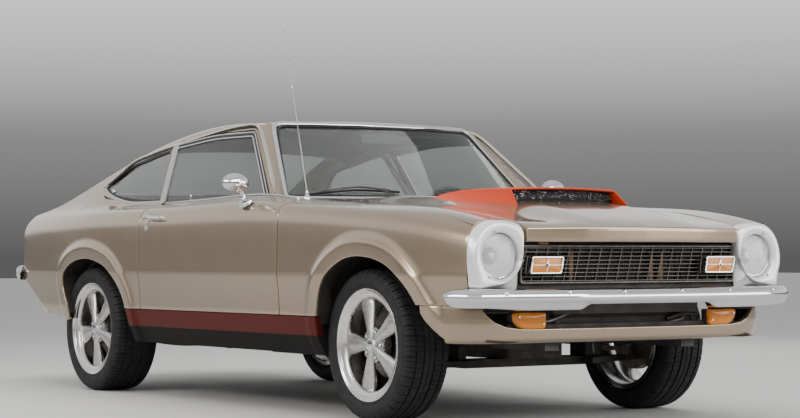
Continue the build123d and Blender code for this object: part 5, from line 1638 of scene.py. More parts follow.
def make_grille_lamp(sg):
    lens, frame_ = Shape(), Shape()
    cx, cz = sg * 456.0, 657.0
    w, h = 150.0, 62.0
    big = lens_loop(cx, cz, w + 8, h + 8, LEAN, 10)
    mid = lens_loop(cx, cz, w - 6, h - 6, LEAN, 6)
    # coloured lens, slightly domed
    c = np.array([cx, cz])
    rows = []
    for k in (1.0, 0.8, 0.6, 0.4, 0.2):
        q = c + (mid - c) * k
        rows.append(np.c_[q[:, 0], np.full(len(q), -794 - 3.0 * (1 - k * k)), q[:, 1]])
    back = np.c_[mid[:, 0], np.full(len(mid), -782.0), mid[:, 1]]
    lens.grid(np.array([back] + rows), wrap_j=True)
    lens.cap(rows[-1], centre=(cx, -797.0, cz))
    lens.cap(back)
    # frame, cross and centre diamond
    ring_between(frame_, big, mid, -800, -784, 0)
    zc = cz
    box_bar(frame_, (cx - w / 2 + 2, -797.2, zc), (cx + w / 2 - 2, -797.2, zc), 4.2, 5.5, 0, 1.2)
    d = LEAN / 2
    box_bar(frame_, (cx - d, -797.2, cz - h / 2 + 2), (cx + d, -797.2, cz + h / 2 - 2), 4.2, 5.5, 0, 1.2)
    dia = np.array([(0, -19), (4.5, -8), (12, 0), (4.5, 8), (0, 19), (-4.5, 8), (-12, 0), (-4.5, -8)], float)
    slab(frame_, dia + (cx, cz), ((0, 0, 0), (1, 0, 0), (0, 0, 1), (0, -1, 0)), 796, 801, 1.2, 0)
    slab(frame_, dia * 0.45 + (cx, cz), ((0, 0, 0), (1, 0, 0), (0, 0, 1), (0, -1, 0)), 800.5, 802.0, 0.5, 1)
    # housing: a deeper box behind, larger than the lens
    h1 = lens_loop(cx, cz, w + 20, h + 18, LEAN, 14)
    h0 = lens_loop(cx, cz, w - 2, h - 2, LEAN, 8)
    rows = [np.c_[h1[:, 0], np.full(len(h1), -744.0), h1[:, 1]],
            np.c_[h1[:, 0], np.full(len(h1), -771.0), h1[:, 1]],
            np.c_[h1[:, 0] * 0.97 + cx * 0.03, np.full(len(h1), -773.5), h1[:, 1] * 0.97 + cz * 0.03],
            np.c_[h1[:, 0] * 0.94 + cx * 0.06, np.full(len(h1), -772.0), h1[:, 1] * 0.94 + cz * 0.06],
            np.c_[h1[:, 0] * 0.93 + cx * 0.07, np.full(len(h1), -760.0), h1[:, 1] * 0.93 + cz * 0.07],
            np.c_[h0[:, 0], np.full(len(h0), -762.0), h0[:, 1]],
            np.c_[h0[:, 0], np.full(len(h0), -786.0), h0[:, 1]]]
    frame_.grid(np.array(rows[:4]), 2, wrap_j=True)
    frame_.grid(np.array(rows[3:]), 1, wrap_j=True)
    return lens, frame_


PARK = ((428, 468), (574, 470), (590, 466), (594, 456), (588, 434), (566, 412), (536, 403), (440, 402), (430, 408))


def make_park(sg):
    s, f = Shape(), Shape()
    L = soft_loop(PARK, 9, 5, 3) * np.array([sg, 1.0])
    c = np.array([sg * 506.0, 438.0])

    def curve_v(q):
        return 0.0009 * (np.abs(q[:, 0]) - 428) ** 2 * 1.0
    rows = [np.c_[L[:, 0], -733.0 + 0 * L[:, 0], L[:, 1]]]
    for k, dv in ((1.0, 0), (0.985, -5), (0.95, -9), (0.85, -12), (0.6, -13.5), (0.3, -14)):
        q = c + (L - c) * k
        rows.append(np.c_[q[:, 0], -748.0 + dv + curve_v(q) * 0.5, q[:, 1]])
    s.grid(np.array(rows), wrap_j=True)
    s.cap(rows[-1])
    s.cap(rows[0])
    b = c + (L - c) * 1.035
    rows = [np.c_[b[:, 0], np.full(len(b), v), b[:, 1]] for v in (-712.0, -741.0, -743.5)]
    rows.append(np.c_[L[:, 0], np.full(len(L), -744.0), L[:, 1]])
    f.grid(np.array(rows), 1, wrap_j=True)
    f.cap(rows[0], 1)
    # upper reflex strip under the bumper
    box_bar(s, (sg * 430, -752, 480), (sg * 580, -748, 480), 8, 10, 0, 2.5)
    for q in ((sg * 446, 424), (sg * 566, 452)):
        lathe(f, [(-758, 0.1), (-762.8, 0.5), (-763, 3), (-762, 4), (-758, 4.2)], (q[0], 0, q[1]), "y", 14, 0)
    return s, f


lens, frames = Shape(), Shape()
for sg in (1, -1):
    a, b = make_grille_lamp(sg)
    lens.join(a)
    frames.join(b)
    a, b = make_park(sg)
    lens.join(a)
    frames.join(b)
build(lens, "amber_lenses", AMBER, "chassis", ("amber_lamps",))
build(frames, "lamp_frames", [CHROME, UNDER, GRILLE_MAT], "chassis")

# ---------------------------------------------------------------- front bumper
def arc3(p0, p1, p2, n):
    """Arc through three plan points, n points."""
    a, b, c = [complex(*p) for p in (p0, p1, p2)]
    w = (c - a) / (b - a)
    ctr = (b - a) * (w - abs(w) ** 2) / (2j * w.imag) + a
    r = abs(a - ctr)
    t0, t1, t2 = [math.atan2((q - ctr).imag, (q - ctr).real) for q in (a, b, c)]
    def fix(t, ref):
        while t - ref > math.pi:
            t -= 2 * math.pi
        while ref - t > math.pi:
            t += 2 * math.pi
        return t
    t1 = fix(t1, t0)
    t2 = fix(t2, t1)
    t = np.linspace(t0, t2, n)
    return np.c_[ctr.real + r * np.cos(t), ctr.imag + r * np.sin(t)]


def plan_path(points, n):
    """Smooth symmetric plan line from its right half-points (centre first)."""
    half = np.array(points, float)
    full = np.vstack([half[::-1] * np.array([-1, 1]), half[1:]])
    return smooth_through(full, n)


def make_front_bumper():
    s = Shape()
    path = plan_path(((0, -893), (250, -890), (500, -874), (650, -853), (740, -834), (806, -806), (850, -766),
                      (876, -722), (884, -693)), 181)
    T = unit(np.gradient(path, axis=0))
    N = np.stack([T[:, 1], -T[:, 0]], -1)
    mid = len(path) // 2
    if N[mid, 1] > 0:
        N = -N
    d = np.r_[0, np.cumsum(np.linalg.norm(np.diff(path, axis=0), axis=1))]
    end = np.minimum(d, d[-1] - d)
    rows = []
    for k in range(len(path)):
        x = abs(path[k, 0])
        w = smoothstep((x - 300) / 60.0)
        low = 502 * (1 - w) + (480 + 10 * smoothstep((x - 560) / 260)) * w
        # ends taper to a rounded point
        e = math.sqrt(max(0.0, 1 - (1 - min(1.0, end[k] / 70.0)) ** 2))
        top = 566.0
        zc = 534.0 + 6 * (1 - min(1.0, end[k] / 160.0))
        # out (along N), z
        sec = np.array([(-38, top - 2), (-36, top), (-30, top + 0.5), (-8, top - 2.0), (2, top - 4.5), (9, top - 10),
                        (15, top - 19), (18.5, top - 29), (19, 530), (18, 522), (14, 514), (8.5, 506), (4, low + 7),
                        (1, low + 2), (-3, low), (-7, low + 1), (-7, low + 4), (-2, low + 7), (3, 508), (10, 520),
                        (13, 532), (11, top - 26), (4, top - 13), (-8, top - 7), (-30, top - 4), (-36, top - 4)], float)
        sec[:, 1] = zc + (sec[:, 1] - zc) * (0.06 + 0.94 * e)
        sec[:, 0] = sec[:, 0] * (0.25 + 0.75 * e)
        rows.append(np.c_[path[k, 0] + N[k, 0] * sec[:, 0], path[k, 1] + N[k, 1] * sec[:, 0], sec[:, 1]])
    R = np.array(rows)
    s.grid(R, 0, wrap_j=True)
    s.cap(R[0], 0)
    s.cap(R[-1], 0)
    # brackets
    for sg in (1, -1):
        sweep(s, np.array([(sg * 420, -880, 521), (sg * 420, -820, 521), (sg * 415, -744, 521)]), round_rect(44, 9, 2), (0, 0, 1), 1)
        for x in (150, 420, 700):
            v = float(np.interp(x, path[mid:, 0], path[mid:, 1]))
            lathe(s, [(v - 21.5, 0.1), (v - 22.5, 4), (v - 21, 8.0), (v - 17, 9.5), (v - 12, 9.5)], (sg * x, 0, 549 if x < 700 else 546), "y", 24, 0)
    return s


build(make_front_bumper(), "front_bumper_chrome", [CHROME, UNDER], "chassis", ("front_bumper",), sharp=32)

# ---------------------------------------------------------------- front valance
VAL_PLAN = ((0, -775), (220, -772), (440, -762), (600, -751), (680, -734), (742, -704), (784, -664), (808, -628),
            (820, -596))


def val_open(x):
    """Height of the opening's lower edge at |x|, above the bar it is open to the bumper."""
    a = np.abs(x)
    return np.interp(a, [0, 480, 560, 621, 669, 701, 716, 722], [399, 399, 401, 409, 428, 455, 478, 494])


def make_valance():
    s = Shape()
    path = plan_path(VAL_PLAN, 201)
    T = unit(np.gradient(path, axis=0))
    N = np.stack([T[:, 1], -T[:, 0]], -1)
    if N[len(path) // 2, 1] > 0:
        N = -N
    # behind the corner the panel follows the fender's lower side back to the opening
    back_v = np.linspace(-596, -440, 24)[1:]

    def row(px, pv, nx, nv, top, v_side=None):
        """One upright section from the top down and under."""
        zs = np.linspace(top, 366, 15)
        out = -1.5 * ((zs - 430) / 60.0) ** 2 - 0.12 * np.maximum(0, 420 - zs)
        pts = [(px + nx * o, pv + nv * o, z) for o, z in zip(out, zs)]
        o1 = out[-1]
        for a in np.linspace(0, math.pi / 2, 7)[1:]:
            o = o1 - 20 * (1 - math.cos(a)) - 3 * math.sin(a)
            pts.append((px + nx * o, pv + nv * o, 366 - 20 * math.sin(a)))
        for e in (18, 42):
            pts.append((px + nx * (o - e), pv + nv * (o - e), 346 + 3 * (e / 42)))
        return pts
    A = []
    for k in range(len(path)):
        x = path[k, 0]
        top = float(val_open(x)) if abs(x) < 722 else 494.0
        A.append(row(path[k, 0], path[k, 1], N[k, 0], N[k, 1], top))
    A = np.array(A)
    s.grid(A)
    # the opening's edge is turned in
    idx = [k for k in range(len(path)) if abs(path[k, 0]) < 721]
    E, I = A[idx, 0], A[idx, 1]
    hem(s, E, I, np.c_[N[idx], np.zeros(len(idx))], 4.0, 22.0)
    for sel, sg in ((range(0, idx[0] + 1), -1), (range(idx[-1], len(path)), 1)):
        sel = list(sel)
        hem(s, A[sel, 0], A[sel, 1], np.c_[N[sel], np.zeros(len(sel))], 3.0, 18.0)
    # sides, from the corner back to the wheel opening
    for sg in (1, -1):
        af = ARCH_F[::-1]
        rows = []
        vs = np.linspace(-596, -476, 26)
        za = np.interp(vs, af[:, 0], af[:, 1])
        for v, z0 in zip(vs, za):
            top = 494.0
            bot = float(np.interp(v, [-640, -596, -560, -540], [346, 366, 384, 398]))
            bot = max(bot, z0)
            w = smoothstep((v + 596) / 60.0)
            zs = np.linspace(top, bot, 18)
            base = 820.0 - 1.5 * ((zs - 430) / 60.0) ** 2 - 0.12 * np.maximum(0, 420 - zs)
            x = base * (1 - w) + (flank(np.full(18, v), zs) - 0.5) * w
            rows.append(np.c_[sg * x, np.full(18, v), zs])
        R = np.array(rows)
        s.grid(R)
        hem(s, R[:, 0], R[:, 1], (sg, 0, 0), 3.0, 18.0)
        hem(s, R[:, -1], R[:, -2], (sg, 0, 0), 4.0, 26.0)
    return s


build(make_valance(), "front_valance_skin", PAINT, "chassis", ("front_valance",))

# dark splash pan and crossmember seen through the lower opening
s = Shape()
rows = []
for v, z in ((-742, 352), (-700, 356), (-660, 380), (-640, 392)):
    x = np.linspace(-700, 700, 41)
    rows.append(np.c_[x, np.full(41, v), np.full(41, z) + 4 * np.cos(x / 40.0)])
s.grid(np.array(rows), 0)
box_bar(s, (-600, -706, 408), (600, -706, 408), 26, 40, 0, 5)
pipe(s, smooth_through([(-520, -700, 452), (-420, -716, 430), (-330, -704, 446), (-260, -700, 470)], 30), 9, 12, 1)
pipe(s, smooth_through([(240, -705, 430), (330, -712, 452), (420, -702, 440)], 30), 8, 12, 0)
pipe(s, smooth_through([(-300, -712, 402), (-220, -716, 412), (-100, -716, 414), (220, -714, 414), (320, -708, 430)], 50), 6, 10, 1)
for sg in (1, -1):
    box_bar(s, (sg * 334, -700, 400), (sg * 334, -700, 700), 26, 8, 0, 2)
    box_bar(s, (sg * 600, -716, 470), (sg * 700, -690, 470), 6, 60, 0, 2)
build(s, "lower_front_details", [UNDER, STEEL], "chassis")
# radiator with fins and tanks
s = Shape()
for sg in (0,):
    n = 110
    x = np.linspace(-300, 300, n)
    zig = np.where(np.arange(n) % 2 == 0, 0.0, 5.0)
    P = np.array([np.c_[x, -692 + zig, np.full(n, z)] for z in np.linspace(446, 776, 12)])
    s.grid(P, 0)
slab(s, soft_loop([(-318, 776), (318, 776), (300, 824), (-300, 824)], 16, 5), ((0, 0, 0), (1, 0, 0), (0, 0, 1), (0, -1, 0)), 632, 694, 5, 1)
slab(s, soft_loop([(-318, 398), (318, 398), (318, 446), (-318, 446)], 14, 5), ((0, 0, 0), (1, 0, 0), (0, 0, 1), (0, -1, 0)), 632, 694, 5, 1)
for sg in (1, -1):
    slab(s, soft_loop([(sg * 300, 440), (sg * 319, 440), (sg * 319, 782), (sg * 300, 782)], 3, 3), ((0, 0, 0), (1, 0, 0), (0, 0, 1), (0, -1, 0)), 632, 696, 2, 1)
slab(s, soft_loop([(-300, 446), (300, 446), (300, 776), (-300, 776)], 3, 3), ((0, 0, 0), (1, 0, 0), (0, 0, 1), (0, -1, 0)), 636, 684, 2, 0)
lathe(s, [(822, 16), (838, 16), (838, 24), (846, 24), (848, 20), (848, 0.1)], (-180, -664, 0), "z", 28, 1)
build(s, "radiator_core_and_tanks", [CORE, UNDER], "chassis", ("radiator",))

# ---------------------------------------------------------------- wheels
def wheel_parts(lip, width, first_deg):
    """Left-side wheel about its own axis: x measured from the lip outward, then shifted. Returns shape at v 0, z 0."""
    s = Shape()
    W = width - 7.0
    prof = [(0.0, 236.8), (-1.2, 238.0), (-4.0, 238.6), (-8.0, 238.0), (-10.0, 235.0)]
    # face of the rim, from the outer lip inwards: stepped dish
    face = [(-9.5, 224.0), (-7.0, 229.0), (-2.2, 233.8), (0.0, 236.0)]
    face = [(0.0, 236.5), (-0.6, 233.6), (-3.6, 230.4), (-6.2, 226.2), (-7.2, 222.4), (-9.6, 220.6), (-10.6, 217.6),
            (-11.2, 213.0), (-12.4, 207.4), (-14.6, 202.4), (-17.0, 198.2), (-20.5, 195.6), (-26.0, 194.4)]
    barrel = [(-40, 193.6), (-60, 193.0), (-90, 191.5), (-130, 191.5), (-150, 194), (-164, 204), (-174, 208),
              (-W + 12, 210), (-W + 8, 218), (-W + 6, 230), (-W + 2, 235), (-W, 236)]
    back = [(-W - 2, 237.5), (-W + 1, 238.6), (-W + 6, 238), (-W + 8, 234)]
    bead = [(-W + 12, 222), (-W + 40, 220), (-165, 216), (-150, 203), (-62, 203), (-46, 214), (-14, 222), (-11, 230),
            (-9.0, 238.2), (-4.0, 238.8), (-1.0, 238.2)]
    lathe(s, face + barrel + back + bead, (0, 0, 0), "x", 120, 0, closed=True)
    # five spokes
    rr = np.array([24, 34, 46, 62, 84, 110, 136, 160, 178, 190, 198, 204], float)
    ww = np.array([30, 36, 41, 47, 56, 68, 80, 89, 93, 91, 84, 70], float)
    tt = np.array([26, 29, 30, 31, 33, 35, 37, 38, 39, 40, 40, 36], float)
    # depth of the outer surface
    dd = np.array([20, 19.5, 19.5, 20.5, 22.5, 25, 27, 28.5, 29, 29.5, 31, 36], float)
    S = Spline(np.c_[rr, ww, tt, dd])
    R = np.r_[np.linspace(24, 178, 20), np.linspace(184, 204, 6)]
    q = S(R)
    m = 32
    a = np.linspace(0, 2 * np.pi, m, endpoint=False)
    ex = 2.25
    ca = np.sign(np.cos(a)) * np.abs(np.cos(a)) ** (2 / ex)
    sa = np.sign(np.sin(a)) * np.abs(np.sin(a)) ** (2 / ex)
    for k in range(5):
        th = math.radians(first_deg + 72 * k)
        e = np.array([0, math.cos(th), math.sin(th)])
        f = np.array([0, -math.sin(th), math.cos(th)])
        rows = []
        for r, (w, t, d) in zip(R, q):
            c = np.array([-(d + t / 2), 0, 0]) + e * r
            rows.append(c + ca[:, None] * f * w / 2 + sa[:, None] * np.array([1.0, 0, 0]) * t / 2)
        G = np.array(rows)
        s.grid(G, 1, wrap_j=True)
        s.cap(G[-1], 1)
        # raised collar where the spoke meets the rim
        rim = []
        for r, grow in ((193.5, 1.0), (194.5, 3.4), (197.5, 4.6), (201.0, 5.2)):
            w, t, d = S(r)
            c = np.array([-(d + t / 2), 0, 0]) + e * r
            rim.append(c + ca[:, None] * f * (w / 2 + grow) + sa[:, None] * np.array([1.0, 0, 0]) * (t / 2 + grow))
        s.grid(np.array(rim), 1, wrap_j=True)
    # hub disc, lug bosses, lugs and cap
    lathe(s, [(-36, 0.1), (-36, 52), (-37.5, 66), (-42, 74), (-60, 78), (-74, 78), (-76, 70), (-76, 0.1)], (0, 0, 0), "x", 80, 1)
    for k in range(5):
        th = math.radians(first_deg + 36 + 72 * k)
        c = (0, 57 * math.cos(th), 57 * math.sin(th))
        lathe(s, [(-60, 22), (-34.5, 20.5), (-32.6, 19.6), (-32.0, 17.6), (-32.2, 14.4), (-38, 13.2), (-50, 12.8), (-50, 0.1)], c, "x", 28, 1)
        hexo = [(-50, 9.6), (-30.0, 9.6), (-27.5, 8.8), (-26.0, 6.8), (-25.4, 3.6), (-25.2, 0.1)]
        lathe(s, hexo, c, "x", 6, 2, a0=th)
        lathe(s, [(-38.5, 12.6), (-36.6, 12.2), (-36.0, 10.6), (-36.2, 8.5)], c, "x", 28, 2)
    cap = [(-46, 36.5), (-30, 35.8), (-24, 34.6), (-20.5, 33.2), (-19.2, 31.4), (-19.6, 29.6), (-20.6, 28.8), (-19.6, 28.0),
           (-16.2, 27.4), (-14.2, 26.2), (-13.2, 24.0), (-13.3, 21.8), (-14.0, 20.6), (-13.5, 15.0), (-12.9, 8.0), (-12.7, 0.1)]
    lathe(s, cap, (0, 0, 0), "x", 64, 2)
    # brake disc with hat
    lathe(s, [(-92, 0.1), (-92, 76), (-110, 80), (-112, 142), (-115, 144), (-131, 144), (-134, 142), (-134, 60), (-134, 0.1)],
          (0, 0, 0), "x", 80, 3)
    # valve stem
    th = math.radians(first_deg + 36)
    p0 = np.array([-30.0, 190 * math.cos(th), 190 * math.sin(th)])
    p1 = np.array([-16.0, 178 * math.cos(th), 178 * math.sin(th)])
    pipe(s, np.array([p0, (p0 + p1) / 2 + (1.5, 0, 0), p1]), 3.6, 10, 4)
    return s


def tyre_shape(width, flip=1):
    """Tyre about its own axis, outer bulge at x 0 and the inner at -width."""
    s = Shape()
    c = width / 2
    half = [
        # distance from the outer face, radius, tag: 0 sidewall, 1 shoulder block, 2 groove, 3 rib
        (12.0, 233.5, 0), (10.6, 237.5, 0), (8.0, 240.0, 0), (6.0, 243.5, 0), (5.6, 247.0, 0), (7.4, 248.6, 0), (5.0, 251.0, 0),
        (2.6, 258.0, 0), (2.2, 259.4, 0), (1.4, 259.8, 0), (0.8, 266.0, 0), (0.1, 274.0, 0), (0.2, 281.0, 0), (1.2, 288.5, 0),
        (1.4, 289.6, 0), (2.6, 290.0, 0), (3.8, 295.0, 0), (5.0, 299.0, 4), (6.2, 302.4, 1), (9.6, 307.6, 1), (14.6, 312.4, 1),
        (21.0, 316.2, 1), (29.0, 318.8, 1), (c - 70.0, 320.4, 1), (c - 69.2, 314.0, 2), (c - 61.8, 314.0, 2), (c - 61.0, 320.9, 3),
        (c - 46.0, 321.4, 3), (c - 31.0, 321.7, 3), (c - 30.2, 314.2, 2), (c - 22.0, 314.2, 2), (c - 21.2, 321.9, 3),
        (c - 8.0, 322.0, 3), (c - 2.6, 322.0, 3), (c - 2.0, 318.5, 2),
    ]
    pts = half + [(width - d, r, t) for d, r, t in reversed(half)]
    d = np.array([p[0] for p in pts])
    r = np.array([p[1] for p in pts])
    tag = np.array([p[2] for p in pts])
    pitches = 46
    u = np.array([0.0, 0.055, 0.085, 0.19, 0.22, 0.52, 0.545, 0.575, 0.60])
    U = (np.arange(pitches)[:, None] + u[None]).ravel() / pitches
    loc = np.tile(np.arange(len(u)), pitches)
    A = 2 * np.pi * U
    n = len(A)
    G = np.zeros((len(pts), n, 3))
    skew = np.where((tag == 3) | (tag == 2), (d - c) / c * 0.055, np.sign(d - c) * 0.62 * 0.055)
    skew = np.where(tag == 0, np.sign(d - c) * 0.62 * 0.055, skew) * flip
    for i in range(len(pts)):
        rad = np.full(n, r[i])
        dist = np.full(n, d[i])
        if tag[i] == 1:
            rad = rad - np.where((loc == 2) | (loc == 3), 6.2, 0.0)
            if r[i] > 306:
                rad = rad - np.where((loc == 6) | (loc == 7), 2.6, 0.0)
        elif tag[i] == 3:
            wide = abs(d[i] - c) > 30
            if wide:
                rad = rad - np.where((loc == 2) | (loc == 3), 4.4, 0.0)
            rad = rad - np.where((loc == 6) | (loc == 7), 2.4, 0.0)
        elif tag[i] == 4:
            rad = rad - np.where((loc == 2) | (loc == 3), 0.8, 0.0)
        a = A + skew[i]
        G[i, :, 0] = -dist
        G[i, :, 1] = rad * np.cos(a)
        G[i, :, 2] = rad * np.sin(a)
    s.grid(G, 0, wrap_j=True)
    # inside of the casing
    sides = 68 * 3
    lathe(s, [(-12.0, 233.5), (-16, 232), (-20, 240), (-12, 266), (-14, 296), (-30, 306), (-width + 30, 306), (-width + 14, 296),
              (-width + 12, 266), (-width + 20, 240), (-width + 16, 232), (-width + 12, 233.5)], (0, 0, 0), "x", 68, 0)
    return s


ROTOR = plain("brake_disc_iron", (0.14, 0.13, 0.125), (0.09, 0.08, 0.075), 0.35, 0.55, 40.0, metallic=0.9, bump=0.1,
              bump_scale=300)
TYRE_FACE = 10.0
for axle, station, lip, width, first_r, first_l in (("front", 0.0, 796.0, 225.0, 0.0, 36.0), ("rear", WHEELBASE, 827.0, 245.0, 60.0, 12.0)):
    for side_name, sgn, first in (("left", 1, first_l), ("right", -1, first_r)):
        w = wheel_parts(lip, width, first)
        t = tyre_shape(width, 1)
        # a slight flat where the tyre carries the car would break its spin, so it stays round
        body = "wheel_%s_%s" % (axle, side_name)
        ws = Shape().join(w, shift=(lip, station, HUB_Z))
        ts = Shape().join(t, shift=(lip + TYRE_FACE, station, HUB_Z))
        if sgn < 0:
            ws, ts = ws.mirrored(), ts.mirrored()
        build(ws, "%s_rim" % body, [WHEEL, SPOKE, CHROME, ROTOR, SEAL], body, (body,), sharp=32)
        build(ts, "tyre_%s_%s_tread" % (axle, side_name), RUBBER, body, ("tyre_%s_%s" % (axle, side_name),), sharp=30)

# ---------------------------------------------------------------- windshield, pillars and mouldings
def shield(x, z):
    """Windshield surface at x, height z."""
    x, z = np.asarray(x, float), np.asarray(z, float)
    t = (z - 966.0) / 352.0
    xw = 683.0 - 131.0 * t
    vc = 852.0 + 334.0 * t
    vm = 696.0 + 374.0 * t
    return np.stack([x, vm + (vc - vm) * (x / xw) ** 2, z], -1)


def shield_normal(x, z):
    e = 2.0
    a = shield(x + e, z) - shield(x - e, z)
    b = shield(x, z + e) - shield(x, z - e)
    n = unit(np.cross(a, b))
    return n * np.where(n[..., 1:2] > 0, -1.0, 1.0)


def half_width(z):
    return 683.0 - 131.0 * (z - 966.0) / 352.0


def make_windshield():
    s = Shape()
    zs = np.linspace(964, 1320, 22)
    G = np.array([shield(np.linspace(-1, 1, 61) * (half_width(z) + 2), np.full(61, z)) for z in zs])
    N = np.array([shield_normal(np.linspace(-1, 1, 61) * (half_width(z) + 2), np.full(61, z)) for z in zs])
    a, b = G - N * 1.0, G - N * 6.0
    s.grid(a)
    s.grid(b[::-1])
    for q in (0, -1):
        s.grid(np.array([a[q], b[q]]))
        s.grid(np.array([a[:, q], b[:, q]]))
    return s


build(make_windshield(), "windshield_glass", GLASS, "chassis", ("windshield",))


def shield_loop(grow, r_top=46, r_low=30, n=200):
    """Loop just outside the glass, as (x, z)."""
    z0, z1 = 966.0 - grow, 1318.0 + grow
    w0, w1 = half_width(966.0) + grow, half_width(1318.0) + grow
    L = soft_loop([(-w0, z0), (w0, z0), (w1, z1), (-w1, z1)], [r_low, r_low, r_top, r_top], 14, 34)
    return L


def shield_trim(s, grow, width, height, mat, lift=1.5):
    L = shield_loop(grow)
    P = shield(L[:, 0], L[:, 1])
    N = shield_normal(L[:, 0], L[:, 1])
    h, w = height, width
    sec = np.array([(-w / 2, -3), (-w / 2, h * 0.30), (-w * 0.40, h * 0.72), (-w * 0.22, h * 0.96), (w * 0.05, h), (w * 0.30, h * 0.80),
                    (w * 0.44, h * 0.45), (w / 2, 0), (w / 2, -3)], float)
    sweep(s, P + N * lift, sec, N, mat, closed=True)


s = Shape()
shield_trim(s, 7.0, 23.0, 7.0, 0)
L = shield_loop(-7.0, 40, 26)
pipe(s, shield(L[:, 0], L[:, 1]) + shield_normal(L[:, 0], L[:, 1]) * 0.5, 4.0, 6, 1, closed=True)
build(s, "windshield_mouldings", [CHROME, SEAL], "chassis", ("windshield_pillars",))


def pillar_section(t):
    """Plan outline of the pillar at t 0 (foot) to 1 (head)."""
    z = 944.0 + 372.0 * t
    xb = 765.0 - 0.4 * (z - 985.0) / 0.917
    vb = 846.0 + 1.181 * (z - 966.0)
    u = (z - 960.5) / 345.5
    front = np.array([742 + (611 - 742) * u, 806 + (1189 - 806) * u])
    glass = np.array([690 + (560 - 690) * u, 846 + (1182 - 846) * u])
    back = np.array([680 + (552 - 680) * u, 872 + (1204 - 872) * u])
    A = np.array([xb - 30, vb + 14])
    B = np.array([xb - 1.0, vb + 4.0])
    pts = soft_poly([A, B, front, glass, back], (6, 22, 5), (3, 6, 8, 3), (4, 8, 3))
    return np.c_[pts, np.full(len(pts), z)]


s = Shape()
rows = np.array([pillar_section(t) for t in np.linspace(0, 1, 26)])
s.grid(rows)
build(s.both(), "windshield_pillar_skins", PAINT, "chassis")

# body flange and seal round the door opening, behind the door frame
FRAME_TOP = ((866, 966), (1228, 1274), (1252, 1290), (1330, 1298), (1455, 1297), (1604, 1288), (1800, 1272), (1990, 1254), (2012, 1247), (1907, 950))
OPEN_LINE = smooth_through([(838, 960), (1030, 1123), (1206, 1277), (1236, 1298), (1330, 1309), (1470, 1308), (1640, 1296), (1830, 1279),
                            (2020, 1262), (2046, 1246), (1996, 1100), (1938, 955)], 150)


def opening_flange():
    s = Shape()
    L = OPEN_LINE
    c = np.array([1450.0, 1120.0])
    inward = unit(c - L)
    rows = []
    for off, h in ((-6, -9.0), (4, -11.0), (14, -14.0), (26, -15.0)):
        q = L + inward * off
        rows.append(on_glass(q[:, 0], q[:, 1], h))
    s.grid(np.array(rows), 0)
    q = L + inward * 24
    pipe(s, on_glass(q[:, 0], q[:, 1], -12.0), 6.0, 8, 1)
    return s


build(opening_flange().both(), "door_opening_flanges", [PAINT, SEAL], "chassis")

# drip rails
RAIL = smooth_through([(812, 985), (905, 1066), (1010, 1156), (1102, 1234), (1180, 1292), (1226, 1312), (1321, 1319), (1474, 1313),
                       (1673, 1295), (1985, 1262), (2204, 1240), (2400, 1213), (2495, 1197), (2570, 1167), (2660, 1110), (2756, 1063)], 200)


def side_point(v, z, off=0.0):
    """Point of the window band at (v, z): the leaning plane in front, the panel's own surface behind."""
    P = on_glass(v, z, off)
    B = SIDE(v)
    E = EDGE(np.clip(v, 1150, 3560))
    bx, bz, ex, ez = B[..., 3], B[..., 4], E[..., 0], E[..., 1]
    t = (z - bz) / (ez - bz)
    xs = bx + (ex - bx) * t
    w = smoothstep((v - 1240) / 260.0)
    P[..., 0] = P[..., 0] * (1 - w) + (xs + off * 0.93) * w
    return P


def make_drip_rail():
    s = Shape()
    v = RAIL[:, 0]
    end = np.minimum(np.arange(len(v)), np.arange(len(v))[::-1])
    sc = 0.25 + 0.75 * np.clip(end / 8.0, 0, 1)
    P = side_point(RAIL[:, 0], RAIL[:, 1], 3.0)
    sec = np.array([(-6, -8), (-6.5, 3), (-5.5, 6.6), (-2.5, 8.6), (1, 8.8), (4.5, 7.2), (6, 3.4), (6, -8)], float)
    sweep(s, P, sec, GLASS_N, 0, scale=sc)
    low = RAIL.copy()
    T = unit(np.gradient(low, axis=0))
    nrm = np.stack([-T[:, 1], T[:, 0]], -1)
    nrm = nrm * np.where(nrm[:, 1:2] > 0, 1, -1)
    q = RAIL - nrm * 9.0
    P = side_point(q[:, 0], q[:, 1], 0.5)
    sweep(s, P[6:-6], round_rect(6, 4, 1.5), GLASS_N, 1)
    return s


DRIP = paint("drip_rail_bright", (0.62, 0.56, 0.48), (0.50, 0.45, 0.38), metallic=0.9, rough=0.2, dust=0.0)
build(make_drip_rail().both(), "drip_rails", [DRIP, SEAL], "chassis")

# quarter windows: glass, gasket and bright frame
QFRONT = ((1950, 968), (2046, 1243))


def make_quarter_glass():
    s = Shape()
    rows_o, rows_i = [], []
    n = 40
    for u in np.linspace(0, 1, n):
        col_o, col_i = [], []
        for t in np.linspace(0, 1, 9):
            v0 = QFRONT[0][0] + (QFRONT[1][0] - QFRONT[0][0]) * t
            v = v0 + (2741 - v0) * u
            lo = float(WIN_LOW(v)[0]) - 4
            hi = float(WIN_TOP(v)[0]) + 3 if v > 2046 else float(WIN_TOP(2046)[0]) + (v - 2046) * 2.0
            hi = float(WIN_TOP(max(v, 1935))[0]) + 3
            z = lo + (hi - lo) * t
            p = side_point(np.array(v), np.array(z), -9.0)
            col_o.append(p)
            col_i.append(side_point(np.array(v), np.array(z), -14.0))
        rows_o.append(col_o)
        rows_i.append(col_i)
    a, b = np.array(rows_o), np.array(rows_i)
    s.grid(a)
    s.grid(b)
    for q in (0, -1):
        s.grid(np.array([a[q], b[q]]))
        s.grid(np.array([a[:, q], b[:, q]]))
    return s


build(make_quarter_glass().both(), "quarter_glass", GLASS, "chassis", ("quarter_windows",))

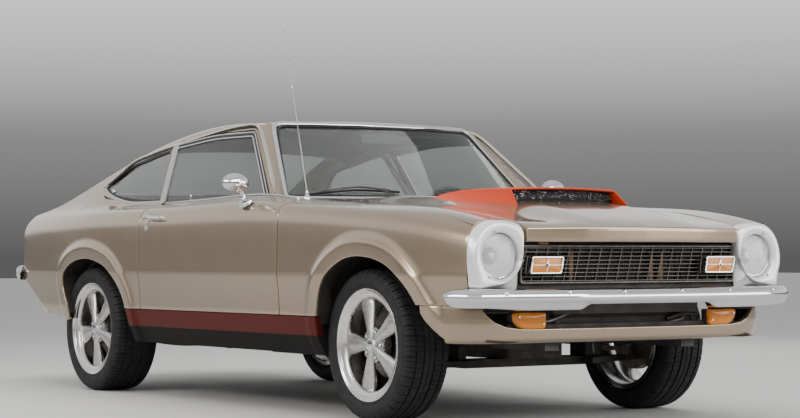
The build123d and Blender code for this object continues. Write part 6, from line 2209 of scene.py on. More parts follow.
vv = np.linspace(1950, 2736, 60)
lowline = np.c_[vv, WIN_LOW(vv)[:, 0] + 4]
vv = np.linspace(2050, 2736, 56)[::-1]
topline = np.c_[vv, WIN_TOP(vv)[:, 0] - 4]
QLOOP = np.vstack([lowline, [(2746, 1060)], topline])
QLOOP = resample(np.vstack([QLOOP, QLOOP[:1]]), 181)[:-1]
s = Shape()
P = side_point(QLOOP[:, 0], QLOOP[:, 1], -4.0)
sweep(s, P, round_rect(7, 7, 2.5), (0.93, 0, 0.36), 0, closed=True)
c = QLOOP.mean(0)
q = QLOOP + unit(c - QLOOP) * 11
P = side_point(q[:, 0], q[:, 1], -6.0)
sweep(s, P, round_rect(17, 5, 2.0), (0.93, 0, 0.36), 1, closed=True)
# slim black upright at the front of the quarter glass
a, b = np.array((1952.0, 966.0)), np.array((2046.0, 1245.0))
line = a + (b - a) * np.linspace(0, 1, 12)[:, None]
sweep(s, side_point(line[:, 0], line[:, 1], -4.0), round_rect(13, 9, 2.5), GLASS_N, 1)
# hinge-like chrome pad at the rear lower corner
lathe(s, [(-6, 14), (3, 13), (6, 10), (7.5, 5), (7.8, 0.1)], tuple(side_point(np.array(2612.0), np.array(1040.0), -4.0)), "x", 28, 0)
build(s.both(), "quarter_window_frames", [CHROME, SEAL], "chassis")

# rear window, with its moulding
def rear_surface(x, v, off=0.0):
    x, v = np.asarray(x, float), np.asarray(v, float)
    return np.stack([x, v + off * 0.35, roof_z(x, v) + off * 0.93], -1)


s = Shape()
V = np.linspace(REAR_TOP - 6, REAR_LOW + 6, 24)
a = np.array([rear_surface(np.linspace(-1, 1, 45) * (rear_half(v) + 4), np.full(45, v), -5.0) for v in V])
b = np.array([rear_surface(np.linspace(-1, 1, 45) * (rear_half(v) + 4), np.full(45, v), -10.0) for v in V])
s.grid(a)
s.grid(b)
for q in (0, -1):
    s.grid(np.array([a[q], b[q]]))
    s.grid(np.array([a[:, q], b[:, q]]))
build(s, "rear_window_glass", GLASS, "chassis", ("rear_window",))
L = soft_loop([(-505, REAR_TOP), (505, REAR_TOP), (599, REAR_LOW), (-599, REAR_LOW)], 52, 12, 30)
P = rear_surface(L[:, 0], L[:, 1], 0.5)
s = Shape()
up = np.broadcast_to(np.array([0, 0.35, 0.93]), P.shape)
sweep(s, P, np.array([(-10, -4), (-10, 1.5), (-7, 4.4), (0, 5.6), (7, 4.4), (10, 1.5), (10, -4)]), up, 0, closed=True)
c = L.mean(0)
L2 = L + unit(c - L) * 14
pipe(s, rear_surface(L2[:, 0], L2[:, 1], -3.0), 4.5, 6, 1, closed=True)
build(s, "rear_window_moulding", [CHROME, SEAL], "chassis")

# ---------------------------------------------------------------- cowl and wipers
def cowl_z(x, v):
    """Top of the cowl: level with the hood's rear edge, then up to the foot of the windshield."""
    x, v = np.asarray(x, float), np.asarray(v, float)
    a = hood_z(np.clip(x, -664, 664), 567.0) - 0.5 - 0.02 * np.clip(np.abs(x) - 664, 0, 100)
    t = np.clip((v - 579) / 120.0, 0, 1)
    return a + (958.0 + 2 * (1 - (x / 735.0) ** 2) - a) * t


s = Shape()
rows = []
for x in np.linspace(-735, 735, 99):
    v1 = float(shield(np.array(min(abs(x), 690.0)), np.array(966.0))[1]) if abs(x) < 690 else 856.0
    v1 = v1 - 4 if abs(x) < 690 else 860.0
    row = []
    for v in np.r_[np.linspace(579, 640, 8), np.linspace(648, 1, 1) * 0 + 648, np.linspace(656, v1, 12)]:
        z = float(cowl_z(x, v))
        row.append((x, v, z))
    rows.append(row)
C = np.array(rows)
s.grid(C)
hem(s, C[:, 0], C[:, 1], (0, 0, 1), 3, 22)
for q, r in ((0, 1), (-1, -2)):
    hem(s, C[q], C[r], (0, 0, 1), 2.5, 16)
# vent slots
for sg in (1, -1):
    for k in range(17):
        x = sg * (150 + 27 * k)
        v0 = 604.0
        L = soft_loop([(x - 3.4, v0), (x + 3.4, v0), (x + 3.4, v0 + 34), (x - 3.4, v0 + 34)], 3.2, 4)
        z = float(cowl_z(x, v0 + 17))
        slab(s, L, ((0, 0, 0), (1, 0, 0), (0, 1, 0), (0, 0, 1)), z - 6, z + 0.9, 0.5, 1)
build(s, "cowl_skin", [PAINT, UNDER], "chassis", ("cowl_panel",))


def make_wiper(x0, v0, x1, v1, pivot):
    s = Shape()
    n = 26
    t = np.linspace(0, 1, n)

    def on_shield(x, z):
        return shield(np.array(x), np.array(z)), shield_normal(np.array(x), np.array(z))
    # the blade lies along the foot of the glass, bowed a little
    P, N = [], []
    for q in t:
        x = x0 + (x1 - x0) * q
        z = 974.0 + 26.0 * (1 - abs(2 * q - 1)) ** 0.8 * 0.6 + (14.0 if x0 < 0 else 10.0) * q
        p, nn = on_shield(x, z)
        P.append(p + nn * 6.0)
        N.append(nn)
    P, N = np.array(P), np.array(N)
    sweep(s, P, round_rect(5, 9, 1.6, 2), N, 0)
    sweep(s, P - N * 4.0, round_rect(2.2, 6, 0.8, 2), N, 1)
    # spine with two yokes
    Q = P + N * (6 + 11 * np.sin(np.pi * t)[:, None])
    sweep(s, Q[3:-3], round_rect(7, 3.2, 1.2, 2), N[3:-3], 0)
    for k in (4, 9, 16, 21):
        pipe(s, np.array([P[k] + N[k] * 3, Q[k]]), 2.2, 6, 0)
    # arm from the pivot to the middle of the blade
    m = Q[n // 2] + N[n // 2] * 3
    pv = np.array([pivot[0], pivot[1], float(cowl_z(pivot[0], pivot[1])) + 13])
    arm = quad(pv, (pv + m) / 2 + np.array([0, -6.0, 16.0]), m, 14)
    wid = np.linspace(1.0, 0.62, len(arm))
    sweep(s, arm, round_rect(13, 6.5, 2.2, 3), (0, -0.45, 0.9), 0, scale=wid)
    z0 = float(cowl_z(pivot[0], pivot[1]))
    lathe(s, [(z0 - 4, 16), (z0 + 6, 15), (z0 + 16, 12), (z0 + 20, 8), (z0 + 21, 0.1)], (pivot[0], pivot[1], 0), "z", 28, 0)
    return s


s = make_wiper(-585, 768, -150, 668, (-250, 632))
s.join(make_wiper(20, 664, 470, 734, (330, 632)))
build(s, "wiper_arms_blades", [TRIM, SEAL], "chassis", ("wipers",))

# ---------------------------------------------------------------- antenna
s = Shape()
ax, av, az = -690.0, 660.0, 957.0
lean = math.radians(15)
lathe(s, [(az - 6, 17), (az + 3, 16.5), (az + 7, 14), (az + 14, 9), (az + 17, 6.5), (az + 30, 5), (az + 31, 0.1)], (ax, av, 0), "z", 28, 0)
d = np.array([0, math.sin(lean), math.cos(lean)])
b = np.array([ax, av, az + 22])
for r, l0, l1, m in ((2.2, 0, 250, 1), (1.7, 245, 500, 1), (2.4, 498, 506, 0), (1.4, 500, 796, 1), (2.2, 792, 802, 0)):
    P = b + d * np.linspace(l0, l1, 6)[:, None]
    pipe(s, P, r, 10, m)
build(s, "antenna_mast", [CHROME, PEWTER], "chassis", ("antenna",))

# ---------------------------------------------------------------- hood scoop
# station, half-width at the base, half-width of the top, height of the top
SC = Spline(((-312, 306, 284, 987), (-200, 314, 286, 990), (-60, 318, 284, 990), (60, 318, 280, 987), (180, 312, 270, 979),
             (262, 304, 258, 971), (300, 296, 248, 966)))


def scoop_side(v, n=9):
    """Outer side of the scoop at v, from the top's corner to the hood."""
    wb, wt, zt = SC(v)
    zc = zt - 11.0
    zb = float(hood_z(np.array(wb), np.array(v))) - 1.5
    t = np.linspace(0, 1, n)
    return np.c_[wt + (wb - wt) * t ** 1.25, np.full(n, v), zc + (zb - zc) * t ** 0.92]


def make_scoop():
    s = Shape()
    V = np.r_[np.linspace(-312, -300, 4), np.linspace(-292, 296, 50)]
    rows = []
    for v in V:
        wb, wt, zt = SC(v)
        x = np.linspace(-(wt - 12), wt - 12, 31)
        z = zt - 8 * (np.abs(x) / wt) ** 2
        side = scoop_side(v)
        arc = quad(np.array([wt - 12, z[-1]]), np.array([wt - 1, z[-1] - 1.0]), side[0, [0, 2]], 6)[1:-1]
        R = np.vstack([np.c_[x, z], arc, side[:, [0, 2]]])
        left = np.vstack([arc, side[:, [0, 2]]])[::-1] * np.array([-1, 1])
        sec = np.vstack([left, R])
        sink = smoothstep((v - 232) / 66.0) ** 1.3
        hz = hood_z(sec[:, 0], np.full(len(sec), float(v))) - 2.5
        sec[:, 1] = sec[:, 1] * (1 - sink) + np.minimum(hz, sec[:, 1]) * sink
        rows.append(np.c_[sec[:, 0], np.full(len(sec), v), sec[:, 1]])
    G = np.array(rows)
    s.grid(G, 0)
    # rolled front lip of the top, then back to the mesh
    F = G[0]
    top = F[np.abs(F[:, 0]) <= 284.5]
    lip = [top]
    for dv, dz in ((-4.0, -0.8), (-6.5, -3.5), (-6.0, -7.0), (-2.0, -9.5), (10.0, -10.0), (26.0, -10.0)):
        q = top.copy()
        q[:, 0] *= 1 - 0.012 * min(1.0, -dz / 8.0)
        q[:, 1] += dv
        q[:, 2] += dz
        lip.append(q)
    s.grid(np.array(lip), 0)
    # cheeks running down and forward to the hood
    for sg in (1, -1):
        outer, inner = [], []
        for k in np.linspace(0, 1, 18):
            v = -312.0 - 76.0 * k
            side = scoop_side(-312.0)
            zb = float(hood_z(np.array(302.0), np.array(v))) - 1.5
            frac = (side[:, 2] - side[-1, 2]) / (side[0, 2] - side[-1, 2])
            hgt = (side[0, 2] - side[-1, 2]) * (1 - k) ** 0.85 + 1.0
            x = side[:, 0] * (1 - k) + (302.0 + (side[:, 0] - side[-1, 0]) * 0.1) * k
            outer.append(np.c_[x, np.full(9, v), zb + frac * hgt])
            inner.append(np.c_[x - 9.0 * (1 - 0.55 * k), np.full(9, v), zb + frac * hgt])
        O, I = np.array(outer), np.array(inner)
        mid = 0.5 * (O[:, 0] + I[:, 0]) + np.array([0, -1.0, 2.4])
        back = I[0].copy()
        back[:, 1] = -284.0
        for P in (O, I, np.array([O[:, 0], mid, I[:, 0]]), np.array([O[-1], I[-1]]), np.array([I[0], back])):
            s.grid(P * np.array([sg, 1, 1]), 0)
    # black throat behind the mesh
    xs = np.linspace(-290, 290, 59)
    up = np.interp(xs, F[np.argsort(F[:, 0]), 0], F[np.argsort(F[:, 0]), 2]) - 8.0
    dn = hood_z(xs, np.full(59, -290.0)) - 1.0
    s.grid(np.array([np.c_[xs, np.full(59, -270.0), dn], np.c_[xs, np.full(59, -270.0), 0.5 * (up + dn)],
                     np.c_[xs, np.full(59, -270.0), up + 4]]), 1)
    return s, up, dn, xs


scoop, m_up, m_dn, m_x = make_scoop()
MESHBLACK = plain("scoop_mesh_black", (0.012, 0.011, 0.011), (0.040, 0.038, 0.036), 0.30, 0.5, 300.0, metallic=0.6, bump=0)
# expanded-metal mesh in the mouth: two families of leaning strands
n = 92
for k in range(n):
    x = -288 + 576 * k / (n - 1)
    for lean_ in (11.0, -11.0):
        x0, x1 = x - lean_, x + lean_
        if min(x0, x1) < -285 or max(x0, x1) > 285:
            continue
        a, b = float(np.interp(x0, m_x, m_dn)), float(np.interp(x1, m_x, m_up))
        dv = 0.7 if lean_ > 0 else -0.7
        t = np.linspace(0, 1, 7)[:, None]
        P = np.array([x0, -292 + dv, a]) * (1 - t) + np.array([x1, -287 + dv, b]) * t
        P[1:-1:2, 1] += 0.8
        pipe(scoop, P, 1.15, 4, 2, caps=False)
WIRE = plain("scoop_mesh_wire", (0.022, 0.021, 0.020), (0.012, 0.011, 0.011), 0.4, 0.55, 170.0, metallic=0.5, bump=0)
# bright chrome nubs at seeded spots on the mesh: painted glints
rng = np.random.default_rng(11)
for x, t in zip(rng.uniform(-276, 276, 230), rng.uniform(0.10, 0.92, 230)):
    a, b = float(np.interp(x, m_x, m_dn)), float(np.interp(x, m_x, m_up))
    z = a + (b - a) * t
    pipe(scoop, [(x - 1.5, -294.2, z - 1.0), (x, -294.6, z), (x + 1.5, -294.2, z + 1.0)], 0.95, 4, 3)
build(scoop, "hood_scoop_shell", [SCOOP, MESHBLACK, WIRE, CHROME], "hood", ("hood_scoop",), sharp=34)


# ---------------------------------------------------------------- mirrors
def make_mirror():
    s = Shape()
    c = np.array([905.0, 928.0, 1029.0])
    n = 64
    a = np.linspace(0, 2 * np.pi, n, endpoint=False)
    rows = []
    # shell: bowl facing forward, open to the rear
    for k in np.linspace(0.06, 1.0, 16):
        ang = k * math.pi / 2
        rx, rz = 66 * math.sin(ang) ** 0.9, 44 * math.sin(ang) ** 0.9
        d = -34 * math.cos(ang)
        rows.append(c + np.c_[rx * np.cos(a), np.full(n, d), rz * np.sin(a)])
    s.grid(np.array(rows), 0, wrap_j=True)
    s.cap(rows[0], 0)
    rim = [(66, 44, 0), (66.5, 44.5, 6), (65.5, 43.5, 9), (63, 41, 10), (61, 39, 8.5)]
    R = [c + np.c_[rx * np.cos(a), np.full(n, d), rz * np.sin(a)] for rx, rz, d in rim]
    s.grid(np.array(R), 0, wrap_j=True)
    s.grid(np.array([R[-1], c + np.c_[61 * np.cos(a), np.full(n, 5.5), 39 * np.sin(a)]]), 0, wrap_j=True)
    s.cap(c + np.c_[61 * np.cos(a), np.full(n, 5.5), 39 * np.sin(a)], 1)
    # stalk: flared foot, waist, and a swell into the head
    path = smooth_through([(862, 926, 947), (864, 926, 962), (872, 927, 982), (886, 928, 1000), (900, 926, 1014)], 22)
    r = np.interp(np.linspace(0, 1, 22), [0, 0.12, 0.35, 0.7, 1], [20, 13, 9, 9.5, 14])
    pipe(s, path, r, 20, 0)
    # foot plate on the door
    L = soft_loop([(834, 888), (880, 892), (880, 962), (840, 966)], 20, 7)
    o = np.array([0, 0, 0.0])
    rows = []
    for k, h in ((1.0, -6.0), (1.0, 2.5), (0.97, 5.0), (0.88, 6.6), (0.6, 7.6), (0.25, 8.0)):
        q = L.mean(0) + (L - L.mean(0)) * k
        z = 945.0 - (q[:, 0] - 850.0) * 0.72 + h
        rows.append(np.c_[q[:, 0] + h * 0.5, q[:, 1], z])
    s.grid(np.array(rows), 0, wrap_j=True)
    s.cap(rows[-1], 0)
    return s


m = make_mirror()
build(m, "mirror_left_shell", [CHROME, MIRROR_GLASS], "door_left", ("mirror_left",))
build(m.mirrored(), "mirror_right_shell", [CHROME, MIRROR_GLASS], "door_right", ("mirror_right",))


# ---------------------------------------------------------------- door handles, locks, knobs
def make_handle():
    s = Shape()
    n = 30

    def at(v, z, off):
        return np.array([float(flank(v, z)) + off, v, z])
    # grab bar
    P = np.array([at(v, 884 + 0.0 * v, o) for v, o in zip(np.linspace(1700, 1852, n), 12 + 15 * np.sin(np.linspace(0.15, math.pi - 0.15, n)) ** 0.6)])
    sc = 0.7 + 0.3 * np.sin(np.linspace(0, math.pi, n)) ** 0.5
    sweep(s, P, round_rect(19, 9, 4, 4), (1, 0, 0.15), 0, scale=sc)
    for v in (1706, 1850):
        a, b = at(v, 884, -3), at(v, 884, 20)
        pipe(s, np.array([a, a * 0.7 + b * 0.3, b]), [14, 9, 8.5], 18, 0)
    # button housing
    c = at(1874, 882, 0)
    lathe(s, [(-4, 23), (3, 22.5), (7, 20.5), (9, 17), (9.4, 14.6), (8.4, 13.8), (8.4, 12.8), (14.5, 12.2), (16.2, 10), (16.8, 5), (16.9, 0.1)],
          tuple(c), "x", 36, 0)
    # lock
    c = at(1880, 834, 0)
    lathe(s, [(-3, 12.5), (2, 12.2), (4, 10.8), (4.6, 8.6), (4.0, 7.6), (3.2, 7.4), (3.2, 0.1)], tuple(c), "x", 32, 0)
    sweep(s, np.array([c + (3.6, 0, -4.4), c + (3.6, 0, 4.4)]), round_rect(2, 0.8, 0.2, 1), (1, 0, 0), 1)
    # belt moulding
    V = np.linspace(DOOR_F + 14, DOOR_R - 14, 60)
    B = SIDE(V)
    P = np.c_[B[:, 3] + 7.0, V, B[:, 4] - 1.0]
    sweep(s, P, np.array([(-6, -3), (-6, 1), (-3, 3.4), (3, 3.4), (6, 1), (6, -3)]), (0.45, 0, 0.9), 2)
    # lock knob inside the glass
    lathe(s, [(958, 3.2), (978, 3.4), (982, 4.6), (994, 4.2), (997, 2.6), (997.6, 0.1)], (742, 1668, 0), "z", 16, 0)
    return s


h = make_handle()
build(h, "door_left_fittings", [CHROME, TRIM, CHROME], "door_left")
build(h.mirrored(), "door_right_fittings", [CHROME, TRIM, CHROME], "door_right")

# ---------------------------------------------------------------- tail
TAIL_EDGE = lin(((392, 3148, 0), (416, 3191, 0), (609, 3580, 0), (640, 3584, 0), (700, 3582, 0), (796, 3570, 0), (930, 3570, 0)))
T_LAST = np.vstack([QI["T"][-1], QI["behind"][-1][1:], QI["ov"][-1][1:]])


def tail_edge(z):
    """Station and half-width of the quarter panel's rear end at height z."""
    v = float(TAIL_EDGE(z)[0])
    if z <= 792:
        x = float(flank(v, z)) - 26.0 * max(0.0, (v - 3520.0) / 70.0) ** 2
    else:
        T = T_LAST[np.argsort(T_LAST[:, 2])]
        x = float(np.interp(z, T[:, 2], T[:, 0]))
        k = min(1.0, (z - 792.0) / 20.0)
        x = x * k + (float(flank(v, 792.0)) - 13.0) * (1 - k)
    return v, x - 3.5


def lid_low(x):
    """Lower edge of the trunk lid's rear face."""
    u = np.clip(np.abs(x) / 681.0, 0, 1)
    a, b = float(TRUNK_SEAM(3585.0)[0]), float(TRUNK_MID(3585.0)[0])
    return b + (a - b) * u ** 2.4 - 30.0


def make_tail():
    s = Shape()
    us = np.r_[np.linspace(-1, -0.93, 8), np.linspace(-0.928, -0.915, 4), np.linspace(-0.90, 0.90, 63), np.linspace(0.915, 0.928, 4),
               np.linspace(0.93, 1, 8)]
    ts = np.r_[np.linspace(0, 0.14, 4), np.linspace(0.15, 0.19, 4), np.linspace(0.22, 0.80, 10), np.linspace(0.82, 0.86, 4),
               np.linspace(0.89, 1, 4)]
    T = T_LAST[np.argsort(T_LAST[:, 0])]
    cols = []
    for u in us:
        x0 = abs(u) * 738.0
        quarter_top = float(np.interp(x0, T[:, 0], T[:, 2])) - 4.0
        w = float(smoothstep((x0 - 683.0) / 6.0))
        top = (float(lid_low(x0)) - 5.0) * (1 - w) + quarter_top * w
        col = []
        for t in ts:
            z = 655.0 + (top - 655.0) * t
            ve, L = tail_edge(z)
            x = u * L
            v = 3592.0 - 4.0 * u ** 2
            k = np.clip((abs(u) - 0.945) / 0.055, 0, 1)
            v = v + (ve - v) * k ** 2
            ix = smoothstep((770.0 - abs(x)) / 9.0)
            iz = smoothstep((z - 692.0) / 9.0) * smoothstep((862.0 - z) / 9.0)
            col.append((x, v - 7.0 * ix * iz, z))
        cols.append(col)
    G = np.array(cols)
    s.grid(G, 0)
    hem(s, G[:, -1], G[:, -2], (0, 1, 0), 2.5, 16)
    for q, r in ((0, 1), (-1, -2)):
        hem(s, G[q], G[r], (0, 1, 0), 2, 10)
    # valance below, its ends running forward to meet the quarter panels
    cols = []
    for u in np.r_[np.linspace(-1, -0.82, 16), np.linspace(-0.80, 0.80, 49), np.linspace(0.82, 1, 16)]:
        col = []
        for z in np.linspace(394, 655, 27):
            ve, L = tail_edge(z)
            x = u * L
            vc = 3404 + 170 * float(smoothstep((z - 385) / 185.0)) ** 0.8
            k = np.clip((abs(u) - 0.84) / 0.16, 0, 1)
            v = min(vc, 3574.0) - 3 * u * u
            v = v + (ve - 1.0 - v) * k ** 2.2
            col.append((x, v, z))
        cols.append(col)
    G2 = np.array(cols)
    s.grid(G2, 0)
    hem(s, G2[:, 0], G2[:, 1], (0, 0.8, -0.6), 3, 14)
    for q, r in ((0, 1), (-1, -2)):
        hem(s, G2[q], G2[r], (0, 1, 0), 1.5, 8)
    return s


tail = make_tail()
# number plate carrier, blank
PLATE = ((0, 3572, 502), (1, 0, 0), (0, 0.12, 0.993), (0, 0.993, -0.12))
slab(tail, soft_loop([(-165, -66), (165, -66), (165, 60), (-165, 60)], 12, 5, 4), PLATE, 0.0, 7.0, 2.0, 1)
slab(tail, soft_loop([(-155, -56), (155, -56), (155, 50), (-155, 50)], 8, 4, 4), PLATE, 6.5, 9.0, 1.0, 2)
for sg in (1, -1):
    for dz in (-44, 38):
        lathe(tail, [(0, 5.5), (10.2, 5.2), (11.6, 3.6), (12, 0.1)], (sg * 118, 3572 + 0.12 * dz, 502 + dz), "y", 14, 3)
    sweep(tail, np.array([(sg * 120, 3575, 500), (sg * 120, 3550, 500), (sg * 120, 3520, 500)]), round_rect(70, 4, 1.5, 2), (1, 0, 0), 1)
# trunk lock, trim strips round the recess
lathe(tail, [(3582, 17), (3590, 16.5), (3592.5, 14), (3593.2, 10), (3591.8, 9), (3591.6, 0.1)], (0, 0, 776), "y", 40, 3)
ring = soft_loop([(-774, 690), (774, 690), (774, 862), (-774, 862)], 26, 8, 30)
P = np.c_[ring[:, 0] * 0.985, np.full(len(ring), 3592.2), ring[:, 1]]
P[:, 1] -= 4.0 * (np.abs(P[:, 0]) / 800) ** 2
sweep(tail, P, np.array([(-4, -5), (-4, 0), (-2, 1.6), (2, 1.6), (4, 0), (4, -5)]), (0, 1, 0), 3, closed=True)
build(tail, "tail_panel_skin", [PAINT, TRIM, PEWTER, CHROME], "chassis", ("rear_panel",))


def make_tail_lamp():
    s = Shape()
    cx, cz, w, h = 592.0, 776.0, 318.0, 128.0
    out = soft_loop([(cx - w / 2, cz - h / 2), (cx + w / 2, cz - h / 2), (cx + w / 2, cz + h / 2), (cx - w / 2, cz + h / 2)], 16, 6, 22)
    c = np.array([cx, cz])
    rows = []
    for k, v in ((1.03, 3583.0), (1.03, 3592.0), (1.015, 3597.5), (0.985, 3599.0), (0.965, 3596.5), (0.96, 3590.0)):
        q = c + (out - c) * np.array([k, 1 - (1 - k) * w / h])
        rows.append(np.c_[q[:, 0], np.full(len(q), v), q[:, 1]])
    s.grid(np.array(rows), 0, wrap_j=True)
    # three lens fields with upright ribs
    x0, x1 = cx - w * 0.478, cx + w * 0.478
    z0, z1 = cz - h * 0.445, cz + h * 0.445
    fields = ((x0, x0 + 84, 2), (x0 + 90, x0 + 196, 1), (x0 + 202, x1, 1))
    for a, b, m in fields:
        xs = np.linspace(a, b, int((b - a) / 2.2) + 1)
        zz = np.r_[z0, z0 + 2, np.linspace(z0 + 5, z1 - 5, 9), z1 - 2, z1]
        edge = np.minimum(xs - a, b - xs)
        f = np.sqrt(np.clip(edge / 6.0, 0, 1))
        rows = []
        for z in zz:
            ez = math.sqrt(min(1.0, min(z - z0, z1 - z) / 6.0))
            v = 3590 + 12.0 * f * ez + 1.1 * np.cos(2 * np.pi * (xs - a) / 8.8) * f * ez
            rows.append(np.c_[xs, v, np.full(len(xs), z)])
        s.grid(np.array(rows), m)
    return s


lamp = make_tail_lamp()
both = lamp.both()
build(both, "tail_lamp_set", [CHROME, RED, WHITE_LENS], "chassis", ("tail_lamps",))


def make_rear_bumper():
    s = Shape()
    path = plan_path(((0, 3622), (300, 3618), (560, 3612), (690, 3607), (762, 3600), (806, 3585), (829, 3560), (838, 3530)), 161)
    T = unit(np.gradient(path, axis=0))
    N = np.stack([T[:, 1], -T[:, 0]], -1)
    mid = len(path) // 2
    if N[mid, 1] < 0:
        N = -N
    d = np.r_[0, np.cumsum(np.linalg.norm(np.diff(path, axis=0), axis=1))]
    end = np.minimum(d, d[-1] - d)
    rows = []
    for k in range(len(path)):
        e = math.sqrt(max(0.0, 1 - (1 - min(1.0, end[k] / 60.0)) ** 2))
        sec = np.array([(-26, 646), (-24, 649), (-18, 650), (-4, 648), (6, 643), (13, 635), (17, 624), (18.5, 611), (18, 600),
                        (14.5, 588), (8.5, 577), (1, 569), (-5, 566), (-8, 567.5), (-7, 571), (2, 580), (9, 592), (12, 606),
                        (11, 622), (6, 634), (-4, 642), (-18, 645.5)], float)
        zc = 608.0
        sec[:, 1] = zc + (sec[:, 1] - zc) * (0.08 + 0.92 * e)
        sec[:, 0] *= 0.3 + 0.7 * e
        rows.append(np.c_[path[k, 0] + N[k, 0] * sec[:, 0], path[k, 1] + N[k, 1] * sec[:, 0], sec[:, 1]])
    R = np.array(rows)
    s.grid(R, 0, wrap_j=True)
    s.cap(R[0], 0)
    s.cap(R[-1], 0)
    for sg in (1, -1):
        for x in (120, 430, 700):
            v = float(np.interp(x, path[mid:, 0], path[mid:, 1]))
            lathe(s, [(v + 21.5, 0.1), (v + 22.5, 4), (v + 21, 8.0), (v + 17, 9.5), (v + 12, 9.5)], (sg * x, 0, 610), "y", 24, 0)
        sweep(s, np.array([(sg * 380, 3618, 600), (sg * 380, 3594, 600), (sg * 380, 3560, 600)]), round_rect(46, 10, 2), (0, 0, 1), 1)
    return s


build(make_rear_bumper(), "rear_bumper_chrome", [CHROME, UNDER], "chassis", ("rear_bumper",), sharp=32)


# ---------------------------------------------------------------- seats and cabin
def cushion(w, d, h, crown=24.0, pull=0.018, pleats=(), cross=(), groove=7.0, sides=1.0, n=34, ends=0.86):
    """Crowned pad about its middle, lying on z 0: grid of points, the loop of the top seam and the bottom ring."""
    base = np.r_[np.linspace(-1, -0.80, 7), np.linspace(-0.80, 0.80, n)[1:-1], np.linspace(0.80, 1, 7)]
    su = np.unique(np.round(np.r_[base] if not len(pleats) else np.r_[base, [p + o for p in pleats for o in (-0.022, -0.010, 0, 0.010, 0.022)]], 5))
    tu = np.unique(np.round(base if not len(cross) else np.r_[base, [p + o for p in cross for o in (-0.022, -0.010, 0, 0.010, 0.022)]], 5))
    S_, T_ = np.meshgrid(su, tu, indexing="ij")
    q = np.maximum(np.maximum(np.abs(S_), np.abs(T_)), 1e-9)
    bs, bt = S_ / q, T_ / q
    k = (np.abs(bs) ** 7 + np.abs(bt) ** 7) ** (-1 / 7.0)
    k = 1 + (k - 1) * smoothstep((q - 0.2) / 0.6)
    top = q <= 0.80 + 1e-9
    kk = np.where(top, q / 0.80, 1.0)
    side_t = np.clip((q - 0.80) / 0.20, 0, 1)
    bulge = 1.0 + 0.022 * sides * np.sin(np.pi * side_t) - 0.010 * side_t
    fx = bs * k * kk * bulge
    fy = bt * k * kk * bulge
    x = w / 2 * fx * (1 - pull * (1 - fy ** 2))
    y = d / 2 * fy * (1 - pull * (1 - fx ** 2))
    zt = h - crown + crown * np.clip(1 - fx ** 2, 0, 1) ** 0.42 * np.clip(1 - fy ** 2, 0, 1) ** 0.42
    g = np.zeros_like(zt)
    for p in pleats:
        g = np.maximum(g, np.exp(-((fx - p * 1.25) * w / 2 / 5.0) ** 2) * smoothstep((ends - np.abs(fy)) / 0.06))
    for p in cross:
        g = np.maximum(g, np.exp(-((fy - p * 1.25) * d / 2 / 5.0) ** 2) * smoothstep((ends - np.abs(fx)) / 0.06))
    zt = zt - groove * g
    z = np.where(top, zt, (h - crown) * (1 - side_t))
    P = np.stack([x, y, z], -1)
    ang = np.linspace(0, 2 * np.pi, 160, endpoint=False)
    cs, sn = np.cos(ang), np.sin(ang)
    m = np.maximum(np.abs(cs), np.abs(sn))
    bs2, bt2 = cs / m, sn / m
    k2 = (np.abs(bs2) ** 7 + np.abs(bt2) ** 7) ** (-1 / 7.0)
    lx, ly = bs2 * k2, bt2 * k2
    loop = np.c_[w / 2 * lx * (1 - pull * (1 - ly ** 2)), d / 2 * ly * (1 - pull * (1 - lx ** 2)), np.full(160, h - crown)]
    return P, loop


def place(P, o, ex, ey, ez):
    P = np.asarray(P, float)
    return np.asarray(o, float) + P[..., :1] * unit(np.array(ex, float)) + P[..., 1:2] * unit(np.array(ey, float)) + P[..., 2:3] * unit(np.array(ez, float))


def pad(s, o, ex, ey, ez, w, d, h, mats=(0, 0), **k):
    P, loop = cushion(w, d, h, **k)
    W = place(P, o, ex, ey, ez)
    s.grid(W, mats[0])
    # flat underside
    edge = np.vstack([W[0, :-1], W[:-1, -1], W[-1, ::-1][:-1], W[::-1, 0][:-1]])
    s.cap(edge, mats[0])
    pipe(s, place(loop, o, ex, ey, ez), 4.2, 8, mats[1], closed=True)
    return s


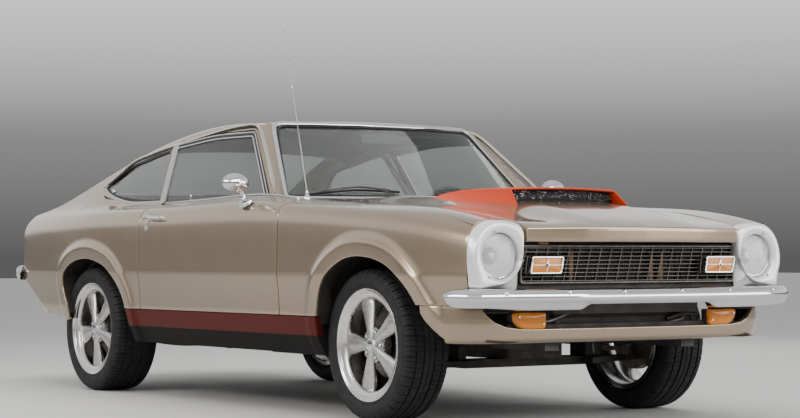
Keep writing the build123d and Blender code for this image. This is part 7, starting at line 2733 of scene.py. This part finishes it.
WELT = vinyl_material("seat_welt_vinyl", (0.026, 0.025, 0.024), (0.040, 0.038, 0.036))
PLEAT = tuple(np.linspace(-0.52, 0.52, 9))
for side_name, sg in (("left", 1), ("right", -1)):
    cx = 395.0 * sg
    s = pad(Shape(), (cx, 1548, 352), (1, 0, 0), (0, 1, -0.05), (0, 0.05, 1), 424, 500, 172, (0, 1), pleats=PLEAT, crown=34)
    ob = build(s, "seat_cushion_%s" % side_name, [VINYL, WELT], "chassis", ("front_seats",) if sg > 0 else ())
    s = pad(Shape(), (cx, 1917, 738), (1, 0, 0), (0, 0.194, 0.981), (0, -0.981, 0.194), 424, 508, 122, (0, 1), pleats=PLEAT, crown=32)
    ob = build(s, "seat_back_%s" % side_name, [VINYL, WELT], "chassis")
    s = Shape()
    # plinth, runners, back shell and hinge covers
    L = soft_loop([(cx - 196, 1316), (cx + 196, 1316), (cx + 196, 1800), (cx - 196, 1800)], 30, 6, 3)
    slab(s, L, ((0, 0, 0), (1, 0, 0), (0, 1, 0), (0, 0, 1)), 330, 352, 4, 0)
    for dx in (-150, 150):
        sweep(s, np.array([(cx + dx, 1340, 313), (cx + dx, 1600, 313), (cx + dx, 1820, 313)]), round_rect(34, 30, 4), (0, 0, 1), 1)
    for dx in (-222, 222):
        L = soft_loop([(1770, 352), (1880, 352), (1925, 560), (1850, 575)], 24, 6)
        slab(s, L, ((cx + dx, 0, 0), (0, 1, 0), (0, 0, 1), (1, 0, 0)), -6, 6, 2.5, 0)
        lathe(s, [(-8.5, 0.1), (-8.5, 12), (-7, 14), (7, 14), (8.5, 12), (8.5, 0.1)], (cx + dx, 1852, 468), "x", 28, 2)
    build(s, "seat_frame_%s" % side_name, [TRIM, STEEL, CHROME], "chassis")

s = pad(Shape(), (0, 2285, 372), (1, 0, 0), (0, 1, 0.06), (0, -0.06, 1), 1060, 420, 172, (0, 1),
        pleats=tuple(np.r_[np.linspace(-0.68, -0.22, 8), np.linspace(0.22, 0.68, 8)]), crown=34)
ob = build(s, "rear_seat_cushion", [VINYL, WELT], "chassis", ("rear_seat",))
s = pad(Shape(), (0, 2596, 738), (1, 0, 0), (0, 0.24, 0.97), (0, -0.97, 0.24), 1060, 400, 112, (0, 1),
        pleats=tuple(np.r_[np.linspace(-0.68, -0.22, 8), np.linspace(0.22, 0.68, 8)]), crown=30)
ob = build(s, "rear_seat_back", [VINYL, WELT], "chassis")
s = Shape()
L = soft_loop([(-540, 2080), (540, 2080), (540, 2500), (-540, 2500)], 24, 5, 4)
slab(s, L, ((0, 0, 0), (1, 0, 0), (0, 1, 0), (0, 0, 1)), 300, 374, 6, 0)
build(s, "rear_seat_base", CARPET, "chassis")


def make_dash():
    s = Shape()
    sec = soft_poly([(716, 945), (925, 938), (992, 908), (996, 850), (955, 806), (962, 742), (905, 700), (716, 742)],
                    (40, 30, 18, 14, 16, 24), (8, 4, 4, 4, 4, 4, 8), (7, 7, 6, 5, 5, 7))
    xs = np.linspace(-718, 718, 121)
    rows = []
    for x in xs:
        q = sec.copy()
        # hood over the instruments
        w = smoothstep((x - 130) / 50.0) * smoothstep((590 - x) / 50.0)
        lift = np.exp(-((q[:, 0] - 950) / 60.0) ** 2) * (q[:, 1] > 880)
        q[:, 1] += 30 * w * lift
        q[:, 0] += 14 * w * lift
        e = smoothstep((718 - abs(x)) / 30.0)
        rows.append(np.c_[np.full(len(q), x), 850 + (q[:, 0] - 850) * (0.93 + 0.07 * e), 830 + (q[:, 1] - 830) * (0.9 + 0.1 * e)])
    G = np.array(rows)
    s.grid(G, 0, wrap_j=True)
    s.cap(G[0], 0)
    s.cap(G[-1], 0)
    face = ((0, 0, 0), (1, 0, 0), (0, 0.05, 1), (0, 1, -0.05))

    def v_face(z):
        return 978.0
    # instrument panel with dials
    L = soft_loop([(165, 812), (555, 812), (555, 898), (165, 898)], 24, 6, 4)
    slab(s, L, ((0, 0, 0), (1, 0, 0), (0, 0, 1), (0, 1, 0)), 960, 999, 3, 1)
    for x, r in ((262, 37), (458, 37), (345, 24), (378 + 18, 24)):
        lathe(s, [(996, r), (1001, r + 1), (1003.5, r - 1), (1003.5, r - 3.5), (1000.5, r - 4.5)], (x, 0, 855), "y", 44, 2)
        lathe(s, [(1000.4, r - 4.0), (1000.6, 0.1)], (x, 0, 855), "y", 44, 3)
        for k in range(13):
            a = math.radians(-40 + 220 * k / 12 + 0)
            p0 = np.array([x + (r - 6) * math.cos(a), 1001.0, 855 + (r - 6) * math.sin(a)])
            p1 = np.array([x + (r - 10) * math.cos(a), 1001.0, 855 + (r - 10) * math.sin(a)])
            pipe(s, np.array([p0, p1]), 0.7, 4, 2)
        a = math.radians(150)
        pipe(s, np.array([(x, 1001.6, 855), (x + (r - 9) * math.cos(a), 1001.6, 855 + (r - 9) * math.sin(a))]), [1.3, 0.5], 6, 4)
        lathe(s, [(1000, 4), (1003, 3.6), (1003.6, 0.1)], (x, 0, 855), "y", 16, 1)
    # glove box, radio slot and round vents
    L = soft_loop([(-560, 752), (-250, 752), (-250, 880), (-560, 880)], 16, 5, 3)
    slab(s, L, ((0, 0, 0), (1, 0, 0), (0, 0, 1), (0, 1, 0)), 950, 993, 3, 0)
    lathe(s, [(990, 10), (996, 9.5), (998, 7), (998.4, 0.1)], (-405, 0, 862), "y", 24, 2)
    L = soft_loop([(-90, 770), (90, 770), (90, 822), (-90, 822)], 6, 4, 3)
    slab(s, L, ((0, 0, 0), (1, 0, 0), (0, 0, 1), (0, 1, 0)), 940, 991, 2, 2)
    for x in (-66, 66):
        lathe(s, [(989, 11), (1003, 10.2), (1004.6, 8), (1005, 0.1)], (x, 0, 796), "y", 24, 2)
    for k in range(5):
        sweep(s, np.array([(-44, 992.2, 784 + 6 * k), (0, 992.2, 784 + 6 * k), (44, 992.2, 784 + 6 * k)]), round_rect(2.2, 2, 0.4, 1), (0, 1, 0), 1)
    for x in (-640, -160, 120, 652):
        lathe(s, [(985, 33), (1000, 32.5), (1003, 30), (1002, 27), (996, 26)], (x, 0, 862), "y", 36, 2)
        for k in range(-3, 4):
            hw = math.sqrt(max(0.0, 26.0 ** 2 - (7 * k) ** 2))
            sweep(s, np.array([(x - hw, 998, 862 + 7 * k), (x, 998, 862 + 7 * k), (x + hw, 998, 862 + 7 * k)]), round_rect(1.6, 6, 0.5, 1), (0, 1, 0.3), 1)
    # defroster slots on top
    for sg in (1, -1):
        for k in range(14):
            x = sg * (90 + 34 * k)
            L = soft_loop([(x - 13, 752), (x + 13, 752), (x + 13, 757), (x - 13, 757)], 2, 2)
            slab(s, L, ((0, 0, 0), (1, 0, 0), (0, 1, 0), (0, 0, 1)), 938, 945.4, 0.4, 1)
    return s


NEEDLE = plain("needle_orange", (0.75, 0.22, 0.03), (0.65, 0.17, 0.02), 0.4, 0.5, 60.0, bump=0)
DIAL = plain("dial_black", (0.012, 0.012, 0.012), (0.022, 0.022, 0.022), 0.3, 0.4, 60.0, bump=0)
build(make_dash(), "dashboard_assembly", [VINYL, TRIM, PEWTER, DIAL, NEEDLE], "chassis", ("dashboard",))


def make_wheel_and_column():
    s = Shape()
    n = np.array([0, math.cos(math.radians(24)), math.sin(math.radians(24))])
    u = np.array([1.0, 0, 0])
    w = np.cross(n, u)
    if w[2] < 0:
        w = -w
    c = np.array([360.0, 1108.0, 862.0])
    a = np.linspace(0, 2 * np.pi, 96, endpoint=False)
    R = 178.0
    path = c + R * (np.cos(a)[:, None] * u + np.sin(a)[:, None] * w)
    # rim with finger grips behind
    b = np.linspace(0, 2 * np.pi, 16, endpoint=False)
    rows = []
    for k, t in enumerate(a):
        rad = math.cos(t) * u + math.sin(t) * w
        r = 11.0 + 0.7 * math.cos(36 * t)
        rr = np.where(np.sin(b) < -0.2, r, 11.2)
        rows.append(path[k] + (rr * np.cos(b))[:, None] * rad + (rr * np.sin(b))[:, None] * n)
    s.grid(np.array(rows), 0, wrap_i=True, wrap_j=True)
    hub = c - n * 38
    for t in (0, 180, 270):
        t = math.radians(t)
        rad = math.cos(t) * u + math.sin(t) * w
        p = np.array([hub + rad * 30 + n * 4, hub + rad * 80 + n * 8, hub + rad * 130 + n * 24, c + rad * 172])
        p = smooth_through(p, 16)
        sweep(s, p, round_rect(30, 4.5, 2.0), n, 1, scale=np.linspace(1.25, 0.7, 16))
        for f in (0.35, 0.5, 0.65):
            q = p[int(16 * f)] + n * 2.0
            d = np.linspace(-2.5, 0.6, 3)
            rows = []
            for dd, rr in ((-1, 7.5), (0.8, 7.2), (1.4, 6.2), (0.2, 5.4)):
                rows.append(q + n * dd + rr * (np.cos(b)[:, None] * u + np.sin(b)[:, None] * w))
            s.grid(np.array(rows), 2, wrap_j=True)
            s.cap(rows[-1], 2)
    bb = np.linspace(0, 2 * np.pi, 48, endpoint=False)
    rows = []
    for dd, rr in ((-20, 30), (-12, 44), (-2, 50), (10, 50), (18, 46), (22, 38), (24, 24), (24.5, 22), (26.5, 21), (27.5, 15), (27.8, 0.1)):
        rows.append(hub + n * dd + rr * (np.cos(bb)[:, None] * u + np.sin(bb)[:, None] * w))
    s.grid(np.array(rows), 0, wrap_j=True)
    rows = []
    for dd, rr in ((-18, 28), (-22, 34), (-30, 36), (-70, 37), (-112, 38)):
        rows.append(hub + n * dd + rr * (np.cos(bb)[:, None] * u + np.sin(bb)[:, None] * w))
    s.grid(np.array(rows), 2, wrap_j=True)
    s.cap(rows[0], 2)
    # turn-signal stalk
    p = smooth_through([hub - n * 45 + u * 30, hub - n * 42 + u * 80 + w * 6, hub - n * 30 + u * 140 + w * 12], 12)
    pipe(s, p, np.linspace(4, 3, 12), 10, 1)
    lathe(s, [(-9, 0.1), (-8, 5), (0, 6.5), (8, 5), (9, 0.1)], tuple(p[-1]), "x", 20, 2)
    return s


build(make_wheel_and_column(), "steering_wheel_rim_column", [VINYL, PEWTER, TRIM], "chassis", ("steering_wheel",))

# parcel shelf, headliner, quarter trims
s = Shape()
L = soft_loop([(-618, 2682), (618, 2682), (590, 3078), (-590, 3078)], 24, 6, 8)
slab(s, L, ((0, 0, 0), (1, 0, 0), (0, 1, 0), (0, 0, 1)), 934, 951, 4, 0)
for sg in (1, -1):
    L = soft_loop([(sg * 330 - 90, 2790), (sg * 330 + 90, 2790), (sg * 330 + 90, 2910), (sg * 330 - 90, 2910)], 58, 12)
    slab(s, L, ((0, 0, 0), (1, 0, 0), (0, 1, 0), (0, 0, 1)), 949, 957, 2.5, 1)
    for k in range(-4, 5):
        hw = 78 * math.sqrt(max(0.05, 1 - (k / 4.6) ** 2))
        sweep(s, np.array([(sg * 330 - hw, 2850 + 12 * k, 957.6), (sg * 330, 2850 + 12 * k, 957.6), (sg * 330 + hw, 2850 + 12 * k, 957.6)]), round_rect(4, 2, 0.6, 1), (0, 0, 1), 1)
build(s, "parcel_shelf_cover", [CARPET, TRIM], "chassis", ("parcel_shelf",))

s = Shape()
rows = []
for t in np.linspace(0, 1, 54):
    row = []
    for u in np.linspace(-1, 1, 41):
        v0 = 1104.0 + 112.0 * u * u
        v = v0 + t * (2384.0 - v0)
        ex = float(EDGE(v)[0]) - 26
        x = u * ex * (1 - 0.03 * (1 - t) ** 6)
        seam = 2.2 * math.exp(-(((v - 1112) % 254 - 127) / 6.0) ** 2)
        row.append((x, v, float(roof_z(np.array(x), np.array(v))) - 20 - 7 * abs(u) ** 8 + seam))
    v = row[-1][1]
    ex, ez = float(EDGE(v)[0]), float(EDGE(v)[1])
    zt = float(WIN_TOP(max(v, 1935))[0]) if v > 1935 else 1292.0
    side_in = on_glass(np.array(v), np.array(min(zt + 4, ez - 16)), -36.0)
    tailp = np.array([[ex - 20, v, ez - 32], [min(float(side_in[0]), ex - 12), v, float(side_in[2]) - 6]])
    rows.append(np.vstack([tailp[::-1] * np.array([-1, 1, 1]), np.array(row), tailp]))
G = np.array(rows)
s.grid(G, 0)
hem(s, G[-1], G[-2], (0, 0, -1), 4, 14)
# inside mirror and sun visors
c = np.array([0.0, 1126.0, 1262.0])
a = np.linspace(0, 2 * np.pi, 48, endpoint=False)
sup = lambda f: np.sign(f) * np.abs(f) ** 0.62
rows = [c + np.c_[rx * sup(np.cos(a)), np.full(48, dv), rz * sup(np.sin(a))] for rx, rz, dv in
        ((96, 22, -14), (112, 28, -8), (114, 30, 4), (113, 29.5, 8), (109, 27, 9), (107, 25.5, 7))]
s.grid(np.array(rows), 1, wrap_j=True)
s.cap(rows[0], 1)
s.cap(rows[-1], 2)
pipe(s, np.array([(0, 1118, 1266), (0, 1112, 1292), (0, 1122, 1312)]), [6, 5, 8], 12, 1)
for sg in (1, -1):
    P, loop = cushion(320, 118, 16, crown=7, pull=0.01)
    W = place(P, (sg * 290, 1226, 1296), (1, 0, 0), (0, 0.985, 0.17), (0, 0.17, -0.985))
    s.grid(W, 0)
    edge = np.vstack([W[0, :-1], W[:-1, -1], W[-1, ::-1][:-1], W[::-1, 0][:-1]])
    s.cap(edge, 0)
build(s, "headliner_visors_mirror", [LINER, TRIM, MIRROR_GLASS], "chassis")

s = Shape()
rows = []
for v in np.linspace(1972, 2660, 40):
    zt = float(WIN_LOW(v)[0]) - 8
    z = np.linspace(480, zt, 30)
    x = 722 + 0 * z + 3.0 * np.cos(2 * np.pi * (z - 480) / 58.0) * (z > 600) * (z < 900)
    x[-3:] += (2, 8, 18)
    rows.append(np.c_[x, np.full(30, v), z])
s.grid(np.array(rows), 0)
hem(s, np.array(rows)[0], np.array(rows)[1], (-1, 0, 0), 3, 20)
build(s.both(), "quarter_trim_panels", CARD, "chassis")


def make_card():
    s = Shape()
    vs = np.r_[DOOR_F + 6, DOOR_F + 12, np.linspace(DOOR_F + 24, DOOR_R - 44, 66), DOOR_R - 32, DOOR_R - 26]
    rows = []
    for v in vs:
        zb = float(SIDE(v)[4]) - 10
        z = np.r_[446, 450, np.linspace(460, zb - 8, 60), zb - 3, zb]
        edge = np.minimum(np.minimum(v - vs[0], vs[-1] - v), np.minimum(z - 446, zb - z))
        x = 745.0 - 9.0 * np.sqrt(np.clip(edge / 9.0, 0, 1))
        pl = ((z > 640) & (z < 860)).astype(float) * ((v > 820) & (v < 1860))
        x = x - 3.2 * pl * np.abs(np.sin(np.pi * (v - 820) / 52.0)) ** 0.5
        rows.append(np.c_[x, np.full(len(z), v), z])
    s.grid(np.array(rows), 0)
    # bright strips
    for z in (632, 868):
        sweep(s, np.array([(736.5, v, z) for v in np.linspace(800, 1880, 8)]), np.array([(-4, -3), (-3.4, 1.6), (-1.2, 3), (1.2, 3), (3.4, 1.6), (4, -3)]), (-1, 0, 0), 1)
    # arm rest, grip, window crank, inner handle
    P, loop = cushion(330, 62, 46, crown=16, pull=0.03)
    W = place(P, (738, 1440, 705), (0, 1, 0), (0, 0, 1), (-1, 0, 0))
    s.grid(W, 0)
    pipe(s, smooth_through([(738, 1180, 790), (706, 1196, 792), (700, 1280, 794), (706, 1364, 792), (738, 1380, 790)], 30), 7.5, 12, 2)
    lathe(s, [(-738, 24), (-730, 22), (-726, 14), (-718, 11), (-712, 10), (-711, 0.1)], (0, 1080, 700), "x", 32, 1, sign=1)
    pipe(s, smooth_through([(716, 1080, 700), (708, 1060, 680), (700, 1030, 655), (698, 1012, 640)], 14), 5.0, 10, 1)
    lathe(s, [(-702, 0.1), (-701, 9), (-695, 11), (-680, 9), (-676, 0.1)], (0, 1012, 640), "x", 24, 2)
    lathe(s, [(-738, 22), (-732, 20), (-729, 12), (-724, 9)], (0, 1640, 820), "x", 28, 1)
    pipe(s, smooth_through([(726, 1640, 820), (716, 1610, 820), (714, 1560, 818), (720, 1530, 817)], 14), np.linspace(6, 4.2, 14), 12, 1)
    return s


card = make_card()
# discs above are measured on the right-hand side; bring them onto the left
V_ = np.concatenate(card.V)
neg = V_[:, 0] < 0
V_[neg, 0] *= -1
card.V = [V_]
build(card, "door_left_card", [CARD, PEWTER, TRIM], "door_left")
build(card.mirrored(), "door_right_card", [CARD, PEWTER, TRIM], "door_right")

# ---------------------------------------------------------------- wheel-arch liners
def make_liner(arch, v0, inner_x):
    """Dark shell from the lip of the opening inwards, standing clear of the tyre."""
    s = Shape()
    A = resample(arch[arch[:, 1] > 396.0], 90)
    c = np.array([v0, HUB_Z])
    rows = []
    edge_x = np.array([float(flank(v, z)) for v, z in A]) - 13.0
    d = A - c
    r = np.linalg.norm(d, axis=1)
    high = 354.0 + 42.0 * smoothstep((A[:, 1] - 445.0) / 70.0)
    for dx, grow, least in ((0, 4.5, 0.0), (8, 5.0, 0.0), (30, 13.0, 0.0), (70, 24.0, 337.0), (110, 30.0, high)):
        want = np.maximum(r + grow, least)
        q = c + d / r[:, None] * want[:, None]
        rows.append(np.c_[edge_x - dx, q])
    last = rows[-1]
    for x in (720, 640) if inner_x is None else (720, 640, inner_x):
        q = last.copy()
        q[:, 0] = np.minimum(q[:, 0], x)
        rows.append(q)
    s.grid(np.array(rows), 0)
    G = np.array(rows)
    back = G[-1]
    if inner_x is None:
        return s
    s.cap(np.vstack([back, [[inner_x, back[-1, 1], 330.0], [inner_x, back[0, 1], 330.0]]]), 0,
          centre=(inner_x, v0, 560.0))
    return s


liners = make_liner(ARCH_F, 0.0, None)
liners.join(make_liner(ARCH_R, WHEELBASE, 560.0))
build(liners.both(), "wheel_arch_liners", UNDER, "chassis")

# ---------------------------------------------------------------- carried-over parts
SLOT_MATERIALS = {
    "body_paint": PAINT, "stripe_red": STRIPE, "scoop_red": SCOOP, "bezel_silver": SILVER, "chrome": CHROME,
    "black_trim": TRIM, "window_glass": GLASS, "lamp_glass": LAMPGLASS, "amber_lens": AMBER, "red_lens": RED,
    "tyre_rubber": RUBBER, "wheel_metal": WHEEL, "chassis_black": UNDER, "bare_steel": STEEL, "vinyl_black": VINYL,
}
CARRIED = {"engine": CAST, "gearbox": CAST, "rear_axle": UNDER, "radiator": CORE, "floor_pan": CARPET,
           "fuel_tank": STEEL, "exhaust": STEEL, "wheelhouses": UNDER, "firewall": TRIM}


def slot_of(node):
    """The record's slot that a CAD node's imported material stands for."""
    names = [m.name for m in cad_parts[node].data.materials if m]
    for nm in names:
        for s in SLOT_MATERIALS:
            if nm == s or nm.startswith(s):
                return s
    return "chassis_black"


for name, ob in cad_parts.items():
    if ob.hide_render:
        continue
    s = slot_of(name)
    mat = CARRIED.get(name, SLOT_MATERIALS[s])
    for k in range(len(ob.data.materials)):
        ob.data.materials[k] = mat
    if not ob.data.materials:
        ob.data.materials.append(mat)

# ---------------------------------------------------------------- camera, floor and light
scene = bpy.context.scene
cam_data = bpy.data.cameras.new("camera")
cam = bpy.data.objects.new("camera", cam_data)
scene.collection.objects.link(cam)
scene.camera = cam
cam_data.sensor_width = 36.0
cam_data.lens = 94.28
cam_data.clip_start, cam_data.clip_end = 0.1, 200.0
cam.location = (-5.523, -8.7645, 0.686)
forward = Vector((0.5517, 0.8337, 0.0234)).normalized()
side = forward.cross(Vector((0, 0, 1))).normalized()
up = side.cross(forward)
roll = math.radians(-0.11)
s2 = side * math.cos(roll) + up * math.sin(roll)
u2 = up * math.cos(roll) - side * math.sin(roll)
cam.matrix_world = Matrix.Translation(cam.location) @ Matrix((s2, u2, -forward)).transposed().to_4x4()


def floor_sheet():
    m = Nodes("pale_studio_floor")
    m.color(m.mix(m.range(m.noise(0.9, 5.0), 0.3, 0.7, 0.0, 1.0), (0.40, 0.393, 0.381), (0.43, 0.423, 0.411)))
    m.rough(m.range(m.noise(6.0, 4.0), 0.3, 0.7, 0.62, 0.8))
    m.bump(m.noise(60.0, 4.0), 0.05, 0.002)
    me = bpy.data.meshes.new("studio_floor")
    r = 60.0
    z = 0.0
    P, F = [], []
    n = 24
    for i in range(n + 1):
        for j in range(n + 1):
            P.append((-r + 2 * r * i / n, -r + 2 * r * j / n, z))
    for i in range(n):
        for j in range(n):
            a = i * (n + 1) + j
            F.append((a, a + n + 1, a + n + 2, a + 1))
    me.from_pydata(P, [], F)
    me.materials.append(m.m)
    ob = bpy.data.objects.new("studio_floor", me)
    scene.collection.objects.link(ob)
    return ob


floor_sheet()


def area(name, loc, target, size, power, color=(1, 1, 1), shows=True):
    L = bpy.data.lights.new(name, "AREA")
    L.shape = "RECTANGLE"
    L.size, L.size_y = size
    L.energy = power
    L.color = color
    ob = bpy.data.objects.new(name, L)
    scene.collection.objects.link(ob)
    ob.location = loc
    d = (Vector(target) - Vector(loc)).normalized()
    ob.rotation_mode = "QUATERNION"
    ob.rotation_quaternion = d.to_track_quat("-Z", "Y")
    ob.visible_glossy = shows
    return ob


area("overhead_soft", (-0.8, 0.4, 5.2), (-0.2, 0.2, 0.0), (3.0, 8.5), 420, (1.0, 0.99, 0.97), shows=False)
area("key_soft", (-6.5, -2.0, 3.6), (0.0, 0.0, 0.6), (7.5, 1.4), 330, (1.0, 0.985, 0.96))
area("front_soft", (0.5, -8.0, 3.4), (0.0, -1.0, 0.6), (6.5, 1.8), 330, (0.98, 0.99, 1.0))
area("front_card", (5.6, -7.2, 1.5), (0.0, -1.4, 0.7), (5.0, 2.2), 170, (1.0, 0.99, 0.97))
area("rim_soft", (6.0, 4.0, 4.0), (0.0, 0.0, 0.8), (4.0, 3.0), 150, (1.0, 0.98, 0.95), shows=False)

world = bpy.data.worlds.new("studio_world")
scene.world = world
world.use_nodes = True
wt = world.node_tree
wt.nodes.clear()
wo = wt.nodes.new("ShaderNodeOutputWorld")
bg = wt.nodes.new("ShaderNodeBackground")
wt.links.new(bg.outputs[0], wo.inputs[0])
tc = wt.nodes.new("ShaderNodeTexCoord")
sp = wt.nodes.new("ShaderNodeSeparateXYZ")
wt.links.new(tc.outputs["Generated"], sp.inputs[0])
rp = wt.nodes.new("ShaderNodeValToRGB")
e = rp.color_ramp.elements
e[0].position, e[0].color = 0.0, (0.20, 0.196, 0.188, 1)
e[1].position, e[1].color = 1.0, (0.85, 0.86, 0.88, 1)
k = e.new(0.50)
k.color = (0.10, 0.10, 0.099, 1)
k = e.new(0.53)
k.color = (0.25, 0.25, 0.25, 1)
k = e.new(0.57)
k.color = (1.0, 1.0, 1.0, 1)
k = e.new(0.66)
k.color = (1.0, 1.0, 1.0, 1)
k = e.new(0.80)
k.color = (0.60, 0.61, 0.63, 1)
mr = wt.nodes.new("ShaderNodeMapRange")
mr.inputs["From Min"].default_value = -1.0
mr.inputs["From Max"].default_value = 1.0
wt.links.new(sp.outputs[2], mr.inputs["Value"])
wt.links.new(mr.outputs["Result"], rp.inputs[0])
wt.links.new(rp.outputs[0], bg.inputs["Color"])
bg.inputs["Strength"].default_value = 1.1
